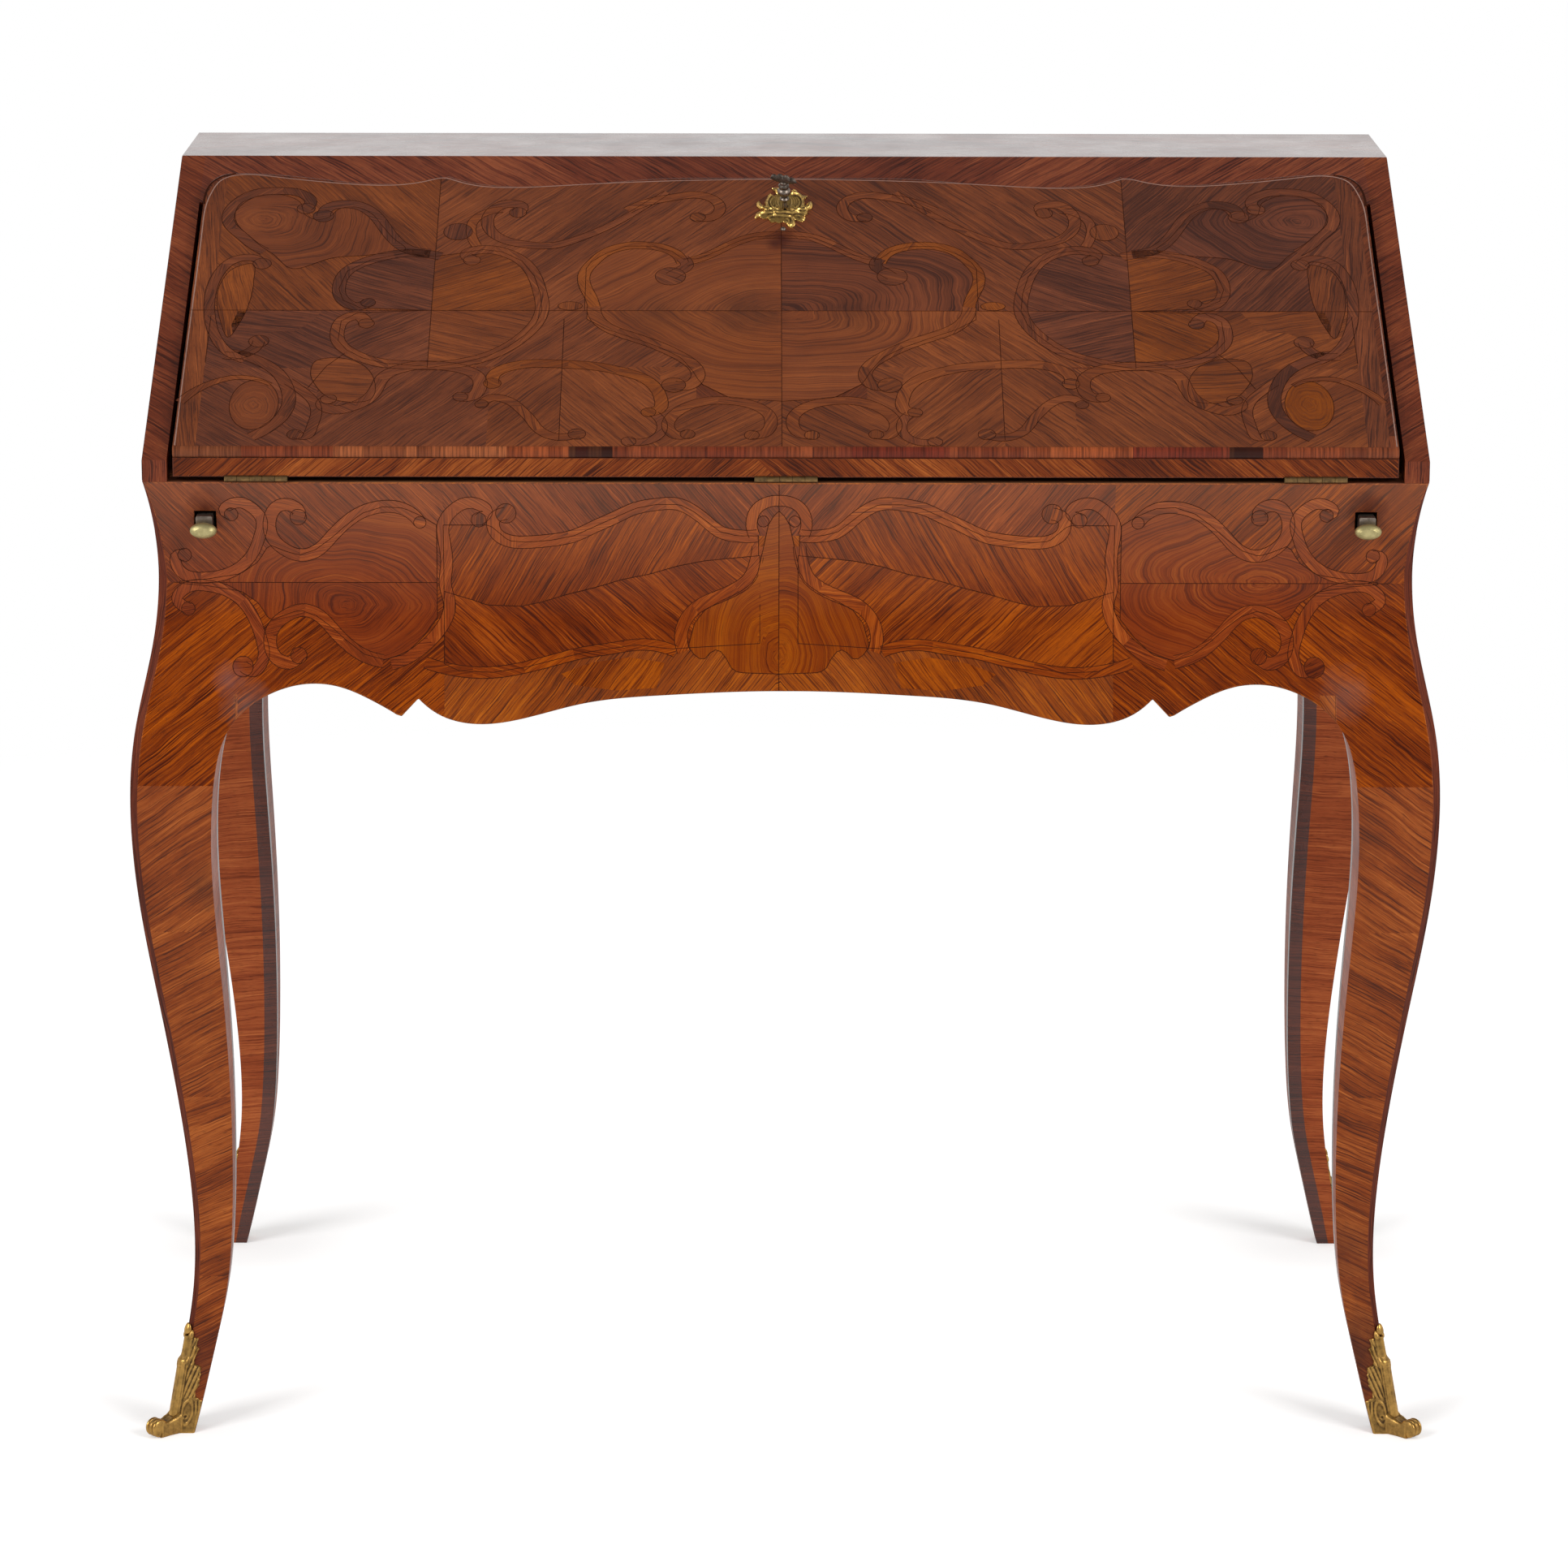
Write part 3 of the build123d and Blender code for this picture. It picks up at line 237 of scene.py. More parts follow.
@dataclass
class Skin:
    """Grids of points gathered into one mesh, with grain and look at each corner."""

    points: list = field(default_factory=list)
    quads: list = field(default_factory=list)
    grain: list = field(default_factory=list)
    looks: list = field(default_factory=list)
    parts: list = field(default_factory=list)
    count: int = 0
    part: int = 0

    def begin(self) -> None:
        """Starts a new part, whose points never merge with those of the last."""
        self.part += 1

    def keep(self, points: Array, grain: Array, look: Look) -> None:
        """Keeps a grid's points with their grain and look."""
        self.points.append(points)
        self.grain.append(grain)
        self.looks.append(np.repeat(look.array()[None], len(points), axis=0))
        self.parts.append(np.full(len(points), self.part))
        self.count += len(points)

    def add(
        self,
        grid: Array,
        grain: Array,
        look: Look,
        facing: Optional[Array] = None,
        ring: bool = False,
        skip: Optional[Array] = None,
    ) -> None:
        """Adds a grid of quads.

        Args:
            grid: points, rows by columns by 3, in millimetres.
            grain: along and across the grain at each point, in millimetres.
            look: shade of the whole grid.
            facing: direction that the mean normal shall lean to; as given if None.
            ring: whether the last column joins the first.
            skip: true for each quad that is left out, rows - 1 by columns - 1.
        """
        if ring:
            grid = np.concatenate([grid, grid[:, :1]], axis=1)
            grain = np.concatenate([grain, grain[:, :1]], axis=1)
        rows, columns = grid.shape[:2]
        index = np.arange(rows * columns).reshape(rows, columns) + self.count
        quads = np.stack(
            [index[:-1, :-1], index[:-1, 1:], index[1:, 1:], index[1:, :-1]], axis=-1
        )
        if skip is not None:
            quads = quads[~skip]
        quads = quads.reshape(-1, 4)
        if facing is not None:
            across = grid[:-1, 1:] - grid[:-1, :-1]
            up = grid[1:, :-1] - grid[:-1, :-1]
            normal = np.cross(across, up).reshape(-1, 3).sum(axis=0)
            if np.dot(normal, facing) < 0:
                quads = quads[:, ::-1]
        self.quads.append(quads)
        self.keep(grid.reshape(-1, 3), grain.reshape(-1, 2), look)

    def fill(self, points: Array, faces: Array, grain: Array, look: Look, facing: Array) -> None:
        """Adds triangles.

        Args:
            points: corners, count by 3, in millimetres.
            faces: three corner numbers of each triangle.
            grain: along and across the grain at each corner.
            look: shade of them all.
            facing: direction that the mean normal shall lean to.
        """
        a, b, c = (points[faces[:, k]] for k in range(3))
        if np.dot(np.cross(b - a, c - a).sum(axis=0), facing) < 0:
            faces = faces[:, ::-1]
        self.quads.append(faces + self.count)
        self.keep(points, grain, look)

    def cast(self, grid: Array, facing: Optional[Array] = None, ring: bool = False) -> None:
        """Adds a grid of metal, which has no grain."""
        self.add(grid, np.zeros((*grid.shape[:2], 2)), Look(), facing, ring)

    def object(
        self,
        name: str,
        materials: Sequence[bpy.types.Material],
        smooth: float = 40.0,
        slots: Optional[Sequence[int]] = None,
    ) -> bpy.types.Object:
        """Makes the mesh: doubles merged, smooth but for edges sharper than an angle.

        Points of one part that fall into one small cell become one point. Corners
        that repeat the next are dropped, and so are faces left with under three.

        Args:
            name: name of the piece.
            materials: its finishes.
            smooth: angle in degrees above which an edge stays sharp.
            slots: number of the finish of each quad, all the first if None.

        Returns:
            The new object, at the origin.
        """
        points = np.vstack(self.points)
        cells = np.floor((points + 0.00137) / MERGE).astype(np.int64)
        keys = np.column_stack([np.concatenate(self.parts), cells])
        _, first, merged = np.unique(keys, axis=0, return_index=True, return_inverse=True)
        merged = merged.ravel()
        loops = np.concatenate([faces.ravel() for faces in self.quads])
        sizes = np.concatenate([np.full(len(faces), faces.shape[1]) for faces in self.quads])
        starts = np.concatenate([[0], np.cumsum(sizes)[:-1]])
        owner = np.repeat(np.arange(len(sizes)), sizes)
        corners = merged[loops]
        after = np.roll(corners, -1)
        after[starts + sizes - 1] = corners[starts]
        kept = corners != after
        sizes = np.bincount(owner[kept], minlength=len(sizes))
        kept &= sizes[owner] >= 3
        whole = sizes >= 3
        loops, corners, sizes = loops[kept], corners[kept], sizes[whole]
        mesh = bpy.data.meshes.new(name)
        mesh.vertices.add(len(first))
        mesh.vertices.foreach_set("co", (points[first] * MM).ravel().astype(np.float32))
        mesh.loops.add(len(corners))
        mesh.loops.foreach_set("vertex_index", corners.astype(np.int32))
        mesh.polygons.add(len(sizes))
        mesh.polygons.foreach_set(
            "loop_start", np.concatenate([[0], np.cumsum(sizes)[:-1]]).astype(np.int32)
        )
        for material in materials:
            mesh.materials.append(material)
        if slots is not None:
            mesh.polygons.foreach_set("material_index", np.asarray(slots, np.int32)[whole])
        mesh.update(calc_edges=True)
        layer = mesh.uv_layers.new(name="grain")
        grain = np.vstack(self.grain) * MM
        layer.data.foreach_set("uv", grain[loops].ravel().astype(np.float32))
        shade = mesh.attributes.new("look", "FLOAT_VECTOR", "CORNER")
        shade.data.foreach_set("vector", np.vstack(self.looks)[loops].ravel().astype(np.float32))
        mesh.validate()
        mesh.polygons.foreach_set("use_smooth", np.ones(len(mesh.polygons), bool))
        mesh.set_sharp_from_angle(angle=math.radians(smooth))
        piece = bpy.data.objects.new(name, mesh)
        bpy.context.scene.collection.objects.link(piece)
        return piece


def turned(a: Array, b: Array, degrees: float) -> Array:
    """Distances along and across a grain that rises by degrees from a towards b."""
    angle = math.radians(degrees)
    return np.stack(
        [a * math.cos(angle) + b * math.sin(angle), b * math.cos(angle) - a * math.sin(angle)],
        axis=-1,
    )


def ruled(start: Array, end: Array, columns: int) -> Array:
    """Grid of straight lines between two edges with the same number of points."""
    share = np.linspace(0, 1, columns)[None, :, None]
    return start[:, None] * (1 - share) + end[:, None] * share


# ---------------------------------------------------------- veneered surfaces
class Face:
    """A surface that veneers lie on, with two measures along it and a lift off it."""

    facing: Array = np.array([0.0, -1.0, 0.0])

    def at(self, a: Array, b: Array, lift: Array) -> Array:
        """Points at measures a and b, lifted off the surface."""
        raise NotImplementedError


class FallFace(Face):
    """Outer face of the fall: across, and up the slope from the case's corner."""

    slope = math.atan2(HEIGHT - SLOPE_FOOT_Z, SLOPE_TOP_Y - FRONT_Y)
    facing = np.array([0.0, -math.sin(slope), math.cos(slope)])

    def at(self, a: Array, b: Array, lift: Array) -> Array:
        """Foot of the slope, plus b up it, plus the fall's thickness and lift off it."""
        off = FALL_PROUD + lift
        y = FRONT_Y + b * math.cos(self.slope) - off * math.sin(self.slope)
        z = SLOPE_FOOT_Z + b * math.sin(self.slope) + off * math.cos(self.slope)
        return stacked(a, y, z)


class FrontFace(Face):
    """Serpentine front of the aprons and legs: across, and height."""

    def at(self, a: Array, b: Array, lift: Array) -> Array:
        """Points on the front's serpentine, lifted along its normal."""
        inset, height = off_serpentine(b, lift)
        return stacked(a, FRONT_Y + inset, height)


@dataclass
class PlaneFace(Face):
    """Flat face at a depth, measured across the case and up it."""

    depth: float = FRONT_Y

    def at(self, a: Array, b: Array, lift: Array) -> Array:
        """Straight forward of the face's depth by the lift."""
        return stacked(a, self.depth - lift, b)


class SideFace(Face):
    """Side of the case and the apron under it: from front to back, and height."""

    def __init__(self, side: int) -> None:
        """Takes -1 for the left side and 1 for the right."""
        self.side = side
        self.facing = np.array([float(side), 0.0, 0.0])

    def at(self, a: Array, b: Array, lift: Array) -> Array:
        """Points on the side's serpentine, lifted along its normal."""
        inset, height = off_serpentine(b, lift)
        return stacked(self.side * (HALF_W - inset), a, height)


class Pattern(Enum):
    """How the figure of a piece of veneer runs."""

    PLAIN = "straight stripes"
    OYSTER = "rings round a centre"


@dataclass(frozen=True)
class Cut:
    """How a piece is cut from the log: its pattern, angle, centre and roundness."""

    pattern: Pattern = Pattern.PLAIN
    angle: float = 0.0
    centre: Tuple[float, float] = (0.0, 0.0)
    squash: float = 1.0

    def grain(self, a: Array, b: Array) -> Array:
        """Along and across the grain: turned axes, or arc and radius of squashed rings.

        A ring's radius swells by a few hundredths as it goes round, twice and five
        times a turn.
        """
        if self.pattern is Pattern.PLAIN:
            return turned(a, b, self.angle)
        x = (a - self.centre[0]) * self.squash
        y = b - self.centre[1]
        turn = np.arctan2(np.abs(y), x)
        twice, fivefold = (np.sin(k * turn + phase) for k, phase in zip((2, 5), self.centre))
        lobes = 1 + 0.07 * twice + 0.04 * fivefold
        return stacked(turn * 18.0, np.hypot(x, y) * lobes)


class Level(Enum):
    """Lift of each layer of veneer off the carcass, in millimetres."""

    GROUND = 0.06
    FIELD = 0.10
    PANEL = 0.14
    STRAP = 0.18
    EYE = 0.21
    STRING = 0.24


def area_of(outline: Array) -> float:
    """Twice the signed area of a closed outline."""
    after = np.roll(outline, -1, axis=0)
    return float((outline[:, 0] * after[:, 1] - after[:, 0] * outline[:, 1]).sum())


def grid_over(outline: Array, pitch: float, start: float) -> Array:
    """Even grid of points over an outline's box, from a start inside its low corner."""
    low, high = outline.min(axis=0), outline.max(axis=0)
    a, b = (np.arange(low[k] + start, high[k], pitch) for k in range(2))
    return np.stack(np.meshgrid(a, b), axis=-1).reshape(-1, 2)


def triangles_in(outline: Array, inside: Array, tolerance: float) -> Tuple[Array, Array]:
    """Points and triangles of a closed outline and some points inside it."""
    vectors = [Vector(point) for point in np.vstack([outline, inside]).tolist()]
    result = delaunay_2d_cdt(vectors, [], [list(range(len(outline)))], 1, tolerance)
    flat = np.array([tuple(point) for point in result[0]])
    return flat, np.array([face for face in result[2] if len(face) == 3])


def edges_of(
    path: Array, width: float, closed: bool, taper: float
) -> Tuple[Array, Array, Array, Array]:
    """Edges of a band along a path.

    Each edge is half the width away along the normal, but the edge on the inside
    of a bend stops just short of the bend's centre.

    Args:
        path: points of the middle line.
        width: width of the band.
        closed: whether the path runs back to its start.
        taper: width at the far end, as a share of the width.

    Returns:
        The left edge, the middle line, the right edge and the distance run.
    """
    if closed:
        path = np.vstack([path, path[:1]])
    way = np.gradient(path, axis=0)
    if closed:
        way[0] = way[-1] = (way[0] + way[-1]) / 2
    way /= np.maximum(np.linalg.norm(way, axis=1, keepdims=True), 1e-9)
    steps = np.linalg.norm(np.diff(path, axis=0), axis=1)
    run = np.concatenate([[0], np.cumsum(steps)])
    bend = np.gradient(
        np.unwrap(np.arctan2(way[:, 1], way[:, 0])),
        np.maximum.accumulate(run + 1e-6 * np.arange(len(run))),
    )
    half = width / 2 * (1 + (taper - 1) * run / max(run[-1], 1e-9))
    left = np.minimum(half, 0.85 / np.maximum(bend, 1e-6))[:, None]
    right = np.minimum(half, 0.85 / np.maximum(-bend, 1e-6))[:, None]
    across = stacked(-way[:, 1], way[:, 0])
    return path + across * left, path, path - across * right, run


@dataclass
class Marquetry:
    """Veneers laid on one face: fields, straps, eyes and the dark string between."""

    face: Face
    wood: Skin = field(default_factory=Skin)
    oyster: Skin = field(default_factory=Skin)
    bands: Skin = field(default_factory=Skin)
    string: Skin = field(default_factory=Skin)
    string_width: float = 0.45
    strap_share: float = 1.1
    strap_piece: float = 36.0
    step: float = 0.0028
    laid: int = 0

    def lift_of(self, level: Level) -> float:
        """Lift of the next piece of a layer, a hair apart from its neighbours'."""
        self.laid += 1
        return level.value + self.step * (self.laid % 11)

    def skin_for(self, cut: Cut) -> Skin:
        """Skin of straight or of figured veneer."""
        return self.oyster if cut.pattern is Pattern.OYSTER else self.wood

    def plate(self, outline: Array, cut: Cut, look: Look, level: Level, pitch: float = 7.0) -> None:
        """Lays a piece cut to a closed outline.

        The piece is triangles between the outline and an even grid of points inside
        it, so it follows the surface, with an edge turned down onto the carcass.

        Args:
            outline: closed outline, count by 2.
            cut: grain.
            look: shade.
            level: layer.
            pitch: spacing of the grid.
        """
        inside = grid_over(outline, pitch, pitch / 2)
        ends = np.roll(outline, -1, axis=0) - outline
        away = inside[:, None] - outline[None]
        share = np.clip((away * ends).sum(-1) / np.maximum((ends**2).sum(-1), 1e-9), 0, 1)
        gap = np.linalg.norm(away - share[..., None] * ends, axis=-1).min(axis=1)
        flat, faces = triangles_in(outline, inside[gap > pitch * 0.35], 1e-4)
        height = self.lift_of(level)
        top = self.face.at(flat[:, 0], flat[:, 1], np.full(len(flat), height))
        self.skin_for(cut).begin()
        self.skin_for(cut).fill(
            top, faces, cut.grain(flat[:, 0], flat[:, 1]), look, self.face.facing
        )
        closed = np.vstack([outline, outline[:1]])
        doubled = np.stack([closed, closed])
        lift = np.broadcast_to(np.array([[height], [0.0]]), doubled.shape[:2])
        skirt = self.face.at(doubled[..., 0], doubled[..., 1], lift)
        if area_of(outline) > 0:
            skirt, doubled = skirt[:, ::-1], doubled[:, ::-1]
        self.skin_for(cut).add(skirt, cut.grain(doubled[..., 0], doubled[..., 1]), look)

    def line(
        self,
        path: Array,
        width: float,
        level: Level,
        skin: Skin,
        look: Look,
        closed: bool = False,
        taper: float = 1.0,
        piece: float = 0.0,
    ) -> None:
        """Lays a band along a path: straight across it, turned down at both edges.

        Args:
            path: points along the band.
            width: its width.
            level: layer.
            skin: mesh that it joins.
            look: shade.
            closed: whether the path runs back to its start.
            taper: width at the far end, as a share of the width.
            piece: length of the straight-grained pieces it is cut into, 0 for
                one piece whose grain follows the path.
        """
        left, path, right, run = edges_of(path, width, closed, taper)
        flat = np.stack([right, right, path, left, left], axis=1)
        share = np.array([-1.0, -1.0, 0.0, 1.0, 1.0])
        lift = np.broadcast_to(
            np.array([0.0, 1.0, 1.0, 1.0, 0.0]) * self.lift_of(level), flat.shape[:2]
        )
        grid = self.face.at(flat[..., 0], flat[..., 1], lift)
        skin.begin()
        if not piece:
            grain = stacked(run[:, None], share[None] * width / 2)
            skin.add(grid, grain, look, self.face.facing)
            return
        count = max(1, round(run[-1] / piece))
        cuts = np.searchsorted(run, run[-1] * np.arange(count + 1) / count).clip(0, len(run) - 1)
        for number, (start, end) in enumerate(zip(cuts[:-1], cuts[1:])):
            chord = path[end] - path[start]
            lean = 24.0 * math.sin(2.9 * number + 3.7 * look.seed)
            grain = turned(
                flat[start : end + 1, :, 0], flat[start : end + 1, :, 1],
                math.degrees(math.atan2(chord[1], chord[0])) + lean,
            )
            shade = Look(
                look.tone + 0.06 * math.sin(2.1 * number + 5.3 * look.seed), look.warmth,
                look.seed + 0.31 * number,
            )
            skin.add(grid[start : end + 1], grain, shade, self.face.facing)

    def outline(self, path: Array, closed: bool = True) -> None:
        """Lays dark string along an edge."""
        self.line(path, self.string_width, Level.STRING, self.string, Look(), closed)

    def strap(
        self,
        points: Points,
        look: Look,
        width: float = 9.0,
        eye: float = 0.0,
        start_eye: float = 0.0,
        taper: float = 1.0,
    ) -> None:
        """Lays a strap along a smooth path with string at its edges and round eyes.

        Args:
            points: points of its middle line.
            look: shade.
            width: its width.
            eye: radius of the eye at its end, 0 for none.
            start_eye: radius of the eye at its start.
            taper: width at the far end, as a share of the width.
        """
        length = np.linalg.norm(np.diff(np.asarray(points, float), axis=0), axis=1).sum()
        path = through(points, max(12, int(length / 2.2)))
        width *= self.strap_share
        self.line(path, width, Level.STRAP, self.bands, look, taper=taper, piece=self.strap_piece)
        left, path, right, _ = edges_of(path, width, False, taper)
        for side in (left, right):
            self.outline(side, closed=False)
        for end, radius in ((path[-1], eye), (path[0], start_eye)):
            if radius:
                self.disc(end, radius, Look(look.tone * 0.6 - 0.1, look.warmth, look.seed + 3.1))

    def disc(self, centre: Array, radius: float, look: Look, stretch: float = 1.0) -> None:
        """Lays a round or oval eye with string round it."""
        turn = full_turn(28)
        edge = np.asarray(centre) + radius * stacked(stretch * np.cos(turn), np.sin(turn))
        self.plate(edge, Cut(angle=40.0 + 50 * look.seed), look, Level.EYE)
        self.outline(edge)


# -------------------------------------------------------------------- finishes
def linear(colour: Tuple[float, float, float]) -> Tuple[float, float, float, float]:
    """Scene-linear colour of an 8-bit screen colour."""
    c = np.asarray(colour, float) / 255
    value = np.where(c <= 0.04045, c / 12.92, ((c + 0.055) / 1.055) ** 2.4)
    return (*value.tolist(), 1.0)


Socket = bpy.types.NodeSocket
Colour = Tuple[float, float, float]
WHITE = (1.0, 1.0, 1.0, 1.0)
MIX_INPUTS = (0, 6, 7)  # share and the two colours among a Mix node's inputs
MIX_RESULT = 2


class NodeTree:
    """A tree of shader nodes put together by short calls."""

    def __init__(self, owner: bpy.types.ID) -> None:
        """Clears the nodes of a material or a world."""
        owner.use_nodes = True
        self.tree = owner.node_tree
        self.tree.nodes.clear()

    def node(self, kind: str, *inputs: object, **settings: object) -> bpy.types.Node:
        """Adds a node.

        Args:
            kind: type name after "ShaderNode".
            inputs: a socket or a value for each input in turn, None to leave it.
            settings: the node's own properties.

        Returns:
            The node.
        """
        made = self.tree.nodes.new("ShaderNode" + kind)
        for key, value in settings.items():
            setattr(made, key, value)
        for socket, value in zip(made.inputs, inputs):
            self.plug(value, socket)
        return made

    def plug(self, value: object, socket: Socket) -> None:
        """Links a socket to another, or sets it to a value unless that is None."""
        if isinstance(value, bpy.types.NodeSocket):
            self.tree.links.new(value, socket)
        elif value is not None:
            socket.default_value = value

    def math(self, operation: str, *inputs: object, clamp: bool = False) -> Socket:
        """Result of a Math node."""
        return self.node("Math", *inputs, operation=operation, use_clamp=clamp).outputs[0]

    def scaled(self, vector: Socket, scale: Tuple[float, float, float]) -> Socket:
        """Vector times a scale along each axis."""
        return self.node("VectorMath", vector, scale, operation="MULTIPLY").outputs[0]

    def noise(
        self, vector: Socket, scale: float, detail: float = 2.0, rough: float = 0.5
    ) -> Socket:
        """Noise from 0 to 1."""
        return self.node("TexNoise", vector, None, scale, detail, rough).outputs[0]

    def range(
        self, value: Socket, start: float, end: float, low: float = 0.0, high: float = 1.0
    ) -> Socket:
        """Value brought from start..end to low..high, held at both ends."""
        return self.node("MapRange", value, start, end, low, high, clamp=True).outputs[0]

    def ramp(
        self, value: Socket, stops: Sequence[Tuple[float, Colour]], steps: bool = False
    ) -> Socket:
        """Colour along a ramp of screen colours."""
        made = self.node("ValToRGB", value)
        bar = made.color_ramp
        bar.interpolation = "CONSTANT" if steps else "LINEAR"
        while len(bar.elements) < len(stops):
            bar.elements.new(1.0)
        for element, (place, colour) in zip(bar.elements, sorted(stops, key=lambda s: s[0])):
            element.position = place
            element.color = linear(colour)
        return made.outputs[0]

    def mix(self, share: object, a: object, b: object) -> Socket:
        """Two colours mixed by a share."""
        made = self.node("Mix", data_type="RGBA")
        for place, value in zip(MIX_INPUTS, (share, a, b)):
            self.plug(value, made.inputs[place])
        return made.outputs[MIX_RESULT]

    def bump(
        self, height: Socket, distance: float, strength: float = 1.0, below: Optional[Socket] = None
    ) -> Socket:
        """Normal bent by a height, in metres per unit."""
        made = self.node("Bump")
        for name, value in (
            ("Strength", strength), ("Distance", distance), ("Height", height), ("Normal", below)
        ):
            self.plug(value, made.inputs[name])
        return made.outputs[0]


class Recipe(NodeTree):
    """A node material with one shader."""

    def __init__(self, name: str) -> None:
        """Starts a material with its output and shader."""
        self.material = bpy.data.materials.new(name)
        super().__init__(self.material)
        self.output = self.node("OutputMaterial")
        self.shader = self.node("BsdfPrincipled")
        self.tree.links.new(self.shader.outputs[0], self.output.inputs["Surface"])

    def into(self, **values: object) -> None:
        """Sets or links the shader's sockets, each named with underscores for spaces."""
        for name, value in values.items():
            self.plug(value, self.shader.inputs[name.replace("_", " ")])


class Lie(Enum):
    """Where a veneer's grain comes from."""

    LAID = "the piece's own grain map"
    BOARD = "the board's place in the case"


@dataclass(frozen=True)
class StainAndSheen:
    """Soft mark on a finish, used for stains and for painted sheen: where, how far it reaches in
    metres, colour and strength.
    """

    place: Tuple[float, float, float]
    reach: float
    colour: Colour
    share: float = 0.7

    def over(self, r: Recipe, wood: Socket, place: Socket) -> Socket:
        """The wood's colour with the mark on it, uneven at its edge."""
        away = r.node("VectorMath", place, self.place, operation="DISTANCE").outputs["Value"]
        uneven = r.math("MULTIPLY_ADD", r.noise(place, 55.0, 3.0, 0.65), self.reach, away)
        share = r.range(uneven, self.reach * 0.6, self.reach * 1.55, self.share, 0.0)
        return r.mix(share, wood, linear(self.colour))


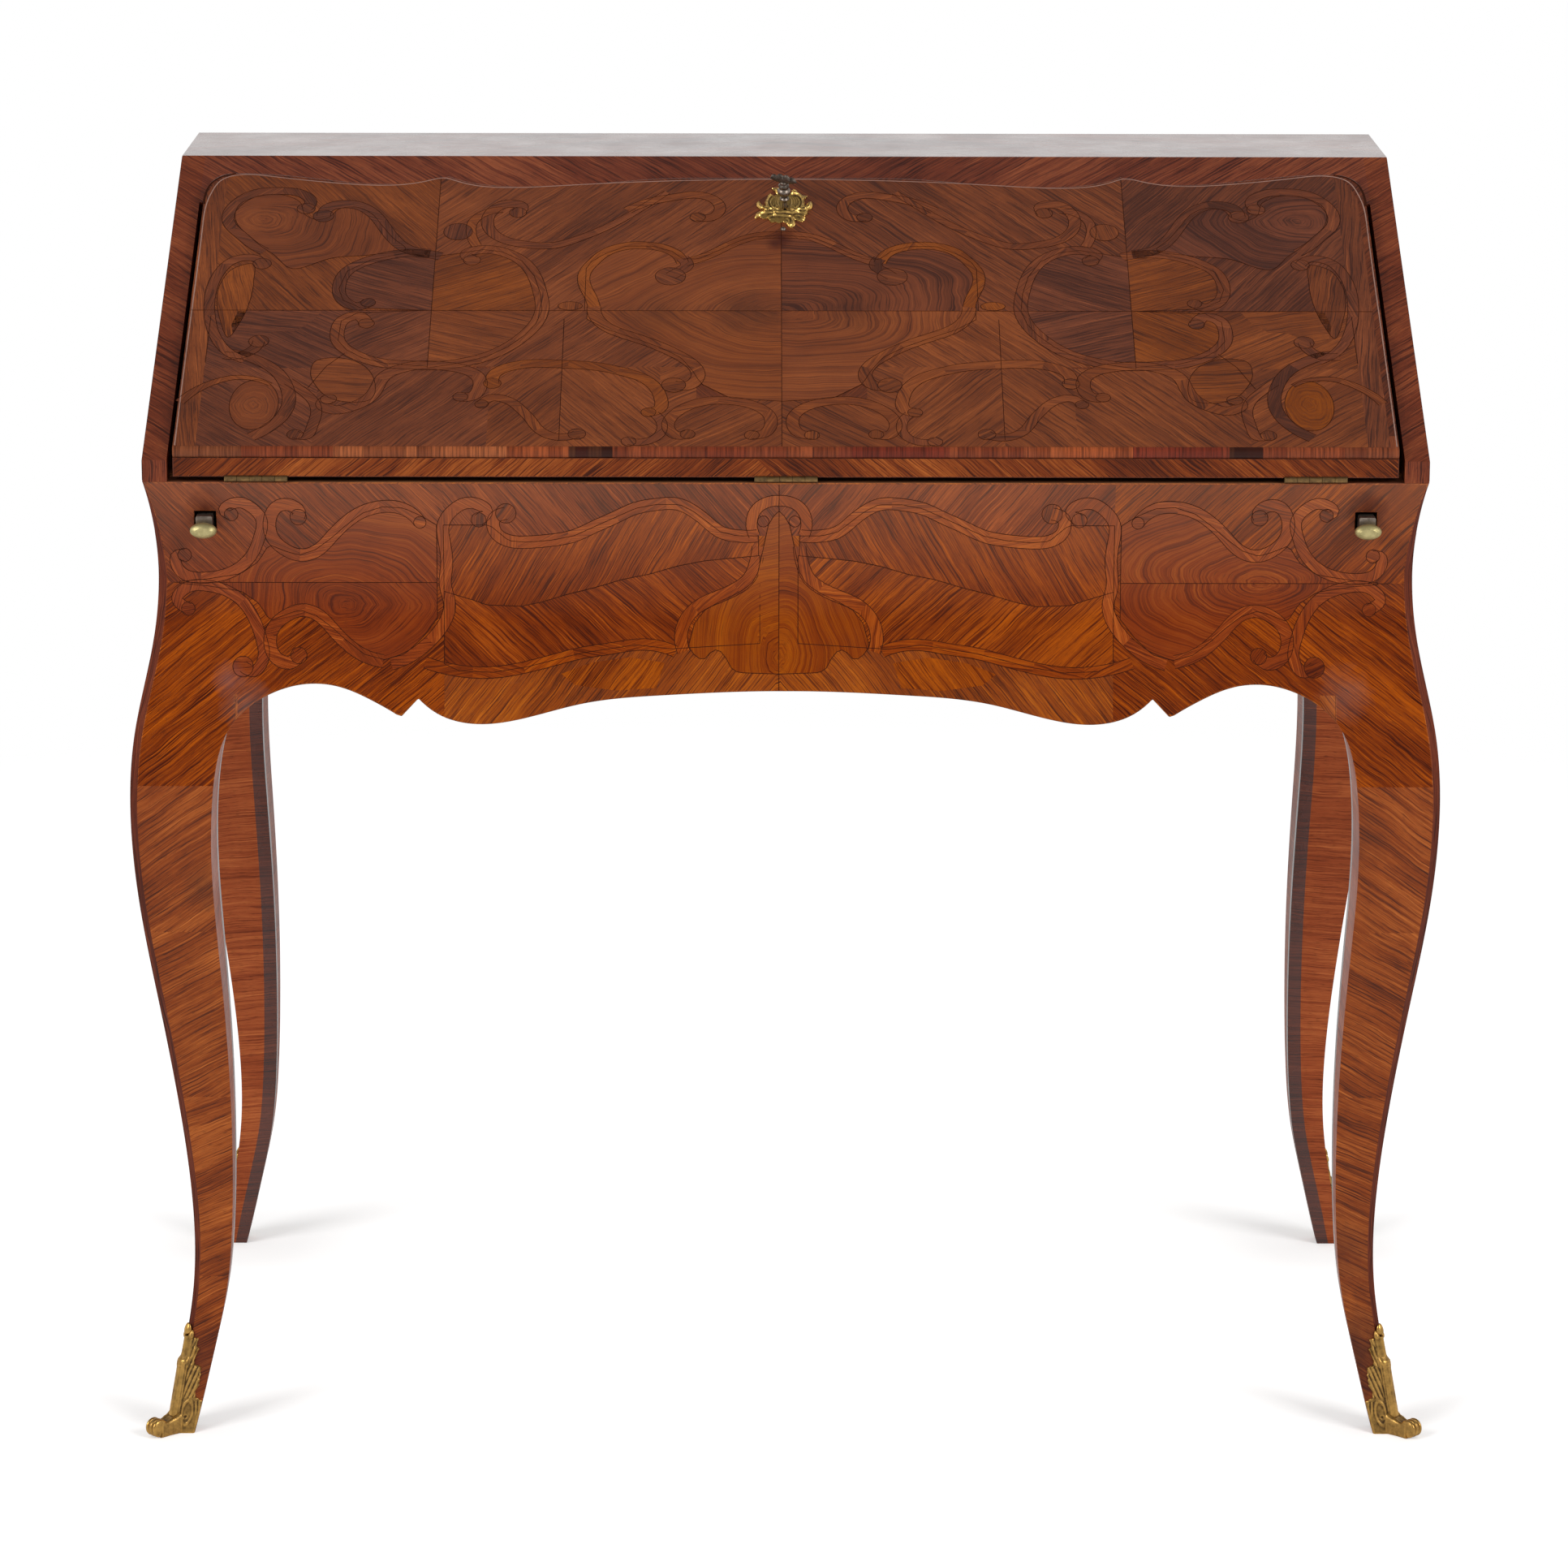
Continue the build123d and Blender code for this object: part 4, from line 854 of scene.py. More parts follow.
@dataclass(frozen=True)
class Veneer:
    """Polished wood: streaked figure, pores, patina and a worn polish, with an optional painted
    pale sheen towards the top.
    """

    name: str
    dark: Colour
    middle: Colour
    light: Colour
    lie: Lie = Lie.LAID
    turn: Tuple[float, float, float] = (0.0, 0.0, 0.0)
    matched: bool = False
    contrast: float = 1.0
    roughness: float = 0.34
    coat: float = 0.1
    gloss: float = 0.26
    lines: float = 1.0
    waviness: float = 0.006
    painted_top_sheen: Tuple[float, float, float] = (0.0, 0.0, 0.0)
    stains_and_sheen: Tuple[StainAndSheen, ...] = ()

    def material(self) -> bpy.types.Material:
        """Builds the nodes.

        The figure adds noises stretched along the grain: broad bands, streaks and
        fine lines. Dark veins and dashes, light lines and pores are cut from noises
        by thresholds. Each noise is added by its weight less its usual height, and
        the sum moves along a ramp of the wood's three shades.

        Returns:
            The material.
        """
        r = Recipe(self.name)
        place = r.node("TexCoord").outputs["Object"]
        if self.lie is Lie.LAID:
            grain = r.node("UVMap", uv_map="grain").outputs[0]
            look = r.node(
                "SeparateXYZ", r.node("Attribute", attribute_name="look").outputs["Vector"]
            )
            tone, warmth, seed = look.outputs
            run = r.node("SeparateXYZ", grain)
            grain = r.node("CombineXYZ", run.outputs[0], run.outputs[1], seed).outputs[0]
        else:
            start = place
            if self.matched:
                parts = r.node("SeparateXYZ", place)
                across = r.math("ABSOLUTE", parts.outputs[0])
                start = r.node("CombineXYZ", across, *parts.outputs[1:]).outputs[0]
            turned_place = r.node("Mapping", start, None, tuple(math.radians(a) for a in self.turn))
            grain = turned_place.outputs[0]
            tone = warmth = None
        bend = r.node(
            "VectorMath", r.noise(r.scaled(place, (23, 23, 23)), 1.0, 2.0, 0.5), None,
            operation="MULTIPLY",
        )
        bend.inputs[1].default_value = (0.0, self.waviness, 0.0)
        grain = r.node("VectorMath", grain, bend.outputs[0], operation="ADD").outputs[0]
        broad = r.noise(r.scaled(grain, (4, 32, 7)), 1.0, 2.0, 0.5)
        streak = r.noise(r.scaled(grain, (8, 240, 11)), 1.0, 3.0, 0.62)
        fine = r.noise(r.scaled(grain, (20, 1250, 40)), 1.0, 3.0, 0.7)
        vein = r.range(r.noise(r.scaled(grain, (6, 520, 17)), 1.0, 2.0, 0.6), 0.56, 0.66)
        dash = r.range(r.noise(r.scaled(grain, (26, 1080, 29)), 1.0, 1.0, 0.5), 0.56, 0.64)
        glint = r.range(r.noise(r.scaled(grain, (12, 700, 23)), 1.0, 2.0, 0.6), 0.57, 0.68)
        pore = r.range(r.noise(r.scaled(grain, (150, 2400, 210)), 1.0, 1.0, 0.4), 0.6, 0.7)
        parts = (
            (broad, 0.8 * self.contrast, 0.5), (streak, 0.6 * self.contrast, 0.5),
            (fine, 0.85 * self.lines, 0.5), (vein, -0.26 * self.contrast, 0.18),
            (dash, -0.38 * self.lines, 0.14), (glint, 0.28 * self.lines, 0.16),
            (r.noise(place, 7.0, 4.0, 0.55), 0.5, 0.46),
            (r.noise(place, 48.0, 3.0, 0.6), 0.22, 0.5),
        )
        value = 0.5 - sum(weight * mean for _, weight, mean in parts)
        for noise, weight, _ in parts:
            value = r.math("MULTIPLY_ADD", noise, weight, value)
        if tone is not None:
            value = r.math("MULTIPLY_ADD", tone, 0.85, value)
        wood = r.ramp(value, ((0.05, self.dark), (0.5, self.middle), (0.95, self.light)))
        if warmth is not None:
            hue = r.node("HueSaturation", 0.5, 1.0, 1.0, 1.0, wood)
            r.tree.links.new(r.math("MULTIPLY_ADD", warmth, 0.005, 0.5), hue.inputs[0])
            r.tree.links.new(r.math("MULTIPLY_ADD", warmth, 0.12, 1.0), hue.inputs[1])
            wood = hue.outputs[0]
        wood = r.mix(
            r.math("MULTIPLY", pore, 0.45), wood, linear(tuple(c * 0.45 for c in self.dark))
        )
        # Painted sheen: above a height the wood is mixed towards a pale grey-pink, standing in for
        # the pale reflection along the top of the front.
        low, high, share = self.painted_top_sheen
        if share:
            height = r.node("SeparateXYZ", place).outputs[2]
            wood = r.mix(r.range(height, low, high, 0.0, share), wood, linear((176, 140, 116)))
        # Stains and patches of painted sheen, laid over the wood.
        for mark in self.stains_and_sheen:
            wood = mark.over(r, wood, place)
        worn = r.noise(place, 21.0, 4.0, 0.6)
        rough = r.range(worn, 0.3, 0.75, self.roughness - 0.05, self.roughness + 0.1)
        r.into(Base_Color=wood, Roughness=rough)
        r.into(Specular_IOR_Level=self.gloss, Coat_Weight=self.coat, Coat_Roughness=0.22)
        height = r.math("MULTIPLY_ADD", pore, -0.5, r.math("MULTIPLY", fine, 0.35))
        billow = r.bump(r.noise(place, 34.0, 2.0, 0.5), 0.0006, 0.5)
        r.into(Normal=r.bump(height, 0.00006, 0.8, billow))
        return r.material


@dataclass(frozen=True)
class Nose:
    """Cross-grain strip cut from many pieces of different shade along its length."""

    name: str = "nose_crossbanding"

    def material(self) -> bpy.types.Material:
        """Stepped ramp of shades along x, with fine upright grain.

        Returns:
            The material.
        """
        r = Recipe(self.name)
        place = r.node("TexCoord").outputs["Object"]
        along = r.node("SeparateXYZ", place).outputs[0]
        share = r.math("MULTIPLY_ADD", along, 1 / 0.9, 0.5)
        base, red, pale, black = (134, 62, 33), (116, 44, 27), (158, 86, 48), (42, 17, 10)
        steps = (
            (0.0, (130, 72, 42)), (0.055, base), (0.13, pale), (0.27, (148, 70, 34)),
            (0.321, black), (0.356, base), (0.43, (122, 52, 28)), (0.5, (142, 68, 36)),
            (0.54, red), (0.63, base), (0.7, (156, 76, 38)), (0.78, red), (0.857, black),
            (0.886, base), (0.95, (130, 66, 38)),
        )
        wood = r.ramp(share, steps, steps=True)
        cells = r.math("MULTIPLY", along, 104.0)
        piece = r.math("FLOOR", cells)
        shade = r.node("TexWhiteNoise", None, piece, noise_dimensions="1D").outputs["Value"]
        joint = r.range(r.math("FRACT", cells), 0.0, 0.09, 0.7, 0.0)
        wood = r.mix(r.range(shade, 0.35, 1.0, 0.0, 0.55), wood, linear((74, 26, 16)))
        wood = r.mix(r.range(shade, 0.0, 0.3, 0.14, 0.0), wood, linear((160, 94, 56)))
        stripes = r.noise(r.scaled(place, (520, 20, 20)), 1.0, 3.0, 0.65)
        dark = r.math("MAXIMUM", r.range(stripes, 0.42, 0.66, 0.0, 0.8), joint, clamp=True)
        wood = r.mix(dark, wood, linear((48, 20, 12)))
        r.into(
            Base_Color=wood, Roughness=0.34, Specular_IOR_Level=0.16, Coat_Weight=0.06,
            Coat_Roughness=0.2,
        )
        r.into(Normal=r.bump(stripes, 0.00008, 0.6))
        return r.material


@dataclass(frozen=True)
class Metal:
    """Cast or wrought metal, worn on its heights and dark in its hollows."""

    name: str
    bright: Colour
    dull: Colour
    roughness: float = 0.34
    grain: float = 180.0
    pits: float = 0.00012
    tarnish: float = 0.5
    hollows: float = 0.8

    def material(self) -> bpy.types.Material:
        """Mixes the bright metal and its tarnish by noise and by pointiness.

        Returns:
            The material.
        """
        r = Recipe(self.name)
        place = r.node("TexCoord").outputs["Object"]
        spots = r.range(r.noise(place, self.grain, 4.0, 0.65), 0.38, 0.66)
        hollow = r.range(r.node("NewGeometry").outputs["Pointiness"], 0.44, 0.52, 1.0, 0.0)
        dirt = r.math(
            "MULTIPLY_ADD", spots, self.tarnish, r.math("MULTIPLY", hollow, self.hollows),
            clamp=True,
        )
        r.into(Base_Color=r.mix(dirt, linear(self.bright), linear(self.dull)))
        r.into(Metallic=r.range(dirt, 0.0, 1.0, 1.0, 0.72))
        r.into(Roughness=r.range(dirt, 0.0, 1.0, self.roughness, self.roughness + 0.28))
        r.into(Normal=r.bump(r.noise(place, self.grain * 3.4, 3.0, 0.6), self.pits, 0.5))
        return r.material


@dataclass(frozen=True)
class Hide:
    """Old writing leather with a gilt tooled line, creased and rubbed."""

    name: str = "tooled_leather"

    def material(self) -> bpy.types.Material:
        """Pebble grain from cells, colour from rubbed patches.

        Returns:
            The material.
        """
        r = Recipe(self.name)
        place = r.node("TexCoord").outputs["Object"]
        cells = r.node("TexVoronoi", place, feature="DISTANCE_TO_EDGE")
        cells.inputs["Scale"].default_value = 900.0
        rub = r.range(r.noise(place, 9.0, 4.0, 0.6), 0.35, 0.7)
        colour = r.mix(rub, linear((74, 34, 22)), linear((116, 62, 40)))
        colour = r.mix(
            r.range(cells.outputs[0], 0.0, 0.12, 0.45, 0.0), colour, linear((40, 18, 12))
        )
        gilt = self.tooling(r, place)
        colour = r.mix(gilt, colour, linear((206, 160, 84)))
        r.into(Base_Color=colour, Metallic=gilt, Roughness=r.range(rub, 0.0, 1.0, 0.42, 0.6))
        r.into(Normal=r.bump(r.range(cells.outputs[0], 0.0, 0.25), 0.0002, 0.5))
        return r.material

    def tooling(self, r: Recipe, place: Socket) -> Socket:
        """Share of gilding: a broad and a thin line inside the edges, worn in places.

        Args:
            r: material that the nodes join.
            place: object coordinates.

        Returns:
            The share.
        """
        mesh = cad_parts["fall_leather"].data
        points = np.empty(len(mesh.vertices) * 3)
        mesh.vertices.foreach_get("co", points)
        points = points.reshape(-1, 3)
        up_slope = (0.0, 0.8954, 0.4452)
        along = points @ up_slope
        run = r.node("VectorMath", place, up_slope, operation="DOT_PRODUCT").outputs["Value"]
        aside = r.math("ABSOLUTE", r.node("SeparateXYZ", place).outputs[0])
        gap = r.math("SUBTRACT", float(np.abs(points[:, 0]).max()), aside)
        gap = r.math("MINIMUM", gap, r.math("SUBTRACT", run, float(along.min())))
        gap = r.math("MINIMUM", gap, r.math("SUBTRACT", float(along.max()), run))
        lines = [
            r.range(
                r.math("ABSOLUTE", r.math("SUBTRACT", gap, inset)), half, half + 0.0002, 1.0, 0.0
            )
            for inset, half in ((0.012, 0.0010), (0.0152, 0.0004))
        ]
        worn = r.range(r.noise(place, 120.0, 3.0, 0.6), 0.36, 0.52, 0.25, 0.9)
        return r.math("MULTIPLY", r.math("MAXIMUM", *lines), worn)


DARK_RED = (58, 16, 8)
# Pale grey for a patch of painted sheen on a knee.
PAINTED_SHEEN_GREY = (150, 122, 108)
LOPER_MARKS = tuple(StainAndSheen((side * 0.425, -0.25, 0.711), 0.017, DARK_RED, 0.75) for side in (-1, 1))
# Painted sheen: pale grey patches on the front near the apron's lower corners, where the curved
# surface catches light.
FRONT_PAINTED_SHEEN = (
    StainAndSheen((-0.396, -0.25, 0.566), 0.022, (128, 104, 98), 0.3),
    StainAndSheen((-0.41, -0.25, 0.585), 0.014, (104, 84, 88), 0.34),
    StainAndSheen((0.412, -0.25, 0.575), 0.022, (128, 104, 98), 0.24),
)
# Dark stains on the knees and by the feet, and one pale grey patch of painted sheen on the
# front-left knee.
LEG_STAINS_AND_SHEEN = (
    StainAndSheen((-0.43, -0.25, 0.43), 0.022, (58, 36, 20), 0.5),
    StainAndSheen((-0.415, -0.25, 0.485), 0.011, PAINTED_SHEEN_GREY, 0.3),
    StainAndSheen((0.43, -0.25, 0.47), 0.024, (62, 34, 20), 0.4),
    StainAndSheen((-0.443, -0.225, 0.05), 0.036, (66, 28, 22), 0.7),
    StainAndSheen((0.43, -0.235, 0.055), 0.06, (52, 22, 18), 0.8),
    StainAndSheen((0.415, -0.225, 0.135), 0.05, (66, 30, 20), 0.5),
)
FALL_MARKS = (
    StainAndSheen((-0.003, -0.0095, 0.879), 0.013, DARK_RED, 0.85),
    StainAndSheen((-0.007, -0.0175, 0.875), 0.009, DARK_RED, 0.7),
    StainAndSheen((-0.03, -0.096, 0.835), 0.034, (54, 28, 18), 0.5),
    StainAndSheen((-0.095, -0.099, 0.8335), 0.03, (54, 28, 18), 0.36),
    StainAndSheen((0.05, -0.094, 0.836), 0.03, (50, 24, 16), 0.4),
)
TULIPWOOD = Veneer(
    "tulipwood_marquetry", (66, 31, 19), (108, 53, 26), (144, 76, 37),
    stains_and_sheen=FALL_MARKS,
)
OYSTER = Veneer(
    "tulipwood_oysters", (64, 30, 19), (112, 55, 28), (146, 78, 38), contrast=0.8, waviness=0.012,
    lines=0.7, stains_and_sheen=FALL_MARKS,
)
OYSTER_FRONT = Veneer(
    "tulipwood_oysters_front", (70, 22, 8), (118, 46, 13), (152, 76, 27), contrast=0.85,
    waviness=0.012, gloss=0.1, coat=0.03, lines=0.7, painted_top_sheen=(0.63, 0.735, 0.15),
)
# Dark string, also laid as a painted shadow in the gap outside the corners of the fall's lip.
STRINGING_AND_PAINTED_SHADOW = Veneer(
    "dark_stringing_and_painted_shadow", (30, 13, 8), (52, 23, 12), (76, 37, 19), contrast=0.5, gloss=0.04, coat=0.0
)
KINGWOOD = Veneer(
    "kingwood_edging", (44, 18, 11), (76, 32, 19), (106, 50, 30), contrast=0.8, roughness=0.26,
    coat=0.6, gloss=0.4,
)
STRAP_WOOD = Veneer(
    "tulipwood_straps", (66, 31, 18), (109, 53, 27), (146, 78, 39), contrast=0.8, lines=0.85,
    stains_and_sheen=FALL_MARKS,
)
STRAP_FRONT = Veneer(
    "tulipwood_straps_front", (82, 29, 10), (130, 54, 17), (172, 88, 35), contrast=0.8, gloss=0.1,
    coat=0.03, lines=0.9, painted_top_sheen=(0.63, 0.735, 0.15), stains_and_sheen=FRONT_PAINTED_SHEEN,
)
SIDE_WOOD = Veneer(
    "tulipwood_sides", (60, 22, 10), (108, 43, 16), (152, 74, 30), gloss=0.16, coat=0.05
)
SIDE_STRAP = Veneer(
    "tulipwood_side_straps", (78, 30, 13), (126, 55, 22), (166, 88, 40), contrast=0.8, gloss=0.12,
    coat=0.03, lines=0.9,
)
SIDE_OYSTER = Veneer(
    "tulipwood_side_oysters", (70, 25, 11), (118, 50, 19), (154, 80, 34), contrast=0.9, gloss=0.12,
    coat=0.03, waviness=0.012, lines=0.8,
)
LEG_WOOD = Veneer(
    "tulipwood_legs", (70, 30, 15), (127, 58, 26), (174, 97, 50), contrast=1.1, gloss=0.18,
    coat=0.06, painted_top_sheen=(0.68, 0.735, 0.12), stains_and_sheen=FRONT_PAINTED_SHEEN + LEG_STAINS_AND_SHEEN,
)
INNER_WOOD = Veneer(
    "tulipwood_leg_inside", (98, 40, 18), (146, 67, 31), (184, 100, 50), contrast=0.8, gloss=0.1,
    coat=0.03, lines=0.8,
)
CANT_WOOD = Veneer(
    "kingwood_cant", (54, 21, 12), (92, 38, 22), (126, 60, 36), contrast=0.7, gloss=0.08, coat=0.0
)
EDGE_WOOD = Veneer(
    "tulipwood_front_edge", (58, 22, 11), (112, 50, 24), (158, 86, 44), contrast=1.3, gloss=0.14,
    coat=0.04, lines=1.2,
)
# Pale line on the fall's lip: a painted highlight along its arris.
LIP_PAINTED_HIGHLIGHT = Veneer(
    "lip_painted_highlight", (112, 78, 66), (146, 108, 94), (176, 140, 126), contrast=0.4, gloss=0.5,
    coat=0.5, lines=0.3,
)
CASE_WOOD = Veneer(
    "tulipwood_case", (58, 22, 12), (106, 46, 24), (146, 76, 40), Lie.BOARD, (0, 0, -40), True,
    gloss=0.2, coat=0.06,
)
TOP_WOOD = Veneer(
    "tulipwood_top", (58, 26, 17), (98, 46, 26), (134, 70, 40), Lie.BOARD, (0, 0, 24), True,
    roughness=0.26, coat=0.68,
)
FALL_WOOD = Veneer(
    "tulipwood_fall_ground", (52, 21, 11), (90, 40, 19), (124, 60, 28), Lie.BOARD, (0, 0, -52), True
)
RAIL_WOOD = Veneer(
    "tulipwood_slope_rail", (56, 21, 13), (102, 44, 25), (142, 74, 42), Lie.BOARD, (0, 0, -40), True
)
INSIDE_WOOD = Veneer(
    "tulipwood_inside", (96, 46, 22), (150, 86, 46), (188, 122, 70), Lie.BOARD, (45, 0, 0),
    roughness=0.45, coat=0.05,
)
INSIDE_UPRIGHT = Veneer(
    "tulipwood_inside_upright", (90, 42, 20), (142, 80, 42), (180, 114, 64), Lie.BOARD, (0, 90, 0),
    roughness=0.45, coat=0.05,
)
BACKING = Veneer(
    "apron_backing", (84, 48, 28), (122, 76, 46), (150, 100, 62), roughness=0.6, coat=0.0
)
TULIPWOOD_FRONT = Veneer(
    "tulipwood_front", (63, 19, 6), (112, 43, 10), (161, 77, 26), contrast=1.15, gloss=0.1,
    coat=0.03, lines=1.15, painted_top_sheen=(0.63, 0.735, 0.15), stains_and_sheen=LOPER_MARKS + FRONT_PAINTED_SHEEN,
)
OAK = Veneer(
    "oak_carcass", (92, 66, 40), (134, 102, 66), (164, 130, 88), Lie.BOARD, (45, 0, 0),
    contrast=0.7, roughness=0.6, coat=0.0,
)
GILT = Metal("gilt_bronze", (208, 162, 88), (76, 54, 27), 0.3, hollows=1.2)
BRASS = Metal("pale_brass", (206, 192, 138), (128, 116, 72), 0.42, tarnish=0.5)
HINGE_BRASS = Metal("hinge_brass", (142, 112, 72), (58, 42, 28), 0.36, tarnish=0.75)
IRON = Metal("blackened_iron", (66, 60, 56), (26, 22, 20), 0.42, tarnish=0.9)
BRIGHT_IRON = Metal("rubbed_iron", (150, 136, 124), (52, 44, 38), 0.27, tarnish=0.62)
CAST_GILT = Metal("gilt_relief", (240, 196, 112), (74, 50, 26), 0.26, tarnish=0.35, hollows=1.15)
SHADOW = Metal("keyhole_shadow", (8, 7, 6), (5, 4, 4), 0.8)
LEATHER = Hide()
NOSE = Nose()


# ---------------------------------------------------------------------- studio
@dataclass
class Studio:
    """Pale floor, soft light and the camera."""

    camera_place: Tuple[float, float, float] = (-18.3, -4570.153, 1527.309)
    pitch: float = 13.28
    yaw: float = -0.004
    roll: float = 0.002
    lens: float = 137.93
    floor_reach: float = 30000.0
    floor_grey: float = 0.84

    def camera(self) -> None:
        """Places the camera: turned up from looking down, then level, then round."""
        data = bpy.data.cameras.new("camera")
        data.lens = self.lens
        data.sensor_width = 36.0
        data.clip_end = 200.0
        camera = bpy.data.objects.new("camera", data)
        bpy.context.scene.collection.objects.link(camera)
        camera.matrix_world = (
            Matrix.Translation([c * MM for c in self.camera_place])
            @ Matrix.Rotation(self.yaw, 4, "Z")
            @ Matrix.Rotation(math.radians(90 - self.pitch), 4, "X")
            @ Matrix.Rotation(self.roll, 4, "Z")
        )
        bpy.context.scene.camera = camera

    def floor(self) -> None:
        """A wide disc under the desk, brighter where a lens sees it: a camera-only glow that paints
        light into the shade under the desk, weaker near each foot so that contact shadows stay, and
        plain white farther off.
        """
        turn = full_turn(64)
        ring = stacked(np.cos(turn), np.sin(turn), 0.0) * self.floor_reach * MM
        mesh = bpy.data.meshes.new("floor")
        mesh.from_pydata(ring.tolist(), [], [list(range(len(ring)))])
        r = Recipe("pale_floor")
        r.into(Base_Color=(*[self.floor_grey] * 3, 1.0), Roughness=0.9, Specular_IOR_Level=0.0)
        seen = r.node("LightPath").outputs["Is Camera Ray"]
        place = r.node("TexCoord").outputs["Object"]
        quarter = r.node("VectorMath", place, operation="ABSOLUTE").outputs[0]
        # Painted light: the camera-only glow grows with distance from the nearest foot, washing out
        # the desk's shadow on the floor.
        post = (HALF_W * MM - 0.02, DEPTH / 2 * MM - 0.02, 0.0)
        foot = r.node("VectorMath", quarter, post, operation="DISTANCE").outputs["Value"]
        lit = r.math("MULTIPLY", seen, r.range(foot, 0.05, 0.16, 0.33, 0.52))
        glow = r.node("Emission", WHITE, lit)
        near = r.node("AddShader", r.shader.outputs[0], glow.outputs[0])
        away = r.node("VectorMath", place, operation="LENGTH").outputs["Value"]
        far = r.math("MULTIPLY", r.range(away, 0.8, 2.2), seen)
        white = r.node("Emission", WHITE, 1.0)
        mixed = r.node("MixShader", far, near.outputs[0], white.outputs[0])
        r.tree.links.new(mixed.outputs[0], r.output.inputs["Surface"])
        mesh.materials.append(r.material)
        floor = bpy.data.objects.new("floor", mesh)
        bpy.context.scene.collection.objects.link(floor)

    def world(self) -> None:
        """Even pale light, white to the lens, dimmer overhead and in front for gloss."""
        world = bpy.data.worlds.new("studio")
        bpy.context.scene.world = world
        w = NodeTree(world)
        output, path = w.node("OutputWorld"), w.node("LightPath")
        split = w.node("SeparateXYZ", w.node("TexCoord").outputs["Generated"])
        low, back = (
            w.node("MapRange", split.outputs[axis], *span, interpolation_type="SMOOTHSTEP")
            for axis, span in ((2, (0.25, 0.75, 1.0, 0.16)), (1, (-0.6, 0.3, 0.35, 1.0)))
        )
        gloss = w.math("MULTIPLY", low.outputs[0], back.outputs[0])
        fill, shine, white = (
            w.node("Background", WHITE, strength)
            for strength in (0.5, gloss, None)
        )
        first = w.node(
            "MixShader", path.outputs["Is Glossy Ray"], fill.outputs[0], shine.outputs[0]
        )
        second = w.node(
            "MixShader", path.outputs["Is Camera Ray"], first.outputs[0], white.outputs[0]
        )
        w.tree.links.new(second.outputs[0], output.inputs[0])

    def lamp(
        self, name: str, place: Tuple[float, float, float], aim: Tuple[float, float, float],
        size: float, power: float,
    ) -> None:
        """Adds a square soft lamp that looks at a point, all in metres and watts."""
        data = bpy.data.lights.new(name, "AREA")
        data.size = size
        data.energy = power
        lamp = bpy.data.objects.new(name, data)
        bpy.context.scene.collection.objects.link(lamp)
        way = np.asarray(aim, float) - np.asarray(place, float)
        lamp.matrix_world = Matrix.Translation(place) @ looking(way)

    def build(self) -> None:
        """Sets the view transform, then adds camera, floor, world and lamps."""
        bpy.context.scene.view_settings.view_transform = "Standard"
        self.camera()
        self.floor()
        self.world()
        self.lamp("lamp_left", (-3.2, -3.0, 3.0), (0.0, 0.0, 0.5), 1.8, 105.0)
        self.lamp("lamp_right", (3.2, -3.0, 3.0), (0.0, 0.0, 0.5), 1.8, 105.0)


def looking(way: Array) -> Matrix:
    """Turn that brings a lamp's own downward axis to a direction."""
    return Vector(way).to_track_quat("-Z", "Y").to_matrix().to_4x4()


def dressed(node: str, material: bpy.types.Material) -> None:
    """Gives a node from the frame its finish."""
    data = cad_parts[node].data
    data.materials.clear()
    data.materials.append(material)


def settle(piece: bpy.types.Object, body: str, slot: str, *nodes: str) -> None:
    """Makes a piece ride on a body and stand for nodes, if any, which it hides."""
    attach(piece, body)
    if nodes:
        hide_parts(*nodes)
    log.info("%s rides on %s", piece.name, body)


# ------------------------------------------------------------------------ legs
@dataclass
class Corner:
    """Corner of the case, from which a leg and its shoe are measured."""

    side: int
    end: int

    @property
    def label(self) -> str:
        """The corner in words, as nodes' names end."""
        return f"{'front' if self.end < 0 else 'back'}_{'right' if self.side > 0 else 'left'}"

    def point(self, across: Array, along: Array, z: Array) -> Array:
        """Point at distances in from the case's side and from its front or back."""
        return stacked(self.side * (HALF_W - across), self.end * (DEPTH / 2 - along), z)


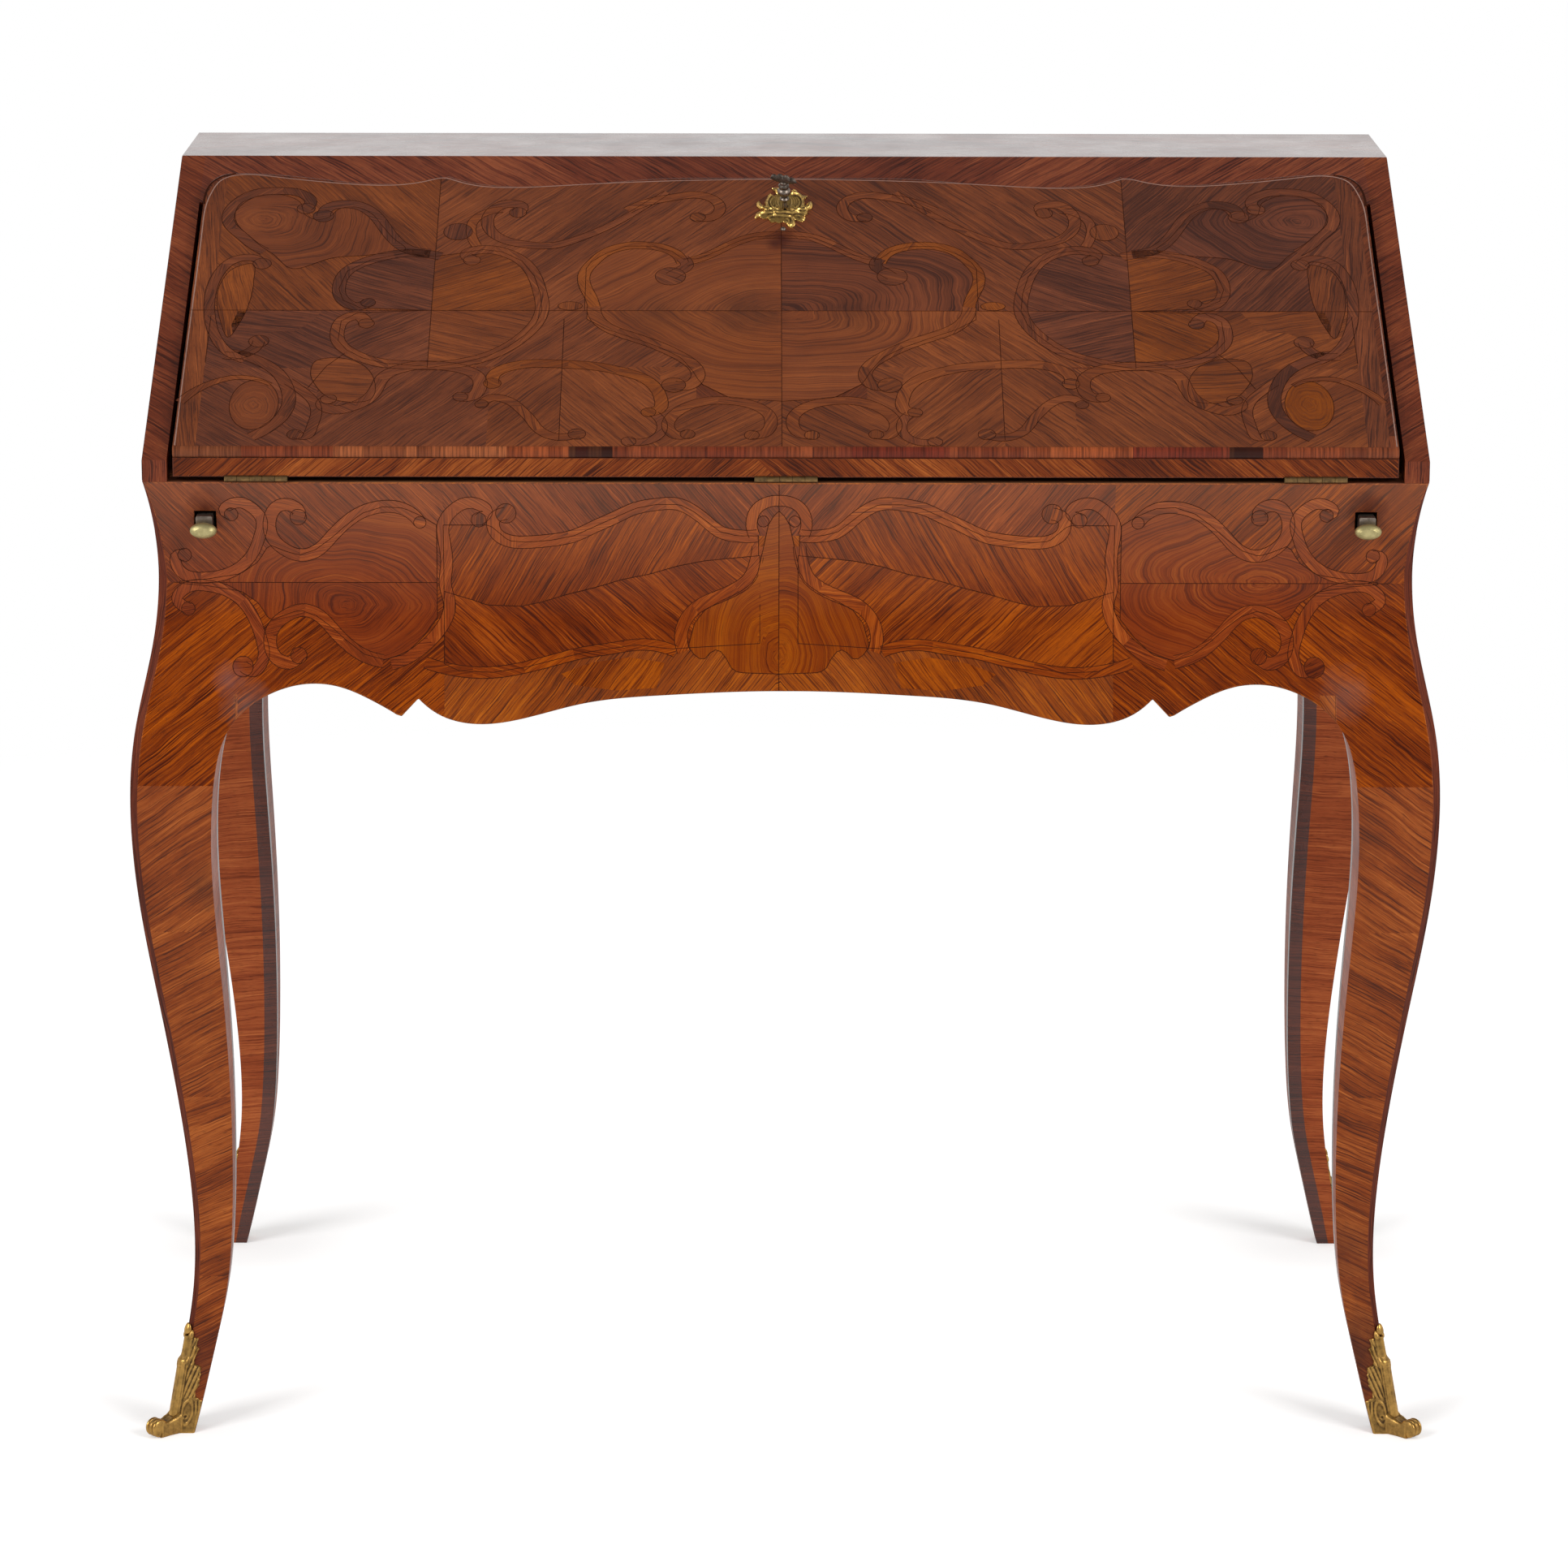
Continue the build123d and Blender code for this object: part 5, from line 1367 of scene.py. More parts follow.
@dataclass
class Leg(Corner):
    """Cabriole leg with its square post, canted along its outer corner.

    Both elevations share one outline. At each height the section is a square
    between the outer serpentine and the inner curve, less the canted corner.
    """

    bore_middle: float = 45.0
    bore: float = 16.0
    bore_z: float = LOPER_Z
    bore_depth: float = 34.0
    band: float = 10.5
    joints: Tuple[float, ...] = (0.0, 118.0, 262.0, 395.0, 508.0, 656.5, RAIL_Z)
    angles: Tuple[float, ...] = (26.0, 24.0, 30.0, 36.0, 38.0, -38.0)

    def heights(self, start: float, end: float) -> Array:
        """Levels of the section about 4 apart, with the bore's edges among them."""
        marks = [start]
        marks += [
            z
            for z in (self.bore_z - self.bore / 2, self.bore_z + self.bore / 2)
            if start < z < end
        ]
        marks.append(end)
        runs = [
            np.linspace(a, b, max(2, int((b - a) / 4) + 1))[:-1]
            for a, b in zip(marks, marks[1:])
        ]
        return np.concatenate([*runs, [end]])

    def face_columns(self, z: Array) -> Array:
        """Distances across a show face: even below, lined up with the bore above."""
        near, far = outer_in(z) + cant_width(z), inner_in(z)
        even = near[:, None] + (far - near)[:, None] * np.linspace(0, 1, 13)
        first, last = self.bore_middle - self.bore / 2, self.bore_middle + self.bore / 2
        lined = np.concatenate(
            [
                near[:, None] + (first - near)[:, None] * np.linspace(0, 1, 6),
                np.broadcast_to(np.linspace(first, last, 5)[1:], (len(z), 4)),
                last + (far - last)[:, None] * np.linspace(0, 1, 4)[1:],
            ],
            axis=1,
        )
        share = rise(z, 500, 60)[:, None]
        share = share * share * (3 - 2 * share)
        return even * (1 - share) + lined * share

    def show_faces(self, skin: Skin) -> None:
        """Front or back face and side face, in pieces with slanting grain."""
        bored = self.end < 0
        spans = list(zip(self.joints, self.joints[1:], self.angles))
        for number, (start, end, angle) in enumerate(spans):
            z = self.heights(start, end)
            across = self.face_columns(z)
            inset = outer_in(z)[:, None]
            level = np.broadcast_to(z[:, None], across.shape)
            topmost = number == len(spans) - 1
            upper = number >= len(spans) - 2
            seed = 7.0 + 0.37 * self.side if upper else number + 2.3 * self.side + 5.7 * self.end
            tone = 0.0 if upper else 0.06 * math.sin(5.1 * seed)
            for turned_side in (False, True):
                places = (inset, across) if turned_side else (across, inset)
                grid = self.point(*places, level)
                skip = None
                if bored and topmost and not turned_side:
                    skip = self.bore_cells(grid, skin)
                grain = turned(across, level, angle)
                if not turned_side:
                    grain = turned(grid[..., 0], level, -angle * self.side)
                facing = np.array([self.side, 0, 0]) if turned_side else np.array([0, self.end, 0])
                skin.add(grid, grain, Look(tone, 0.3, seed + turned_side), facing, skip=skip)

    def bore_cells(self, grid: Array, skin: Skin) -> Array:
        """Marks the quads over the bore and lines the bore behind them.

        Args:
            grid: points of the face.
            skin: mesh that the lining joins.

        Returns:
            True for each quad of the face that lies over the bore.
        """
        x, z = np.abs(grid[..., 0]), grid[..., 2]
        middle = HALF_W - self.bore_middle
        half = self.bore / 2 + 0.01
        inside = np.maximum(np.abs(x - middle), np.abs(z - self.bore_z)) < half
        cells = inside[:-1, :-1] & inside[:-1, 1:] & inside[1:, 1:] & inside[1:, :-1]
        rows, columns = np.where(inside)
        top, bottom, first, last = rows.max(), rows.min(), columns.min(), columns.max()
        ring = np.concatenate(
            [
                grid[bottom, first:last],
                grid[bottom:top, last],
                grid[top, last:first:-1],
                grid[top:bottom:-1, first],
            ]
        )
        deep = ring.copy()
        deep[:, 1] = FRONT_Y + self.bore_depth
        floor = np.broadcast_to(deep.mean(axis=0), deep.shape)
        walls = np.stack([ring, deep, floor])
        grain = np.broadcast_to(ring[None, :, ::2], (3, len(ring), 2))
        # The lining takes the darkest tone of the leg's wood: painted shade inside the bore.
        skin.add(walls, grain, Look(-0.5, 0.0, 1.0), np.array([0.0, -1.0, 0.0]), ring=True)
        return cells

    def inner_faces(self, inside: Skin, edging: Skin) -> None:
        """Faces towards the other legs: cross-grained, with a dark band at the arris."""
        z = self.heights(0.0, RAIL_Z)
        near, far = outer_in(z)[:, None], inner_in(z)[:, None]
        split = np.maximum(far - self.band, (near + far) / 2)
        seed = 3.1 + self.side + 0.7 * self.end
        for turned_side in (False, True):
            facing = np.array([0, -self.end, 0]) if turned_side else np.array([-self.side, 0, 0])
            for start, end, target, shade in (
                (near, split, inside, Look(0.0, -0.1, seed)),
                (split, far, edging, Look(0.0, 0.0, seed)),
            ):
                along = start + (end - start) * np.linspace(0, 1, 6)
                level = np.broadcast_to(z[:, None], along.shape)
                flat = np.broadcast_to(far, along.shape)
                places = (along, flat) if turned_side else (flat, along)
                grid = self.point(*places, level)
                target.add(grid, turned(along, level, 4.0), shade, facing)

    def cant(self, edging: Skin) -> None:
        """Dark strip along the outer corner."""
        z = self.heights(0.0, RAIL_Z)
        inset, width = outer_in(z)[:, None], cant_width(z)[:, None]
        share = np.linspace(0, 1, 3)
        grid = self.point(inset + width * (1 - share), inset + width * share, z[:, None])
        grain = stacked(z[:, None], width * share)
        edging.add(grid, grain, Look(0.0, 0.0, self.side), np.array([self.side, self.end, 0]))

    def cap(self, skin: Skin, z: float) -> None:
        """Flat five-cornered end, as rings between its middle and its edge."""
        level = np.array([z])
        o, i, c = outer_in(level)[0], inner_in(level)[0], cant_width(level)[0]
        columns = self.face_columns(level)[0]
        split = max(i - self.band, (o + i) / 2)
        inner = np.concatenate([np.linspace(o, split, 6), np.linspace(split, i, 6)[1:]])
        share = np.linspace(0, 1, 3)[:2]
        edge = np.concatenate(
            [
                stacked(columns, o)[:-1],
                stacked(i, inner)[:-1],
                stacked(inner[::-1], i)[:-1],
                stacked(o, columns[::-1])[:-1],
                stacked(o + c * share, o + c * (1 - share)),
            ]
        )
        middle = np.array([(o + i) / 2, (o + i) / 2])
        flat = middle + (edge - middle) * np.array([0.0, 0.5, 1.0])[:, None, None]
        grid = self.point(flat[..., 0], flat[..., 1], z)
        facing = np.array([0, 0, 1.0 if z > 1 else -1.0])
        skin.add(grid, flat, Look(-0.2, 0.0, 2.0), facing, ring=True)

    def build(self) -> None:
        """Makes the leg and softens its arrises."""
        skin, inside, edging, cant = Skin(), Skin(), Skin(), Skin()
        self.show_faces(skin)
        self.inner_faces(inside, edging)
        self.cant(cant)
        self.cap(skin, 0.0)
        self.cap(skin, RAIL_Z)
        finishes = (skin, LEG_WOOD), (inside, INNER_WOOD), (edging, KINGWOOD), (cant, CANT_WOOD)
        leg = joined(f"leg_{self.label}_veneered", *finishes)
        soften(leg, 0.5)
        settle(leg, "carcass", "tulipwood", f"leg_{self.label}")


def joined(name: str, *parts: Tuple[Skin, object], merged: bool = True) -> bpy.types.Object:
    """One object from several skins, each with its own finish.

    Args:
        name: name of the piece.
        parts: each skin with its finish.
        merged: whether points that the skins share become one.

    Returns:
        The new object.
    """
    whole = Skin()
    slots = []
    for number, (skin, _) in enumerate(parts):
        whole.points += skin.points
        whole.quads += [quads + whole.count for quads in skin.quads]
        whole.grain += skin.grain
        whole.looks += skin.looks
        whole.parts += [part + whole.part for part in skin.parts]
        whole.count += skin.count
        whole.part += skin.part if merged else skin.part + 1
        slots += [number] * sum(len(quads) for quads in skin.quads)
    return whole.object(name, [finish_of(finish) for _, finish in parts], slots=slots)


MATERIALS: dict = {}


def finish_of(finish: object) -> bpy.types.Material:
    """Material of a finish, made once."""
    if finish.name not in MATERIALS:
        MATERIALS[finish.name] = finish.material()
    return MATERIALS[finish.name]


def soften(piece: bpy.types.Object, width: float, segments: int = 2) -> None:
    """Rounds the sharp arrises of a piece by a small width."""
    bevel = piece.modifiers.new("arris", "BEVEL")
    bevel.width = width * MM
    bevel.segments = segments
    bevel.limit_method = "ANGLE"
    bevel.angle_limit = math.radians(35)
    bevel.use_clamp_overlap = True


# ---------------------------------------------------------------------- aprons
@dataclass
class Apron:
    """Serpentine apron between two posts, shaped along its lower edge.

    The outer face follows the serpentine in height. The inner face is flat. Each
    row goes from the shaped edge to the top, in equal shares of the height.
    """

    name: str
    reach: float
    back: float
    edge: Array
    turn: float
    plane: float
    rows: int = 40
    middle: float = 0.0

    def columns(self) -> Array:
        """Distances along the apron, closer at the corners of the edge."""
        corners = self.edge[[EDGE_POINTS - 1, -1], 0]
        half = np.unique(np.concatenate([np.linspace(0, self.reach, 110), corners]))
        half = half[half <= self.reach]
        return np.concatenate([-half[:0:-1], half])

    def place(self, along: Array, inset: Array, z: Array) -> Array:
        """Point at a distance along the apron and in from the case plane."""
        flat = stacked(along, inset - self.plane, z)
        turn = math.radians(self.turn)
        x = flat[..., 0] * math.cos(turn) - flat[..., 1] * math.sin(turn)
        y = flat[..., 0] * math.sin(turn) + flat[..., 1] * math.cos(turn)
        return stacked(x, y, flat[..., 2])

    def way(self, along: float, inward: float, up: float) -> Array:
        """Direction from the apron's own axes."""
        return self.place(np.array(along), np.array(inward + self.plane), np.array(up))

    def build(self) -> None:
        """Makes the outer and inner faces, the edges and the ends."""
        wood, plain = Skin(), Skin()
        along = self.columns()
        low = np.interp(np.abs(along), self.edge[:, 0], self.edge[:, 1])
        share = np.linspace(0, 1, self.rows + 1)[:, None]
        z = low + (RAIL_Z - low) * share
        a = np.broadcast_to(along, z.shape)
        folded = -np.abs(a - self.middle)
        outer = self.place(a, outer_in(z), z)
        inner = self.place(a, np.full(z.shape, self.back), z)
        wood.add(outer, turned(folded, z, 52.0), Look(0.0, 0.6, 4.0), self.way(0, -1, 0))
        plain.add(inner, turned(a, z, 0.0), Look(), self.way(0, 1, 0))
        for row, up in ((0, -1), (-1, 1)):
            grid = ruled(outer[row], inner[row], 4)
            grain = stacked(along[:, None], np.linspace(0, self.back, 4))
            plain.add(grid, grain, Look(-0.1), self.way(0, 0, up))
        for column, way in ((0, -1), (-1, 1)):
            grid = ruled(outer[:, column], inner[:, column], 4)
            grain = stacked(z[:, column, None], np.linspace(0, self.back, 4))
            plain.add(grid, grain, Look(-0.1), self.way(way, 0, 0))
        apron = joined(f"{self.name}_veneered", (wood, LEG_WOOD), (plain, BACKING))
        soften(apron, 0.6)
        settle(apron, "carcass", "tulipwood", self.name)


# ------------------------------------------------------------------- marquetry
@dataclass
class Half:
    """One half of a mirrored design, drawn in distances from its middle seam.

    Looks come in pairs, for the left and the right half.
    """

    work: Marquetry
    side: int
    middle: float

    def place(self, points: Points) -> Array:
        """Points drawn from the middle seam, on this half's side of it."""
        flat = np.asarray(points, float).copy()
        flat[:, 0] = self.middle + self.side * flat[:, 0]
        return flat

    def pick(self, looks: object) -> Look:
        """This half's look out of a pair, or the one look given for both."""
        if isinstance(looks, Look):
            return Look(looks.tone, looks.warmth, looks.seed + 0.37 * self.side)
        return looks[0] if self.side < 0 else looks[1]

    def cut(self, cut: Cut) -> Cut:
        """Cut drawn for the right half, turned over on the left."""
        centre = (self.middle + self.side * cut.centre[0], cut.centre[1])
        return Cut(cut.pattern, self.side * cut.angle, centre, cut.squash)

    def strap(self, points: Points, looks: object, **how: float) -> None:
        """Strap along a path."""
        self.work.strap(self.place(points), self.pick(looks), **how)

    def seam(self, points: Points) -> None:
        """String along straight runs."""
        self.work.outline(self.place(straight(points, 6.0, closed=False)), closed=False)

    def disc(
        self, centre: Tuple[float, float], radius: float, looks: object, stretch: float = 1.0
    ) -> None:
        """Round eye."""
        self.work.disc(self.place([centre])[0], radius, self.pick(looks), stretch)

    def plate(
        self, points: Points, cut: Cut, looks: object, level: Level, smooth: bool = False,
        lined: bool = True,
    ) -> None:
        """Piece cut to a closed outline, with string round it."""
        if smooth:
            points = through(points, max(24, 6 * len(points)), closed=True)
        else:
            points = straight(points, 5.0)
        outline = self.place(points)
        self.work.plate(outline, self.cut(cut), self.pick(looks), level)
        if lined:
            self.work.outline(outline)

    def sheet(
        self, low: Points, high: Points, cut: Cut, looks: object, level: Level, lined: bool = True,
        rows: int = 10,
    ) -> None:
        """Piece between a lower and an upper edge, each a line of points."""
        low, high = np.asarray(low, float), np.asarray(high, float)
        start = max(low[:, 0].min(), high[:, 0].min())
        end = min(low[:, 0].max(), high[:, 0].max())
        a = np.linspace(start, end, max(4, int((end - start) / 3.5)))
        b_low = np.interp(a, low[:, 0], low[:, 1])
        b_high = np.maximum(np.interp(a, high[:, 0], high[:, 1]), b_low + 0.02)
        a_edge = self.middle + self.side * a
        share = np.linspace(0, 1, rows + 1)[:, None]
        flat_b = b_low + (b_high - b_low) * share
        flat_a = np.broadcast_to(a_edge, flat_b.shape)
        flat_a = np.pad(flat_a, 1, mode="edge")
        flat_b = np.pad(flat_b, 1, mode="edge")
        lift = np.zeros(flat_a.shape)
        lift[1:-1, 1:-1] = self.work.lift_of(level)
        grid = self.work.face.at(flat_a, flat_b, lift)
        grain = self.cut(cut).grain(flat_a, flat_b)
        self.work.skin_for(cut).begin()
        self.work.skin_for(cut).add(grid, grain, self.pick(looks), self.work.face.facing)
        if lined:
            ends = [
                stacked(a_edge[end], np.linspace(b_low[end], b_high[end], 12))
                for end in (0, -1)
            ]
            for line in (stacked(a_edge, b_low), stacked(a_edge, b_high), *ends):
                self.work.outline(line, closed=False)


def flat_line(start: float, end: float, level: float) -> Points:
    """Level edge of a sheet."""
    return ((start, level), (end, level))


@dataclass
class FallMarquetry:
    """Mirrored scrollwork of the fall, drawn up the slope from the case's corner."""

    middle: float = -3.0
    half: float = FALL_HALF - 3.2
    low: float = 6.0
    seam: float = 177.0
    lip: Points = (
        (0.0, 353.4), (60.0, 352.2), (120.0, 349.0), (175.0, 344.0), (218.0, 341.6),
        (243.0, 345.6), (257.0, 352.2), (262.0, 354.4), (275.0, 351.2), (303.0, 344.6),
        (340.0, 346.6), (395.0, 356.0), (421.0, 358.6), (434.0, 353.0), (441.5, 340.0),
        (444.6, 325.0),
    )

    def top(self, start: float, end: float) -> Array:
        """Upper edge of a sheet that goes up to the lip."""
        lip = np.asarray(self.lip)
        a = np.linspace(start, end, max(4, int((end - start) / 4)))
        return stacked(a, np.interp(a, lip[:, 0], lip[:, 1]))

    def ground(self, h: Half) -> None:
        """Large pieces between the seams, and the seams."""
        seam, low, end = self.seam, self.low, self.half
        pieces = (
            (0, 263, seam, None, -49, Look(-0.08, 0.0, 1.0), Look(-0.1, 0.0, 1.4)),
            (263, 428, seam, None, 55, Look(0.0, 0.2, 4.0), Look(-0.26, -0.2, 4.4)),
            (428, end, low, None, 84, Look(-0.04, 0.1, 5.0), Look(-0.16, -0.1, 5.4)),
            (63, 263, 105, seam, -48, Look(-0.06, 0.0, 6.0), Look(-0.02, 0.1, 6.4)),
            (263, 428, 103, seam, 35, Look(-0.2, -0.3, 8.0), Look(0.02, 0.2, 8.4)),
            (343, 428, low, 103, 40, Look(-0.14, -0.2, 9.0), Look(-0.02, 0.1, 9.4)),
            (216, 343, low, 103, -50, Look(-0.14, -0.1, 10.0), Look(-0.04, 0.1, 10.4)),
            (163, 216, low, 105, -52, Look(0.0, 0.1, 11.0), Look(0.0, 0.1, 11.4)),
            (90, 163, low, 105, 52, Look(0.02, 0.1, 12.0), Look(-0.04, 0.1, 12.4)),
            (0, 90, low, 66, -38, Look(-0.02, 0.1, 13.0), Look(-0.02, 0.1, 13.4)),
            (63, 90, 66, 105, -38, Look(-0.02, 0.1, 13.0), Look(-0.02, 0.1, 13.4)),
        )
        for start, stop, bottom, top, angle, *looks in pieces:
            high = self.top(start, stop) if top is None else flat_line(start, stop, top)
            h.sheet(
                flat_line(start, stop, bottom), high, Cut(angle=angle), looks, Level.FIELD, False
            )
        for seam_line in (
            ((0, low), (0, 352)), ((263, 105), (263, 353)), ((163, 14), (163, 166)),
            ((0, seam), (end, seam)), ((428, 110), (428, 170)), ((325, 122), (338, 105), (350, 78)),
        ):
            h.seam(seam_line)

    def heart(self, h: Half) -> None:
        """Quartered heart within its ring."""
        core = (263.0, self.seam)
        inner_top = (
            core, (263, 103), (237, 110), (219, 118), (204, 130), (192, 145), (184, 160), (180, 177)
        )
        h.plate(inner_top, Cut(angle=20), pair(21, -0.03, 0.1, -0.3, -0.3), Level.PANEL)
        upper = (
            core, (180, 177), (182, 200), (187, 222), (197, 242), (212, 254), (227, 257),
            (245, 252), (263, 248),
        )
        h.plate(upper, Cut(angle=-28), pair(22, 0, 0.3, -0.34, -0.3), Level.PANEL)
        outer = (
            core, (263, 248), (287, 252), (312, 243), (329, 228), (334, 205), (330, 190), (316, 180)
        )
        h.plate(outer, Cut(angle=24), pair(23, -0.3, -0.3, 0.02, 0.3), Level.PANEL)
        lower = (
            core, (318, 174), (330, 163), (331, 138), (324, 126), (312, 116), (295, 109),
            (277, 107), (263, 105),
        )
        h.plate(lower, Cut(angle=-36), pair(24, -0.3, -0.2, 0.08, 0.4), Level.PANEL)
        ring = (
            (311, 160), (319, 170), (328, 165), (332, 152), (331, 138), (324, 126), (312, 116),
            (295, 109), (277, 107), (259, 106), (237, 110), (219, 118), (204, 130), (192, 145),
            (184, 160), (180, 177), (182, 200), (187, 222), (197, 242), (212, 254), (227, 257),
            (239, 252), (235, 243),
        )
        h.strap(ring, pair(25, 0, 0.1, -0.12, 0), width=9.5, eye=6.5, start_eye=6)
        lobe = (
            (259, 248), (287, 252), (312, 243), (329, 228), (334, 205), (330, 190), (319, 182),
            (311, 187),
        )
        h.strap(lobe, pair(26, -0.26, -0.2, -0.14, 0.1), width=9.0, eye=5.5)

    def centre(self, h: Half) -> None:
        """Oyster cartouche with cusped top, open to the foot between its straps."""
        seam = self.seam
        rings = Cut(Pattern.OYSTER, centre=(0.0, seam), squash=0.6)
        crown = (
            (0, 277), (23, 274), (35, 267), (48, 256), (63, 245), (75, 245), (83, 255), (98, 262),
            (118, 262), (135, 251), (147, 238), (150, 215), (146, 198), (141, seam),
        )
        h.sheet(
            flat_line(0, 148, seam), crown[:-3] + ((148, 232),), rings,
            pair(31, -0.02, 0.1, -0.22, -0.1), Level.PANEL,
        )
        keel = (
            (0, 62), (20, 64), (38, 66), (60, 84), (66, 100), (75, 117), (91, 130), (111, 142),
            (131, 153), (146, 166),
        )
        h.sheet(keel, flat_line(0, 146, seam), rings, pair(32, 0.02, 0.2, 0, 0.1), Level.PANEL)
        h.strap(
            ((0, 277), (23, 274), (35, 267), (48, 256), (63, 245), (73, 240)),
            pair(33, 0.1, 0.3, 0, 0.1), width=8,
        )
        h.strap(
            (
                (75, 240), (83, 255), (98, 262), (118, 262), (133, 254), (143, 240), (149, 226),
                (148, 208), (143, 192), (141, 182),
            ),
            pair(34, 0.1, 0.4, 0.06, 0.5), width=8.5,
        )
        h.strap(
            ((75, 246), (72, 235), (78, 228), (84, 222)), pair(35, -0.2, 0, -0.3, 0), width=9,
            eye=11.5,
        )
        foot = (
            (141, 182), (140, 172), (131, 156), (111, 143), (91, 131), (75, 118), (65, 106),
            (62, 93), (68, 82), (80, 82),
        )
        h.strap(foot, pair(36, 0.04, 0.2, 0.04, 0.2), width=9.5, eye=9)
        h.disc((159, 183), 5.4, pair(37, 0.02, 0.2, 0.08, 0.4), 1.7)

    def crest(self, h: Half) -> None:
        """Scrolls under the lip beside the escutcheon."""
        arm = (
            (202, 307), (200, 316), (210, 319), (220, 312), (225, 298), (222, 282), (211, 270),
            (195, 264), (173, 263), (158, 270), (143, 280), (123, 297), (103, 318), (88, 335),
        )
        h.strap(arm, pair(41, -0.06, 0, -0.04, 0.1), width=9.5, eye=0, start_eye=6.5, taper=0.55)
        h.strap(
            (
                (118, 310), (101, 322), (83, 328), (63, 331), (51, 324), (47, 312), (53, 301),
                (64, 301),
            ),
            pair(42, -0.02, 0.2, -0.04, 0.1), width=8, eye=6,
        )
        h.strap(
            ((232, 262), (237, 280), (235, 297), (226, 307), (214, 311)), pair(43, 0, 0.2, -0.1, 0),
            width=7,
        )
        h.disc((247, 281), 11.0, pair(44, -0.24, -0.2, -0.12, 0.1))

    def corner(self, h: Half) -> None:
        """Large figured corner with the scrolls round it."""
        bell = (
            (286, 258), (296, 272), (306, 290), (315, 306), (327, 314), (339, 312), (347, 300),
            (356, 297), (364, 302), (371, 322), (386, 331), (404, 328), (416, 318), (419, 304),
            (416, 290), (407, 276), (397, 262), (386, 250), (372, 232), (340, 246), (312, 250),
        )
        oyster = Cut(Pattern.OYSTER, centre=(396, 296), squash=0.8)
        h.plate(bell, oyster, pair(51, -0.06, 0.1, -0.36, -0.3), Level.PANEL, True)
        h.strap(
            (
                (393, 254), (402, 262), (412, 275), (422, 290), (424, 305), (417, 322), (405, 333),
                (387, 336), (371, 333), (362, 322), (365, 312),
            ),
            pair(53, -0.12, 0, -0.22, -0.1), width=8.5, eye=7,
        )
        h.strap(
            (
                (351, 302), (347, 314), (337, 318), (325, 316), (313, 305), (304, 288), (295, 270),
                (285, 258), (267, 252),
            ),
            pair(54, -0.3, -0.2, -0.36, -0.1), width=9.5, start_eye=8,
        )
        h.plate(
            (
                (402, 238), (415, 232), (423, 215), (425, 190), (421, 165), (413, 142), (406, 160),
                (400, 190), (399, 215),
            ),
            Cut(angle=80), pair(55, 0.08, 0.3, -0.2, 0.1), Level.PANEL, True,
        )
        h.strap(
            (
                (394, 238), (402, 246), (415, 243), (425, 228), (430, 205), (430, 180), (427, 158),
                (421, 138), (411, 122), (399, 113),
            ),
            pair(56, -0.1, 0, -0.2, -0.1), width=7.5, start_eye=7,
        )

    def lower_corner(self, h: Half) -> None:
        """Oval in its dark ring, the leaf and the long strap to the arch."""
        rings = Cut(Pattern.OYSTER, centre=(389, 57), squash=1.5)
        oval = full_turn(20)
        shape = stacked(388.5 + 18 * np.cos(oval), 57 + 31 * np.sin(oval))
        h.plate(shape, rings, pair(61, -0.04, 0.1, 0.14, 0.6), Level.PANEL, True)
        leaf = (
            (305, 62), (316, 60), (334, 66), (344, 80), (349, 96), (346, 112), (330, 116),
            (312, 108), (302, 90),
        )
        h.plate(leaf, Cut(angle=4), pair(62, -0.04, 0.1, 0.04, 0.3), Level.PANEL, True)
        bright = (
            (345, 176), (352, 162), (364, 150), (378, 149), (390, 141), (400, 136), (409, 141),
            (412, 158), (408, 176),
        )
        h.plate(bright, Cut(angle=12), pair(63, -0.2, -0.3, 0.02, 0.2), Level.PANEL, lined=False)
        h.strap(
            (
                (410, 121), (401, 119), (390, 113), (375, 99), (366, 80), (363, 60), (367, 42),
                (376, 28), (388, 17),
            ),
            pair(64, -0.12, 0, -0.34, -0.1), width=9,
        )
        h.strap(
            ((443, 60), (433, 74), (418, 86), (403, 91), (390, 89), (378, 82)),
            pair(65, 0.02, 0.2, 0, 0.2), width=7, taper=0.5,
        )
        h.strap(
            ((356, 20), (348, 18), (344, 30), (342, 47), (345, 61), (353, 73), (365, 86)),
            pair(66, -0.1, 0, 0, 0.1), width=7.5, start_eye=6,
        )
        h.strap(
            ((415, 119), (401, 120), (393, 127), (390, 137)), pair(67, -0.14, 0, -0.3, 0), width=8,
            eye=7.5,
        )
        h.strap(
            (
                (237, 67), (228, 68), (223, 80), (225, 92), (235, 101), (253, 106), (265, 107),
                (283, 102), (294, 93), (299, 78), (305, 64), (317, 54), (331, 51), (338, 57),
                (334, 64),
            ),
            pair(68, -0.14, 0, 0, 0.2), width=9.5, eye=6, start_eye=5.5,
        )

    def foot(self, h: Half) -> None:
        """Arch over a chevron, and the C-scroll beside the middle."""
        arch = (
            (98, 48), (90, 52), (89, 64), (93, 78), (102, 90), (116, 98), (136, 105), (160, 108),
            (183, 109), (200, 105.5), (212, 97), (214, 84),
        )
        h.strap(arch, pair(71, 0.06, 0.4, 0, 0.2), width=9, eye=6.5, start_eye=5.5)
        h.strap(
            (
                (221, 58), (213, 66), (201, 62), (191, 50), (185, 40), (179, 28), (171, 20),
                (160, 17), (150, 21),
            ),
            pair(72, 0, 0.2, -0.04, 0.1), width=7.5, eye=6.5, start_eye=5,
        )
        h.strap(
            (
                (22, 20), (13, 22), (8, 33), (10, 46), (21, 57), (38, 62.5), (55, 62), (71, 54),
                (81, 42), (83, 28), (78, 20), (69, 21),
            ),
            pair(73, 0.02, 0.2, 0.04, 0.2), width=8.5, eye=5.5, start_eye=5.5,
        )
        h.strap(
            ((94, 46), (88, 34), (90, 20), (99, 12), (112, 12)), pair(74, -0.04, 0, -0.04, 0),
            width=7, eye=5.5,
        )

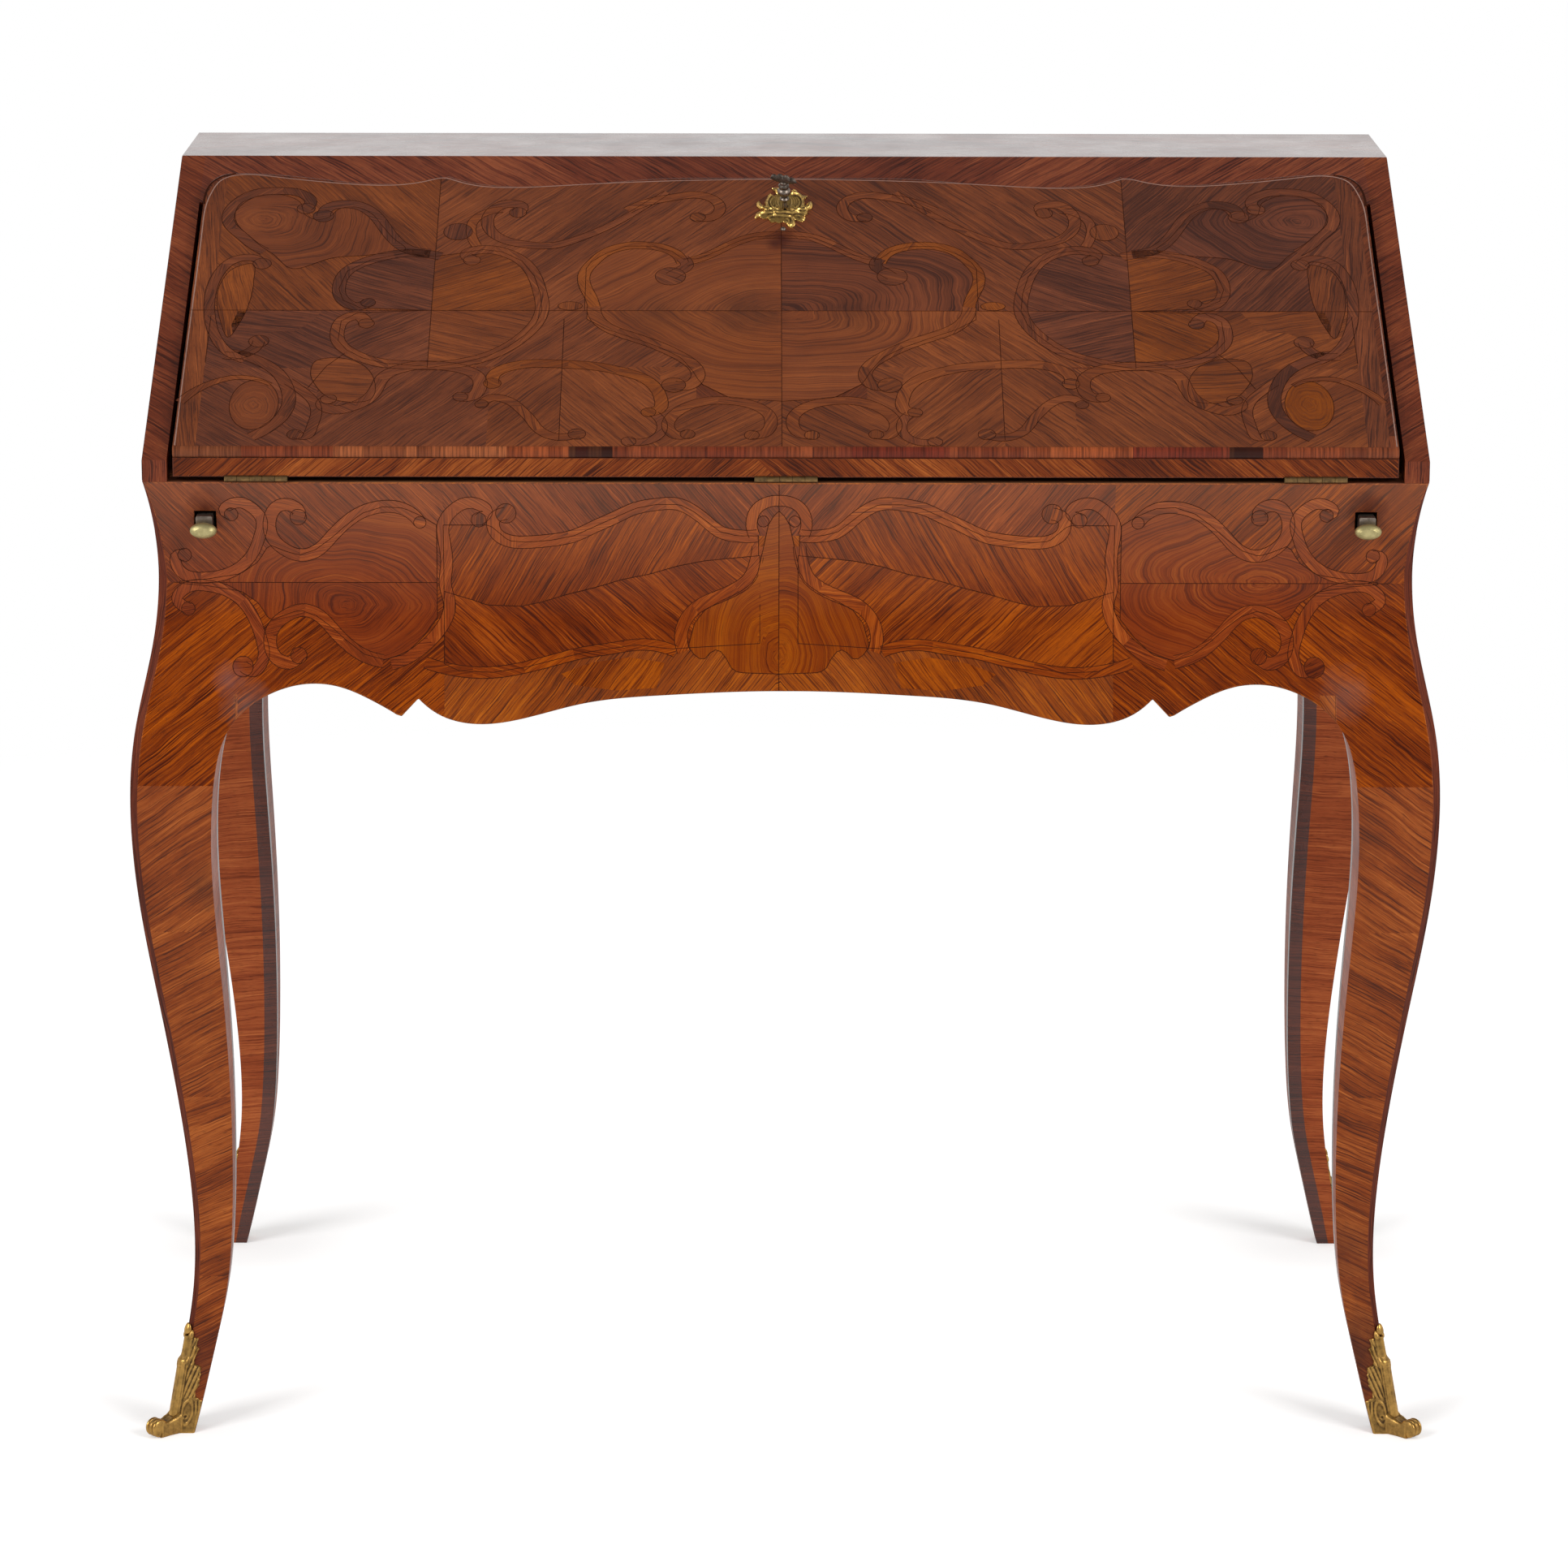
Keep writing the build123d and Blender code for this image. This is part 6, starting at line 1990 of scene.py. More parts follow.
    def front_edge(self) -> None:
        """Slanting veneers on the fall's upright front edge, pieced at odd places."""
        work = Marquetry(PlaneFace())
        low, high, end = 737.4, 750.6, FALL_HALF - 0.6
        joints = (
            -end, -402.0, -322.0, -287.0, -214.0, -120.0, -8.0, 62.0, 171.0, 236.0, 318.0, 377.0,
            end,
        )
        tones = (-0.3, 0.02, -0.14, 0.1, -0.06, 0.02, -0.22, -0.02, -0.12, -0.2, -0.08, -0.26)
        for number, (start, stop, tone) in enumerate(zip(joints[:-1], joints[1:], tones)):
            lean = (high - low) * (1.0 if start < -20 else -1.0)
            last = (high - low) * (1.0 if stop < -20 else -1.0)
            piece = (
                (start, low), (stop, low), (stop + (last if stop < end else 0.0), high),
                (start + (lean if start > -end else 0.0), high),
            )
            angle = 40.0 if start < -20 else -40.0
            work.plate(
                straight(piece, 5.0), Cut(angle=angle), Look(tone, 0.3, 120.0 + number),
                Level.GROUND,
            )
        settle(joined("fall_front_edge", (work.wood, EDGE_WOOD)), "fall", "tulipwood")

    def painted_lip_highlight_and_shadow(self) -> None:
        """Painted highlight and shadow on the lip: a pale line along its edge and down the fall's
        sides, and a dark line in the gap outside its corners.
        """
        work = Marquetry(FallFace())
        corner = ((446.8, 318.0), (446.4, 334.0), (443.0, 347.0), (435.6, 355.8), (425.0, 360.0))
        for side in (-1, 1):
            edge = np.array(
                [
                    *self.lip[:-2], (441.2, 338.0), (445.0, 318.0), (445.8, 290.0), (446.0, 150.0),
                    (446.0, 7.0),
                ]
            )
            edge[:, 0] *= side
            edge[:, 1] -= 0.5
            # Painted highlight: a pale line along the lip and down the fall's sides.
            work.line(through(edge, 320), 0.9, Level.STRING, work.bands, Look())
            dark = np.array(corner) * (side, 1)
            # Painted shadow: a dark line in the gap outside the lip's corner.
            work.line(through(dark, 40), 2.0, Level.EYE, work.string, Look(), taper=0.3)
        settle(
            joined("fall_lip_painted_highlight_and_shadow", (work.bands, LIP_PAINTED_HIGHLIGHT), (work.string, STRINGING_AND_PAINTED_SHADOW)), "fall",
            "tulipwood",
        )

    def build(self) -> None:
        """Lays both halves and joins them to one skin of wood and one of string."""
        work = Marquetry(FallFace())
        for side in (-1, 1):
            h = Half(work, side, self.middle)
            for part in (
                self.ground, self.heart, self.centre, self.crest, self.corner, self.lower_corner,
                self.foot,
            ):
                part(h)
        self.front_edge()
        self.painted_lip_highlight_and_shadow()
        veneers = joined(
            "fall_marquetry", (work.wood, TULIPWOOD), (work.bands, STRAP_WOOD),
            (work.oyster, OYSTER), merged=False,
        )
        settle(veneers, "fall", "tulipwood")
        settle(joined("fall_stringing", (work.string, STRINGING_AND_PAINTED_SHADOW)), "fall", "tulipwood")


@dataclass
class ApronMarquetry:
    """Mirrored scrollwork of the front, over the apron and both posts."""

    middle: float = -5.0
    seam: float = 656.5
    top: float = RAIL_Z - 1.2
    bore_half: float = 8.6
    knee: Tuple[float, ...] = (508.0, 516.0, 526.0, 536.0, 546.0, 556.0)

    def edge(self, h: Half, start: float, end: float) -> Array:
        """Lower edge of a sheet that goes down to the apron's shaped edge."""
        a = np.linspace(start, end, max(6, int((end - start) / 2.5)))
        away = np.abs(self.middle + h.side * a)
        return stacked(a, np.interp(away, LOWER_EDGE[:, 0], LOWER_EDGE[:, 1]) + 1.2)

    def outer(self, h: Half, z: Array) -> List[Tuple[float, float]]:
        """Points just inside the post's canted corner at some heights."""
        away = HALF_W - outer_in(z) - cant_width(z) - 0.6 - self.middle * h.side
        return list(zip(away.tolist(), z.tolist()))

    def chevrons(self, h: Half) -> None:
        """Feathered fields either side of the middle, under the long strap."""
        layer = Level.FIELD
        strap_line = (
            (15, 692), (31, 692), (43, 695), (53, 703), (63, 711), (73, 716), (90, 716), (105, 713),
            (120, 706), (135, 699), (150, 692), (167, 688.5), (185, 687), (198, 688), (212, 700),
            (246, 700),
        )
        spine = (
            (14, 677), (25, 676), (55, 673), (75, 669), (95, 663), (115, 659), (135, 653),
            (155, 648), (175, 642), (190, 639), (215, 640), (223, 643), (246, 650),
        )
        low = (
            (14, 612), (80, 608), (105, 611), (125, 608), (145, 605), (165, 600), (185, 595),
            (210, 591), (235, 592), (246, 597),
        )
        h.sheet(spine, strap_line, Cut(angle=-60), pair(81, 0, 0.3, 0, 0.3), layer)
        h.sheet(low, spine, Cut(angle=42), pair(82, -0.02, 0.2, 0.04, 0.4), layer)
        h.sheet(
            ((0, 692), *strap_line), flat_line(0, 246, self.top), Cut(angle=50),
            pair(83, -0.14, 0, -0.1, 0), layer, False,
        )
        h.seam(((0, 578), (0, self.top)))
        h.plate(
            ((84, 598), (110, 602), (138, 598), (160, 590), (150, 582), (120, 578), (90, 580)),
            Cut(angle=-52), pair(84, 0.24, 0.8, 0.2, 0.7), Level.GROUND, lined=False,
        )

    def corners(self, h: Half) -> None:
        """Fields over the posts, pieced round the lopers' bores."""
        off = self.middle * h.side
        left, right = (LOPER_X - off + half for half in (-self.bore_half, self.bore_half))
        bottom, top = (LOPER_Z + half for half in (-self.bore_half, self.bore_half))
        end = 446.5 - off * 0.5
        upper = pair(101, -0.06, 0, 0.02, 0.4)
        for start, stop, low, high in (
            (246, left, self.seam, self.top), (left, right, self.seam, bottom),
            (left, right, top, self.top),
        ):
            h.sheet(
                flat_line(start, stop, low), flat_line(start, stop, high), Cut(angle=45), upper,
                Level.GROUND, False,
            )
        h.sheet(
            self.edge(h, 246, 398), flat_line(246, 398, self.seam), Cut(angle=-38),
            Look(0.0, 0.3, 7.0), Level.GROUND, False,
        )
        over, below = np.linspace(self.seam, self.top, 12), np.linspace(self.seam, self.knee[0], 22)
        beside = self.outer(h, over)
        h.plate(
            ((right, self.seam), *beside, (right, self.top)), Cut(angle=45), upper, Level.GROUND,
            lined=False,
        )
        inner = [(HALF_W - inner_in(np.array([z]))[0] + 0.6 - off, z) for z in self.knee]
        knee = (*self.outer(h, below), *inner, (406.0 - off, 575.0), (398, 575), (398, self.seam))
        h.plate(knee, Cut(angle=-38), Look(0.0, 0.3, 7.0), Level.GROUND, lined=False)
        h.seam(((393, self.seam), (end, self.seam)))

    def spade(self, h: Half) -> None:
        """Figured spade with its narrow neck."""
        high = (
            (0, 711), (7, 704), (10, 690), (12, 680), (15, 665), (20, 656), (30, 649), (43, 643),
            (55, 636), (63, 625), (66, 612),
        )
        low = (
            (0, 590), (30, 591), (36, 595), (40, 604), (45, 608), (50, 606), (53, 601), (60, 601),
            (66, 609),
        )
        rings = Cut(Pattern.OYSTER, centre=(0, 602), squash=1.25)
        h.sheet(low, high, rings, pair(85, 0.12, 0.6, 0.06, 0.5), Level.PANEL)
        h.strap(
            (
                (15, 684), (17, 672), (22, 660), (32, 652), (45, 646), (58, 640), (68, 630),
                (72, 618), (70, 606),
            ),
            pair(86, -0.02, 0.2, -0.02, 0.2), width=8.5,
        )
        h.strap(
            ((18, 692), (20, 704), (16, 713), (8, 718), (0, 719)), pair(87, 0, 0.2, 0, 0.2),
            width=7.5,
        )
        h.disc((11.5, 703), 4.2, pair(88, -0.2, 0, -0.2, 0))

    def cartouche(self, h: Half) -> None:
        """Oyster cartouche at the side with its two scrolls."""
        left, right = Cut(Pattern.OYSTER, centre=(316, 640), squash=0.66), Cut(
            Pattern.OYSTER, centre=(356, self.seam), squash=0.55
        )
        rings = left if h.side < 0 else right
        high = (
            (251, 700), (262, 707), (275, 713), (290, 714), (305, 709), (318, 699), (328, 690),
            (340, 681), (352, 677), (362, 680), (374, 685), (382, 672), (395, 663), (420, 659),
            (440, 657.2),
        )
        low = tuple((a, 2 * self.seam - b) for a, b in high)
        low = ((251, 630), (262, 616), (275, 604), (290, 600), (305, 604)) + low[5:]
        h.sheet(
            flat_line(251, 440, self.seam), high, rings, pair(91, 0.02, 0.1, 0.04, 0.1), Level.PANEL
        )
        h.sheet(
            low, flat_line(251, 440, self.seam), rings, pair(92, -0.08, 0.1, -0.02, 0.1),
            Level.PANEL,
        )
        scroll = (
            (352, 706), (351, 709), (357, 715), (367, 714), (373, 703), (371, 690), (362, 681),
            (350, 677), (338, 681), (328, 691), (317, 702), (305, 710), (291, 714), (277, 713),
            (267, 707), (263, 702),
        )
        h.strap(scroll, pair(93, -0.04, 0.1, -0.02, 0.1), width=8.5, eye=4.5, start_eye=6)
        under = (
            (353, 603), (359, 598), (368, 600), (374, 611), (371, 624), (362, 632), (350, 636),
            (338, 632), (328, 622), (317, 611), (305, 603), (291, 599),
        )
        h.strap(under, pair(94, -0.1, 0.1, -0.06, 0.1), width=8.5, start_eye=6)
        h.strap(
            (
                (220, 704), (214, 711), (224, 717), (238, 712), (246, 700), (245, 685), (244, 668),
                (245, 655), (242, 640), (247, 625), (257, 613), (270, 603), (285, 597),
            ),
            pair(95, -0.06, 0.1, -0.02, 0.1), width=8, start_eye=5.5,
        )
        h.strap(
            (
                (401, 708), (406, 711), (397, 717), (387, 714), (379, 704), (381, 690), (385, 680),
                (393, 670), (405, 663), (420, 660), (433, 661), (441, 667), (442, 676), (436, 677),
            ),
            pair(96, -0.1, 0, -0.04, 0.1), width=7.5, eye=5, start_eye=5,
        )
        h.strap(
            (
                (434, 637), (442, 645), (434, 653), (420, 654), (405, 650), (393, 641), (385, 628),
                (380, 613), (379, 601), (385, 592), (394, 595),
            ),
            pair(97, -0.12, 0, -0.06, 0.1), width=7.5, eye=7.5, start_eye=5,
        )

    def straps(self, h: Half) -> None:
        """Long strap under the case and the lower one over the shaped edge."""
        upper = (
            (200, 709), (209, 704), (208, 695), (198, 688), (185, 687), (167, 688.5), (150, 692),
            (135, 699), (120, 706), (105, 713), (90, 716), (73, 716), (63, 711), (53, 703),
            (43, 695), (31, 692), (16, 692),
        )
        h.strap(upper, pair(98, -0.02, 0.2, 0.02, 0.2), width=8.5, start_eye=7.5)
        lower = (
            (76, 606), (88, 610), (105, 611), (125, 608), (145, 605), (165, 600), (185, 595),
            (210, 591), (235, 592), (260, 598),
        )
        h.strap(lower, pair(99, -0.02, 0.3, 0, 0.3), width=7.5)

    def build(self) -> None:
        """Lays both halves and joins them to one skin of wood and one of string."""
        work = Marquetry(FrontFace())
        for side in (-1, 1):
            h = Half(work, side, self.middle)
            for part in (self.corners, self.chevrons, self.cartouche, self.spade, self.straps):
                part(h)
        skins = (work.wood, TULIPWOOD_FRONT), (work.bands, STRAP_FRONT), (work.oyster, OYSTER_FRONT)
        veneers = joined("apron_marquetry", *skins, merged=False)
        settle(veneers, "carcass", "tulipwood")
        settle(joined("apron_stringing", (work.string, STRINGING_AND_PAINTED_SHADOW)), "carcass", "tulipwood")


@dataclass
class SideMarquetry:
    """Quartered veneer of a case side in its crossbanding, and scrolls down to the apron."""

    side: int
    middle: Tuple[float, float] = (60.0, 812.0)

    def case(self, work: Marquetry) -> None:
        """Crossbanding round the sloping side and four quarters inside it."""
        bands = (
            (((-249, 734.5), (249, 734.5), (228, 756), (-186.5, 756), (-249, 748.4)), 90.0),
            (((249, 734.5), (249, 925), (228, 904), (228, 756)), 0.0),
            (((249, 925), (106, 925), (111.2, 904), (228, 904)), 90.0),
            (((-249, 748.4), (-186.5, 756), (111.2, 904), (106, 925)), 116.4),
        )
        quarters = (
            (((-186.5, 756), (60, 756), (60, 812), (-73.9, 812)), 40.0),
            (((60, 756), (228, 756), (228, 812), (60, 812)), -40.0),
            (((-73.9, 812), (60, 812), (60, 878.6)), -40.0),
            (((60, 812), (228, 812), (228, 904), (111.2, 904), (60, 878.6)), 40.0),
        )
        for number, (shape, angle) in enumerate(bands + quarters):
            outline = straight(shape, 5.0)
            tone = -0.16 if number < len(bands) else 0.03 * (-1) ** number
            work.plate(outline, Cut(angle=angle), Look(tone, 0.2, 140.0 + number), Level.GROUND)
            work.outline(outline)

    def cartouche(self, work: Marquetry) -> None:
        """Figured oval at the meeting of the quarters, with four scrolls round it."""
        turn = full_turn(40)
        radius = 1 + 0.1 * np.cos(4 * turn)
        y, z = self.middle
        oval = stacked(y + 50 * radius * np.cos(turn), z + 33 * radius * np.sin(turn))
        rings = Cut(Pattern.OYSTER, centre=(y - 8, z + 3), squash=0.7)
        work.plate(oval, rings, Look(0.06, 0.3, 150.0), Level.PANEL)
        work.outline(oval)
        scroll = np.array(
            ((0, 40), (22, 41), (42, 34), (54, 21), (66, 11), (79, 9), (85, 16)), float
        )
        for across in (-1, 1):
            for up in (-1, 1):
                path = np.array(self.middle) + scroll * (across, up)
                work.strap(path, Look(-0.1, 0.1, 152.0 + across + 0.3 * up), width=7.5, eye=5.0)

    def apron(self, work: Marquetry) -> None:
        """Straps over the shaped edge and scrolls under the case."""
        lower = ((0, 589), (28, 587), (62, 591), (105, 601), (140, 600), (166, 590), (184, 575))
        upper = (
            (12, 704), (30, 712), (52, 708), (72, 694), (96, 684), (124, 684), (148, 694),
            (168, 708), (186, 712), (198, 702), (192, 692),
        )
        inner = (
            (14, 640), (34, 652), (58, 655), (82, 647), (104, 634), (128, 628), (148, 636),
            (150, 650), (138, 656),
        )
        for side in (-1, 1):
            h = Half(work, side, 0.0)
            h.strap(lower, Look(-0.06, 0.2, 161), width=7.5)
            h.strap(upper, Look(-0.04, 0.2, 162), width=8.0, eye=5.5, start_eye=6.0)
            h.strap(inner, Look(0.0, 0.2, 163), width=7.5, eye=5.0, start_eye=5.5)
            h.plate(
                ((0, 672), (16, 668), (30, 656), (34, 640), (28, 624), (14, 612), (0, 606)),
                Cut(Pattern.OYSTER, centre=(0, 636), squash=1.2), Look(0.1, 0.4, 164), Level.PANEL,
            )

    def build(self) -> None:
        """Lays the side and makes it one piece of veneer and one of string."""
        work = Marquetry(SideFace(self.side))
        for part in (self.case, self.cartouche, self.apron):
            part(work)
        name = "left" if self.side < 0 else "right"
        skins = (work.wood, SIDE_WOOD), (work.bands, SIDE_STRAP), (work.oyster, SIDE_OYSTER)
        settle(joined(f"side_marquetry_{name}", *skins, merged=False), "carcass", "tulipwood")
        settle(joined(f"side_stringing_{name}", (work.string, STRINGING_AND_PAINTED_SHADOW)), "carcass", "tulipwood")


# ---------------------------------------------------------------------- mounts
def revolved(profile: Array, turns: int = 32) -> Array:
    """Grid of a profile of (height, radius) turned round an upright axis."""
    angle = full_turn(turns)
    height, radius = profile[:, :1], profile[:, 1:]
    return stacked(radius * np.cos(angle), radius * np.sin(angle), height)


def drawn_ends(rings: Array) -> Array:
    """Rings with one more at each end, drawn to its middle."""
    first, last = (
        np.broadcast_to(ring.mean(axis=0), ring.shape)[None]
        for ring in (rings[0], rings[-1])
    )
    return np.concatenate([first, rings, last])


def ridge(a: Array, b: Array, path: Points, width: float) -> Array:
    """Height from 0 to 1 of a rounded ridge along a smooth path, by distance from it."""
    line = through(path, 60)
    away = np.hypot(a[..., None] - line[:, 0], b[..., None] - line[:, 1]).min(axis=-1)
    return hill(away, 0, width)


@dataclass
class Sabot(Corner):
    """Gilt shoe of a leg: leaf plate round the corner, reeded toe and finial buds.

    The plate is measured round the leg's outer corner and up it. A reed and a
    volute run along the corner, leaves spread on both faces, and an oval boss
    round a nail's hole sits on each.
    """

    round: float = 3.0
    height: float = 73.0
    reach: Points = (
        (0.0, 40.0), (22.5, 40.0), (23.2, 21.0), (24.4, 19.5), (24.8, 17.6), (26.0, 16.6),
        (27.0, 14.0), (31.0, 13.2), (34.0, 14.4), (36.0, 15.6), (37.0, 14.7), (40.0, 15.8),
        (41.2, 14.8), (44.0, 15.8), (45.2, 14.6), (49.6, 14.6), (50.6, 12.4), (51.4, 9.4),
        (55.0, 8.8), (58.0, 9.4), (60.0, 9.8), (63.6, 11.2), (64.8, 8.8), (68.0, 8.4), (70.6, 9.0),
        (71.8, 6.6), (73.0, 2.0),
    )
    thick: float = 1.35
    reed_half: float = 4.4
    reed_top: float = 54.0
    reed_pitch: float = 2.9
    volute_z: float = 54.4
    leaf_z: float = 25.0
    boss: Tuple[float, float] = (9.6, 15.5)
    boss_half: Tuple[float, float] = (4.3, 9.6)
    hole: Tuple[float, float] = (9.0, 12.2)
    sunk: float = 0.4
    toe_middle: float = 12.4
    toe_z: float = 7.2
    toe_half: float = 6.3
    roll_radius: float = 4.7
    lobe: float = 2.3
    neck_start: float = -6.0
    buds: Points = (
        (0.0, 78.6, 2.3, 4.3, 1.5), (-3.1, 74.0, 1.9, 3.6, 1.0), (3.1, 74.0, 1.9, 3.6, 1.0)
    )

    def round_corner(self, d: Array, z: Array, off: Array) -> Array:
        """Point d round the corner at height z, lifted by off.

        Within an eighth of a turn either way the base is an arc of the corner's
        radius. Beyond, it runs straight along the face.
        """
        inset = outer_in(z)
        arc = self.round * math.pi / 4
        turn = np.clip(d, -arc, arc) / self.round
        rest = d - np.clip(d, -arc, arc)
        way_x, way_y = -np.sin(math.pi / 4 - turn), -np.sin(math.pi / 4 + turn)
        across = inset + self.round + (self.round + off) * way_x + np.maximum(rest, 0)
        along = inset + self.round + (self.round + off) * way_y + np.maximum(-rest, 0)
        return self.point(across, along, z)

    def relief(self, d: Array, z: Array, share: Array) -> Array:
        """Height of the cast plate.

        A grooved reed runs up the corner to a volute with a small knob at each side.
        Veined leaves spread from it, a bud stands above it, an oval ring round a nail's
        hole lies on each face below, and flutes reach out from that.

        Args:
            d: distance round the corner.
            z: height over the floor.
            share: distance round the corner as a share of the plate's reach.

        Returns:
            The height over the leg.
        """
        a = np.abs(d)
        stem = np.clip(1 - (a / self.reed_half) ** 4, 0, 1) * rise(z, self.reed_top, -3)
        grooves = 0.5 - 0.5 * wave(a / self.reed_pitch)
        height = self.thick + stem * (2.3 - (1 - grooves) * np.clip(a / 1.2, 0, 1))
        height += 2.7 * hill(z, self.volute_z, 2.7) * hill(a, 0, 4.6, 4)
        height += 1.0 * hill(z, self.volute_z - 3.9, 1.8) * hill(a, 4.6, 1.6)
        leafy = rise(a, 4.2, 1.5) * rise(z, self.leaf_z, 3)
        height += 0.34 * leafy * wave(a * 0.30 - (z - self.leaf_z) * 0.085)
        upper = rise(z, self.volute_z + 1.6, 3)
        height += upper * (0.9 * hill(a, 0, 2.4) + 0.25 * wave(a / 3.4))
        (boss_a, boss_z), (half_a, half_z) = self.boss, self.boss_half
        boss = np.hypot((a - boss_a) / half_a, (z - boss_z) / half_z)
        height += 0.75 * hill(boss, 0.92, 0.16) - 0.25 * hill(boss, 0, 0.6)
        height -= 1.3 * hill(np.hypot(a - self.hole[0], z - self.hole[1]), 0, 0.95, 4)
        flutes = rise(a, 13.5, 1.5) * rise(z, 12, 6)
        height += 0.3 * flutes * wave(a / 2.7 + z * 0.06) + 0.3 * hill(z, 1.6, 1.6)
        rim = np.clip((1 - np.abs(share)) * 16, 0, 1)
        return np.maximum(height * (0.4 + 0.6 * rim), 0.25)

    def plate(self, skin: Skin) -> None:
        """Leaf plate, its edge turned down into the leg."""
        z = np.linspace(0, self.height, 128)[:, None]
        reach = np.asarray(self.reach)
        full = inner_in(z) - outer_in(z) - self.round + self.round * math.pi / 4 - 0.2
        wide = np.minimum(np.interp(z, reach[:, 0], reach[:, 1]), full)
        even = np.linspace(-1, 1, 67)[None]
        share = 0.35 * np.sin(even * math.pi / 2) + 0.65 * even
        d = wide * share
        level = np.broadcast_to(z, d.shape)
        body = self.round_corner(d, level, self.relief(d, z, np.broadcast_to(share, d.shape)))
        sunk = self.round_corner(d, level, np.full(d.shape, -self.sunk))
        grid = np.concatenate([sunk[:1], body, sunk[-1:]])
        rows = [0, *range(len(sunk)), -1]
        grid = np.concatenate([sunk[rows, :1], grid, sunk[rows, -1:]], axis=1)
        skin.cast(grid, np.array([self.side, self.end, 0]))

    def lobes(self, w: Array) -> Array:
        """Three rounded reeds across the toe, from 0 in a groove to 1 on a crest."""
        third = self.toe_half * 2 / 3
        place = np.abs((w + self.toe_half) / third % 1.0 - 0.5) * 2
        return np.sqrt(np.clip(1 - place**2, 0, 1))

    def out(self, u: Array, w: Array, z: Array) -> Array:
        """Point u out along the corner's diagonal and w across it."""
        start = outer_in(np.zeros(1))[0]
        across = start - u / math.sqrt(2) + w / math.sqrt(2)
        along = start - u / math.sqrt(2) - w / math.sqrt(2)
        return self.point(across, along, z)

    def toe(self, skin: Skin) -> None:
        """Reeded roll at the tip, and the neck that joins it to the plate."""
        w = np.linspace(-self.toe_half, self.toe_half, 49)
        dome = np.sqrt(np.clip(1 - (np.abs(w) / self.toe_half) ** 8, 0, 1))
        radius = (self.roll_radius + self.lobe * self.lobes(w)) * np.clip(dome, 0.02, 1)
        turn = full_turn(44)
        swirl = radius[:, None] * (1 + 0.05 * np.cos(turn - 0.9))
        u = self.toe_middle + swirl * np.cos(turn)
        z = np.maximum(self.toe_z + swirl * np.sin(turn), 0.0)
        self.closed_tube(skin, self.out(u, np.broadcast_to(w[:, None], u.shape), z))
        u = np.linspace(self.neck_start, self.toe_middle, 22)
        half = self.toe_half + 1.6 * rise(u, 4, -10)
        top = 13.2 + 3.0 * rise(u, 1.5, -7) ** 2 - 1.6 * np.sin(rise(u, 1, 10) * math.pi)
        turn = full_turn(60)
        square = [np.sign(part) * np.abs(part) ** 0.45 for part in (np.cos(turn), np.sin(turn))]
        w = half[:, None] * square[0]
        even = np.clip(w * self.toe_half / half[:, None], -self.toe_half, self.toe_half)
        reed = np.where(square[1] > 0.4, 0.9 * self.lobes(even * 0.999), 0)
        z = np.maximum(top[:, None] / 2 * (1 + square[1]) - 0.9 + reed, 0.0)
        self.closed_tube(skin, self.out(np.broadcast_to(u[:, None], w.shape), w, z))

    def closed_tube(self, skin: Skin, rings: Array) -> None:
        """Adds rings of points with both ends drawn to their middles, facing outwards."""
        grid = drawn_ends(rings)
        across = np.roll(rings, -1, axis=1) - rings
        up = np.gradient(rings, axis=0)
        outward = (np.cross(across, up) * (rings - rings.mean(axis=(0, 1)))).sum()
        skin.cast(grid[:, ::-1] if outward < 0 else grid, ring=True)

    def bud(
        self, skin: Skin, d: float, z: float, half_width: float, half_height: float, stand: float
    ) -> None:
        """Drop-shaped bud standing off the corner."""
        rows, turn = np.linspace(0.02, math.pi - 0.02, 16)[:, None], full_turn(20)
        swell = np.sin(rows) * (1 + 0.25 * np.cos(rows))
        level = z - half_height * np.cos(rows) + 0 * turn
        off = stand + 1.7 * swell * np.sin(turn)
        self.closed_tube(skin, self.round_corner(d + half_width * swell * np.cos(turn), level, off))

    def build(self) -> None:
        """Makes the shoe."""
        skin = Skin()
        self.plate(skin)
        self.toe(skin)
        for bud in self.buds:
            self.bud(skin, *bud)
        shoe = joined(f"sabot_{self.label}_cast", (skin, GILT))
        settle(shoe, "carcass", "gilt_bronze", f"sabot_{self.label}")


KEYHOLE = 313.97  # up the slope from the case's corner
# height, half width and path of each ridge of the escutcheon: C-scrolls, leaves, veins
MIRRORED_RIDGES = (
    (
        1.7, 1.25,
        ((6, 17.5), (10.4, 15.6), (13.6, 9), (13.6, 1), (10.6, -4.4), (6.4, -5.4), (4.6, -2)),
    ),
    (0.9, 0.8, ((9, 12.5), (11, 8), (10.8, 2), (8, -1.6), (6.2, 0.4))),
    (1.3, 1.3, ((13.5, -4.8), (17.5, -2.6), (19.8, 1.6), (20.2, 5.4))),
    (0.7, 0.7, ((14.5, -1.4), (17.4, 1.8), (18.4, 4.6))),
    (1.3, 1.35, ((9.5, -8.8), (14, -8.2), (18.4, -9.4), (21.4, -13))),
    (0.9, 1.1, ((8.6, -12), (11.8, -13), (13.2, -16.6))),
    (1.4, 1.1, ((5.5, 20), (7.2, 21.4), (8.8, 18.6))),
    *((0.55, 0.5, ((a - 1.6, 12.5), (a, 7.5), (a - 0.8, 1.0))) for a in (5.6, 7.4, 9.2)),
    *((0.45, 0.45, ((16.0, b + 1.2), (18.6, b + 0.6), (21.0, b + 2.0))) for b in (-9.6, -7.2, -4.6))
)
RIDGES = (
    (1.6, 1.2, ((-8.6, -7.2), (-4, -8.4), (0, -8.2), (4.6, -9), (9, -8))),
    (1.3, 1.3, ((-7.6, -12), (-1, -12.4), (5.2, -14.2), (6.2, -18.6), (4.6, -24.6))),
    (0.8, 0.8, ((2.2, -24), (3.2, -19.6), (1.6, -16.4))),
)


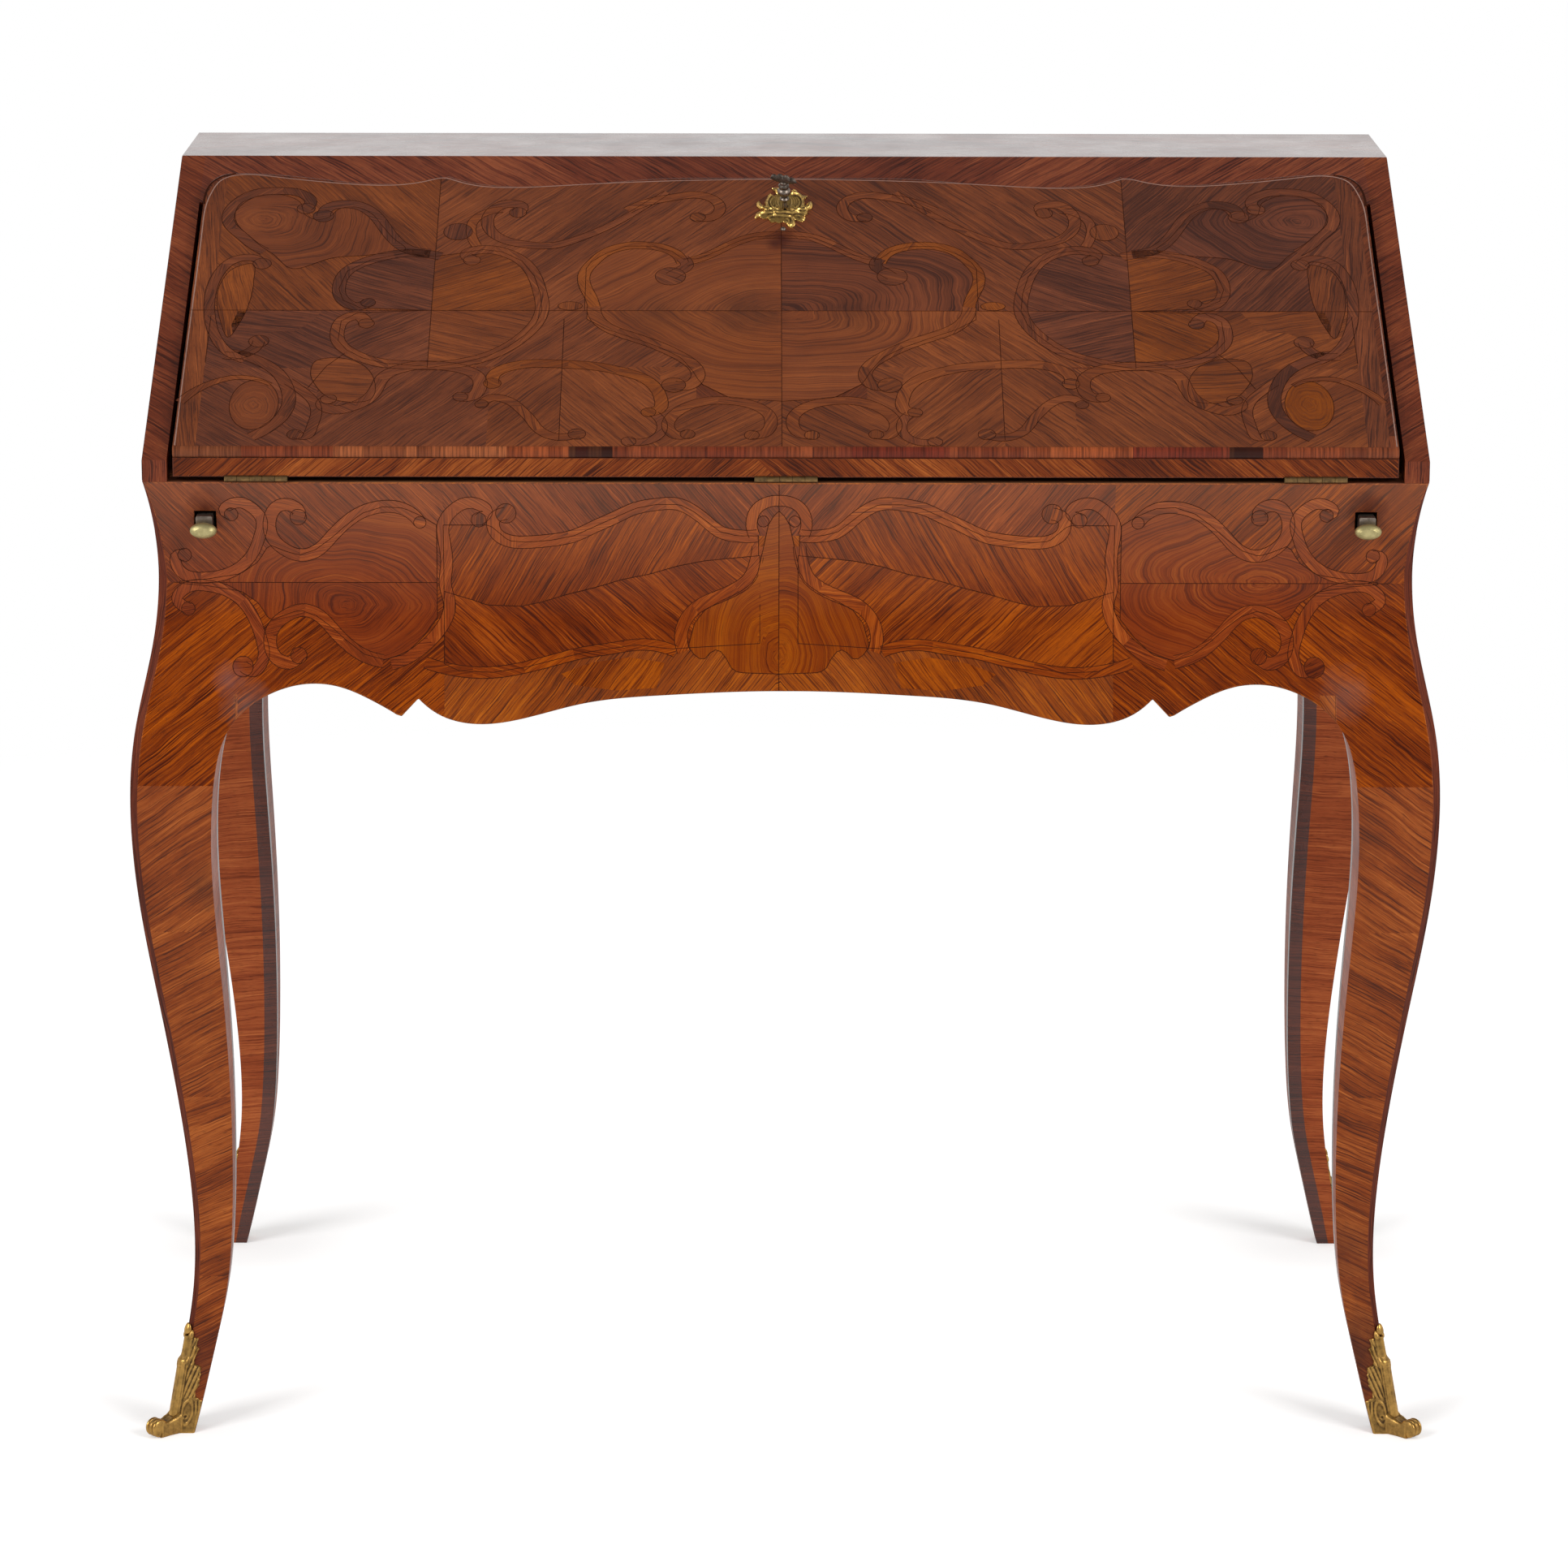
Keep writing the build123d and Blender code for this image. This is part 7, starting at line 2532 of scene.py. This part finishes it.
@dataclass
class Escutcheon:
    """Pierced-looking rococo plate round the keyhole, modelled in relief."""

    outline: Points = (
        (-5, 20), (0, 17), (4.7, 19), (5.6, 23), (7.2, 22.6), (10.2, 19.8), (14, 16), (17, 15),
        (14.8, 11), (15.2, 4), (15, 0.5), (17.1, 5.2), (19, 7.4), (21, 3.4), (20.2, -1.7),
        (17.2, -5), (17.4, -8.6), (15.4, -11.2), (15.2, -16), (13, -19.4), (10.2, -18),
        (7.6, -17.2), (7.6, -23.3), (4.9, -27.4), (2.5, -25.9), (1.0, -21.4), (-1.9, -19.6),
        (-4.7, -20.9), (-7.4, -19.4), (-10.4, -20.2), (-13, -15.7), (-16.9, -14.9), (-19.6, -13),
        (-22.7, -15.4), (-22.8, -11.2), (-20.7, -7), (-17.4, -5.8), (-16.2, -4.4), (-18.6, -3),
        (-21.6, 1.7), (-21.8, 6), (-20.6, 8), (-18.4, 3.2), (-15.6, 0.6), (-15.5, 6), (-13.2, 13.4),
        (-12.9, 16.4), (-9.9, 15.2), (-7, 16), (-7.6, 20.7), (-9.8, 26), (-5.4, 26.6),
    )
    pitch: float = 0.62
    bead: float = 1.5
    deepened: float = 1.3
    rim: float = 1.2
    edge: float = 0.45
    nail_place: Tuple[float, float] = (-1.4, -29.0)
    nail_radius: float = 2.1

    def relief(self, a: Array, b: Array) -> Array:
        """Height of the cast plate over the fall, from ridges along its scrolls."""
        height = np.full(a.shape, 0.9)
        for side in (-1, 1):
            for rise_by, width, path in MIRRORED_RIDGES:
                height += rise_by * ridge(a * side, b, path, width)
        for rise_by, width, path in RIDGES:
            height += rise_by * ridge(a, b, path, width)
        beads = 0.5 + 0.5 * wave(a / self.bead)
        height += 0.5 * beads * ridge(a, b, ((-8, -5.6), (0, -6.4), (8, -6.4)), 0.7)
        height -= 0.35 * hill(np.hypot(a / 5.0, (b - 2) / 9.0), 0, 0.9, 4)
        slot = np.maximum(np.abs(a) / 1.5, np.abs(b + 1.4) / 3.0)
        hole = np.minimum(np.hypot(a / 2.6, (b - 2.0) / 2.8), slot)
        return np.where(hole < 1.0, 0.12, height)

    def build(self) -> None:
        """Makes the plate, the dark keyhole in it and the nail under it."""
        face = FallFace()
        outline = through(self.outline, 420, closed=True)
        inside = grid_over(outline, self.pitch, 0.0)
        near = np.hypot(*(inside[:, None] - outline[None]).transpose(2, 0, 1)).min(axis=1)
        flat, faces = triangles_in(outline, inside[near > self.pitch * 0.5], 1e-5)
        gap = np.hypot(*(flat[:, None] - outline[None, ::2]).transpose(2, 0, 1)).min(axis=1)
        sloped = np.sqrt(0.25 + 0.75 * rise(gap, 0, self.rim))
        height = self.deepened * self.relief(*flat.T) * sloped
        height = np.where(gap < self.rim / 10, self.edge, height)
        plate, nail, dark = Skin(), Skin(), Skin()
        top = face.at(flat[:, 0], flat[:, 1] + KEYHOLE, height)
        plate.fill(top, faces, flat, Look(), face.facing)
        closed = np.vstack([outline, outline[:1]])
        walls = face.at(closed[:, 0], closed[:, 1] + KEYHOLE, np.array([[self.edge], [-0.05]]))
        plate.cast(walls if area_of(outline) < 0 else walls[:, ::-1])
        self.nail(nail, face)
        self.hole(dark, face)
        piece = joined("escutcheon_cast", (plate, CAST_GILT), (dark, SHADOW), (nail, BRIGHT_IRON))
        settle(piece, "fall", "gilt_bronze", "escutcheon")

    def nail(self, skin: Skin, face: Face) -> None:
        """Round head of the nail below the plate."""
        rows, turn = np.linspace(0.02, math.pi / 2, 8)[:, None], full_turn(18)
        a = self.nail_place[0] + self.nail_radius * np.sin(rows) * np.cos(turn)
        b = KEYHOLE + self.nail_place[1] + self.nail_radius * np.sin(rows) * np.sin(turn)
        skin.cast(face.at(a, b, 2.0 * np.cos(rows) - 0.05 + 0 * turn), face.facing, ring=True)

    def hole(self, skin: Skin, face: Face) -> None:
        """Dark floor of the keyhole: its round and its slot."""
        share, turn = np.linspace(0.02, 1, 3)[:, None], full_turn(24)
        for middle, (half_a, half_b), lift in ((2.0, (2.5, 2.7), 0.17), (-1.4, (1.4, 2.9), 0.16)):
            a, b = share * half_a * np.cos(turn), middle + share * half_b * np.sin(turn)
            skin.cast(face.at(a, b + KEYHOLE, np.array(lift)), face.facing, ring=True)


@dataclass
class Key:
    """Iron key standing off the fall, with a turned collar and a low crested bow."""

    turned_by: float = 19.0
    lean: float = 0.055
    profile: Points = (
        (-6.0, 1.9), (4.0, 1.9), (6.6, 2.0), (7.8, 3.4), (9.2, 3.5), (10.2, 2.4), (11.8, 3.4),
        (14.0, 4.9), (16.8, 4.7), (18.9, 3.4), (19.8, 4.0), (20.8, 4.1), (21.4, 3.0), (23.6, 2.6),
        (24.1, 0.05),
    )
    bow_start: float = 22.4
    bow_height: float = 6.6
    bow_half: float = 10.6
    bow_thick: float = 1.5
    crest: float = 2.0

    def place(self, grid: Array) -> Array:
        """Brings points of (across, along the slope, off it) to the keyhole, turned."""
        turn = math.radians(self.turned_by)
        a = grid[..., 0] * math.cos(turn) + grid[..., 1] * math.sin(turn) - self.lean * grid[..., 2]
        b = -grid[..., 0] * math.sin(turn) + grid[..., 1] * math.cos(turn)
        return FallFace().at(a, b + KEYHOLE, grid[..., 2])

    def bow(self, skin: Skin) -> None:
        """Flat bar of the bow with four crests, thick in the middle of its height.

        Its outline is a half ellipse above the collar whose upper edge rises in
        four rounded crests. Each section across it is an ellipse.
        """
        share, turn = np.linspace(-1, 1, 65)[:, None], full_turn(24)
        crest = self.crest * np.abs(np.sin(share * 2 * math.pi)) ** 0.8
        low = self.bow_start + 2.6 * np.abs(share) ** 1.5
        high = self.bow_start + self.bow_height * np.sqrt(
            np.clip(1 - 0.75 * share**2, 0, 1)
        ) + crest
        taper = np.sqrt(np.clip(1 - share**14, 0.001, 1))
        level = (low + high) / 2 + (high - low) / 2 * taper * np.sin(turn)
        rings = stacked(self.bow_half * share, self.bow_thick * taper * np.cos(turn), level)
        skin.cast(self.place(drawn_ends(rings))[:, ::-1], ring=True)

    def build(self) -> None:
        """Makes the turned stem and the bow."""
        skin = Skin()
        stem = revolved(through(self.profile, 70))
        skin.cast(self.place(np.concatenate([stem[:1] * (0, 0, 1), stem])), ring=True)
        self.bow(skin)
        settle(joined("key_forged", (skin, BRIGHT_IRON)), "key", "iron", "key")


# ------------------------------------------------------------------ CAD finishes
def both(*stems: str) -> Tuple[str, ...]:
    """Names of nodes that come in a left and a right one."""
    return tuple(f"{stem}_{side}" for stem in stems for side in ("left", "right"))


FINISHES = (
    (CASE_WOOD, both("case_side")), (TOP_WOOD, ("top_board",)), (RAIL_WOOD, ("slope_rail",)),
    (FALL_WOOD, ("fall_panel",)), (NOSE, ("fall_nose",)), (LEATHER, ("fall_leather",)),
    (OAK, ("back_panel", "back_rail", "bottom_board", "well_box", *both("loper_guide"))),
    (
        INSIDE_WOOD,
        ("writing_floor", "well_cover", "gallery_base", "gallery_shelf_middle", "niche_arch"),
    ),
    (INSIDE_WOOD, both("gallery_shelf", "drawer_inner", "drawer_outer")),
    (INSIDE_UPRIGHT, both("gallery_upright", "drawer_divider", "pigeonhole_divider")),
    (BRIGHT_IRON, both("loper_bar")), (IRON, ("lock_case", "strike_plate")),
    (BRASS, ("lock_bolt", *both("loper_knob", "drawer_knob_inner", "drawer_knob_outer"))),
    (
        HINGE_BRASS,
        ("hinge_fixed_middle", "hinge_moving_middle", *both("hinge_fixed", "hinge_moving")),
    ),
)


def main() -> None:
    """Builds the studio and the desk's pieces in order, then gives the frame's nodes their
    finishes.
    """
    logging.basicConfig(level=logging.INFO, format="%(name)s: %(message)s", stream=sys.stdout)
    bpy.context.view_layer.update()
    Studio().build()
    for side in (-1, 1):
        for end in (-1, 1):
            Leg(side, end).build()
    Apron("front_apron", POST_IN, APRON_IN, LOWER_EDGE, 0.0, DEPTH / 2, middle=-5.0).build()
    for side, name in ((-1, "left"), (1, "right")):
        Apron(f"side_apron_{name}", 185.0, 24.0, SIDE_LOWER, 90.0 * side, HALF_W).build()
    FallMarquetry().build()
    ApronMarquetry().build()
    for side in (-1, 1):
        SideMarquetry(side).build()
        for end in (-1, 1):
            Sabot(side, end).build()
    Escutcheon().build()
    Key().build()
    for finish, nodes in FINISHES:
        for node in nodes:
            dressed(node, finish_of(finish))


if __name__ == "__main__":
    main()
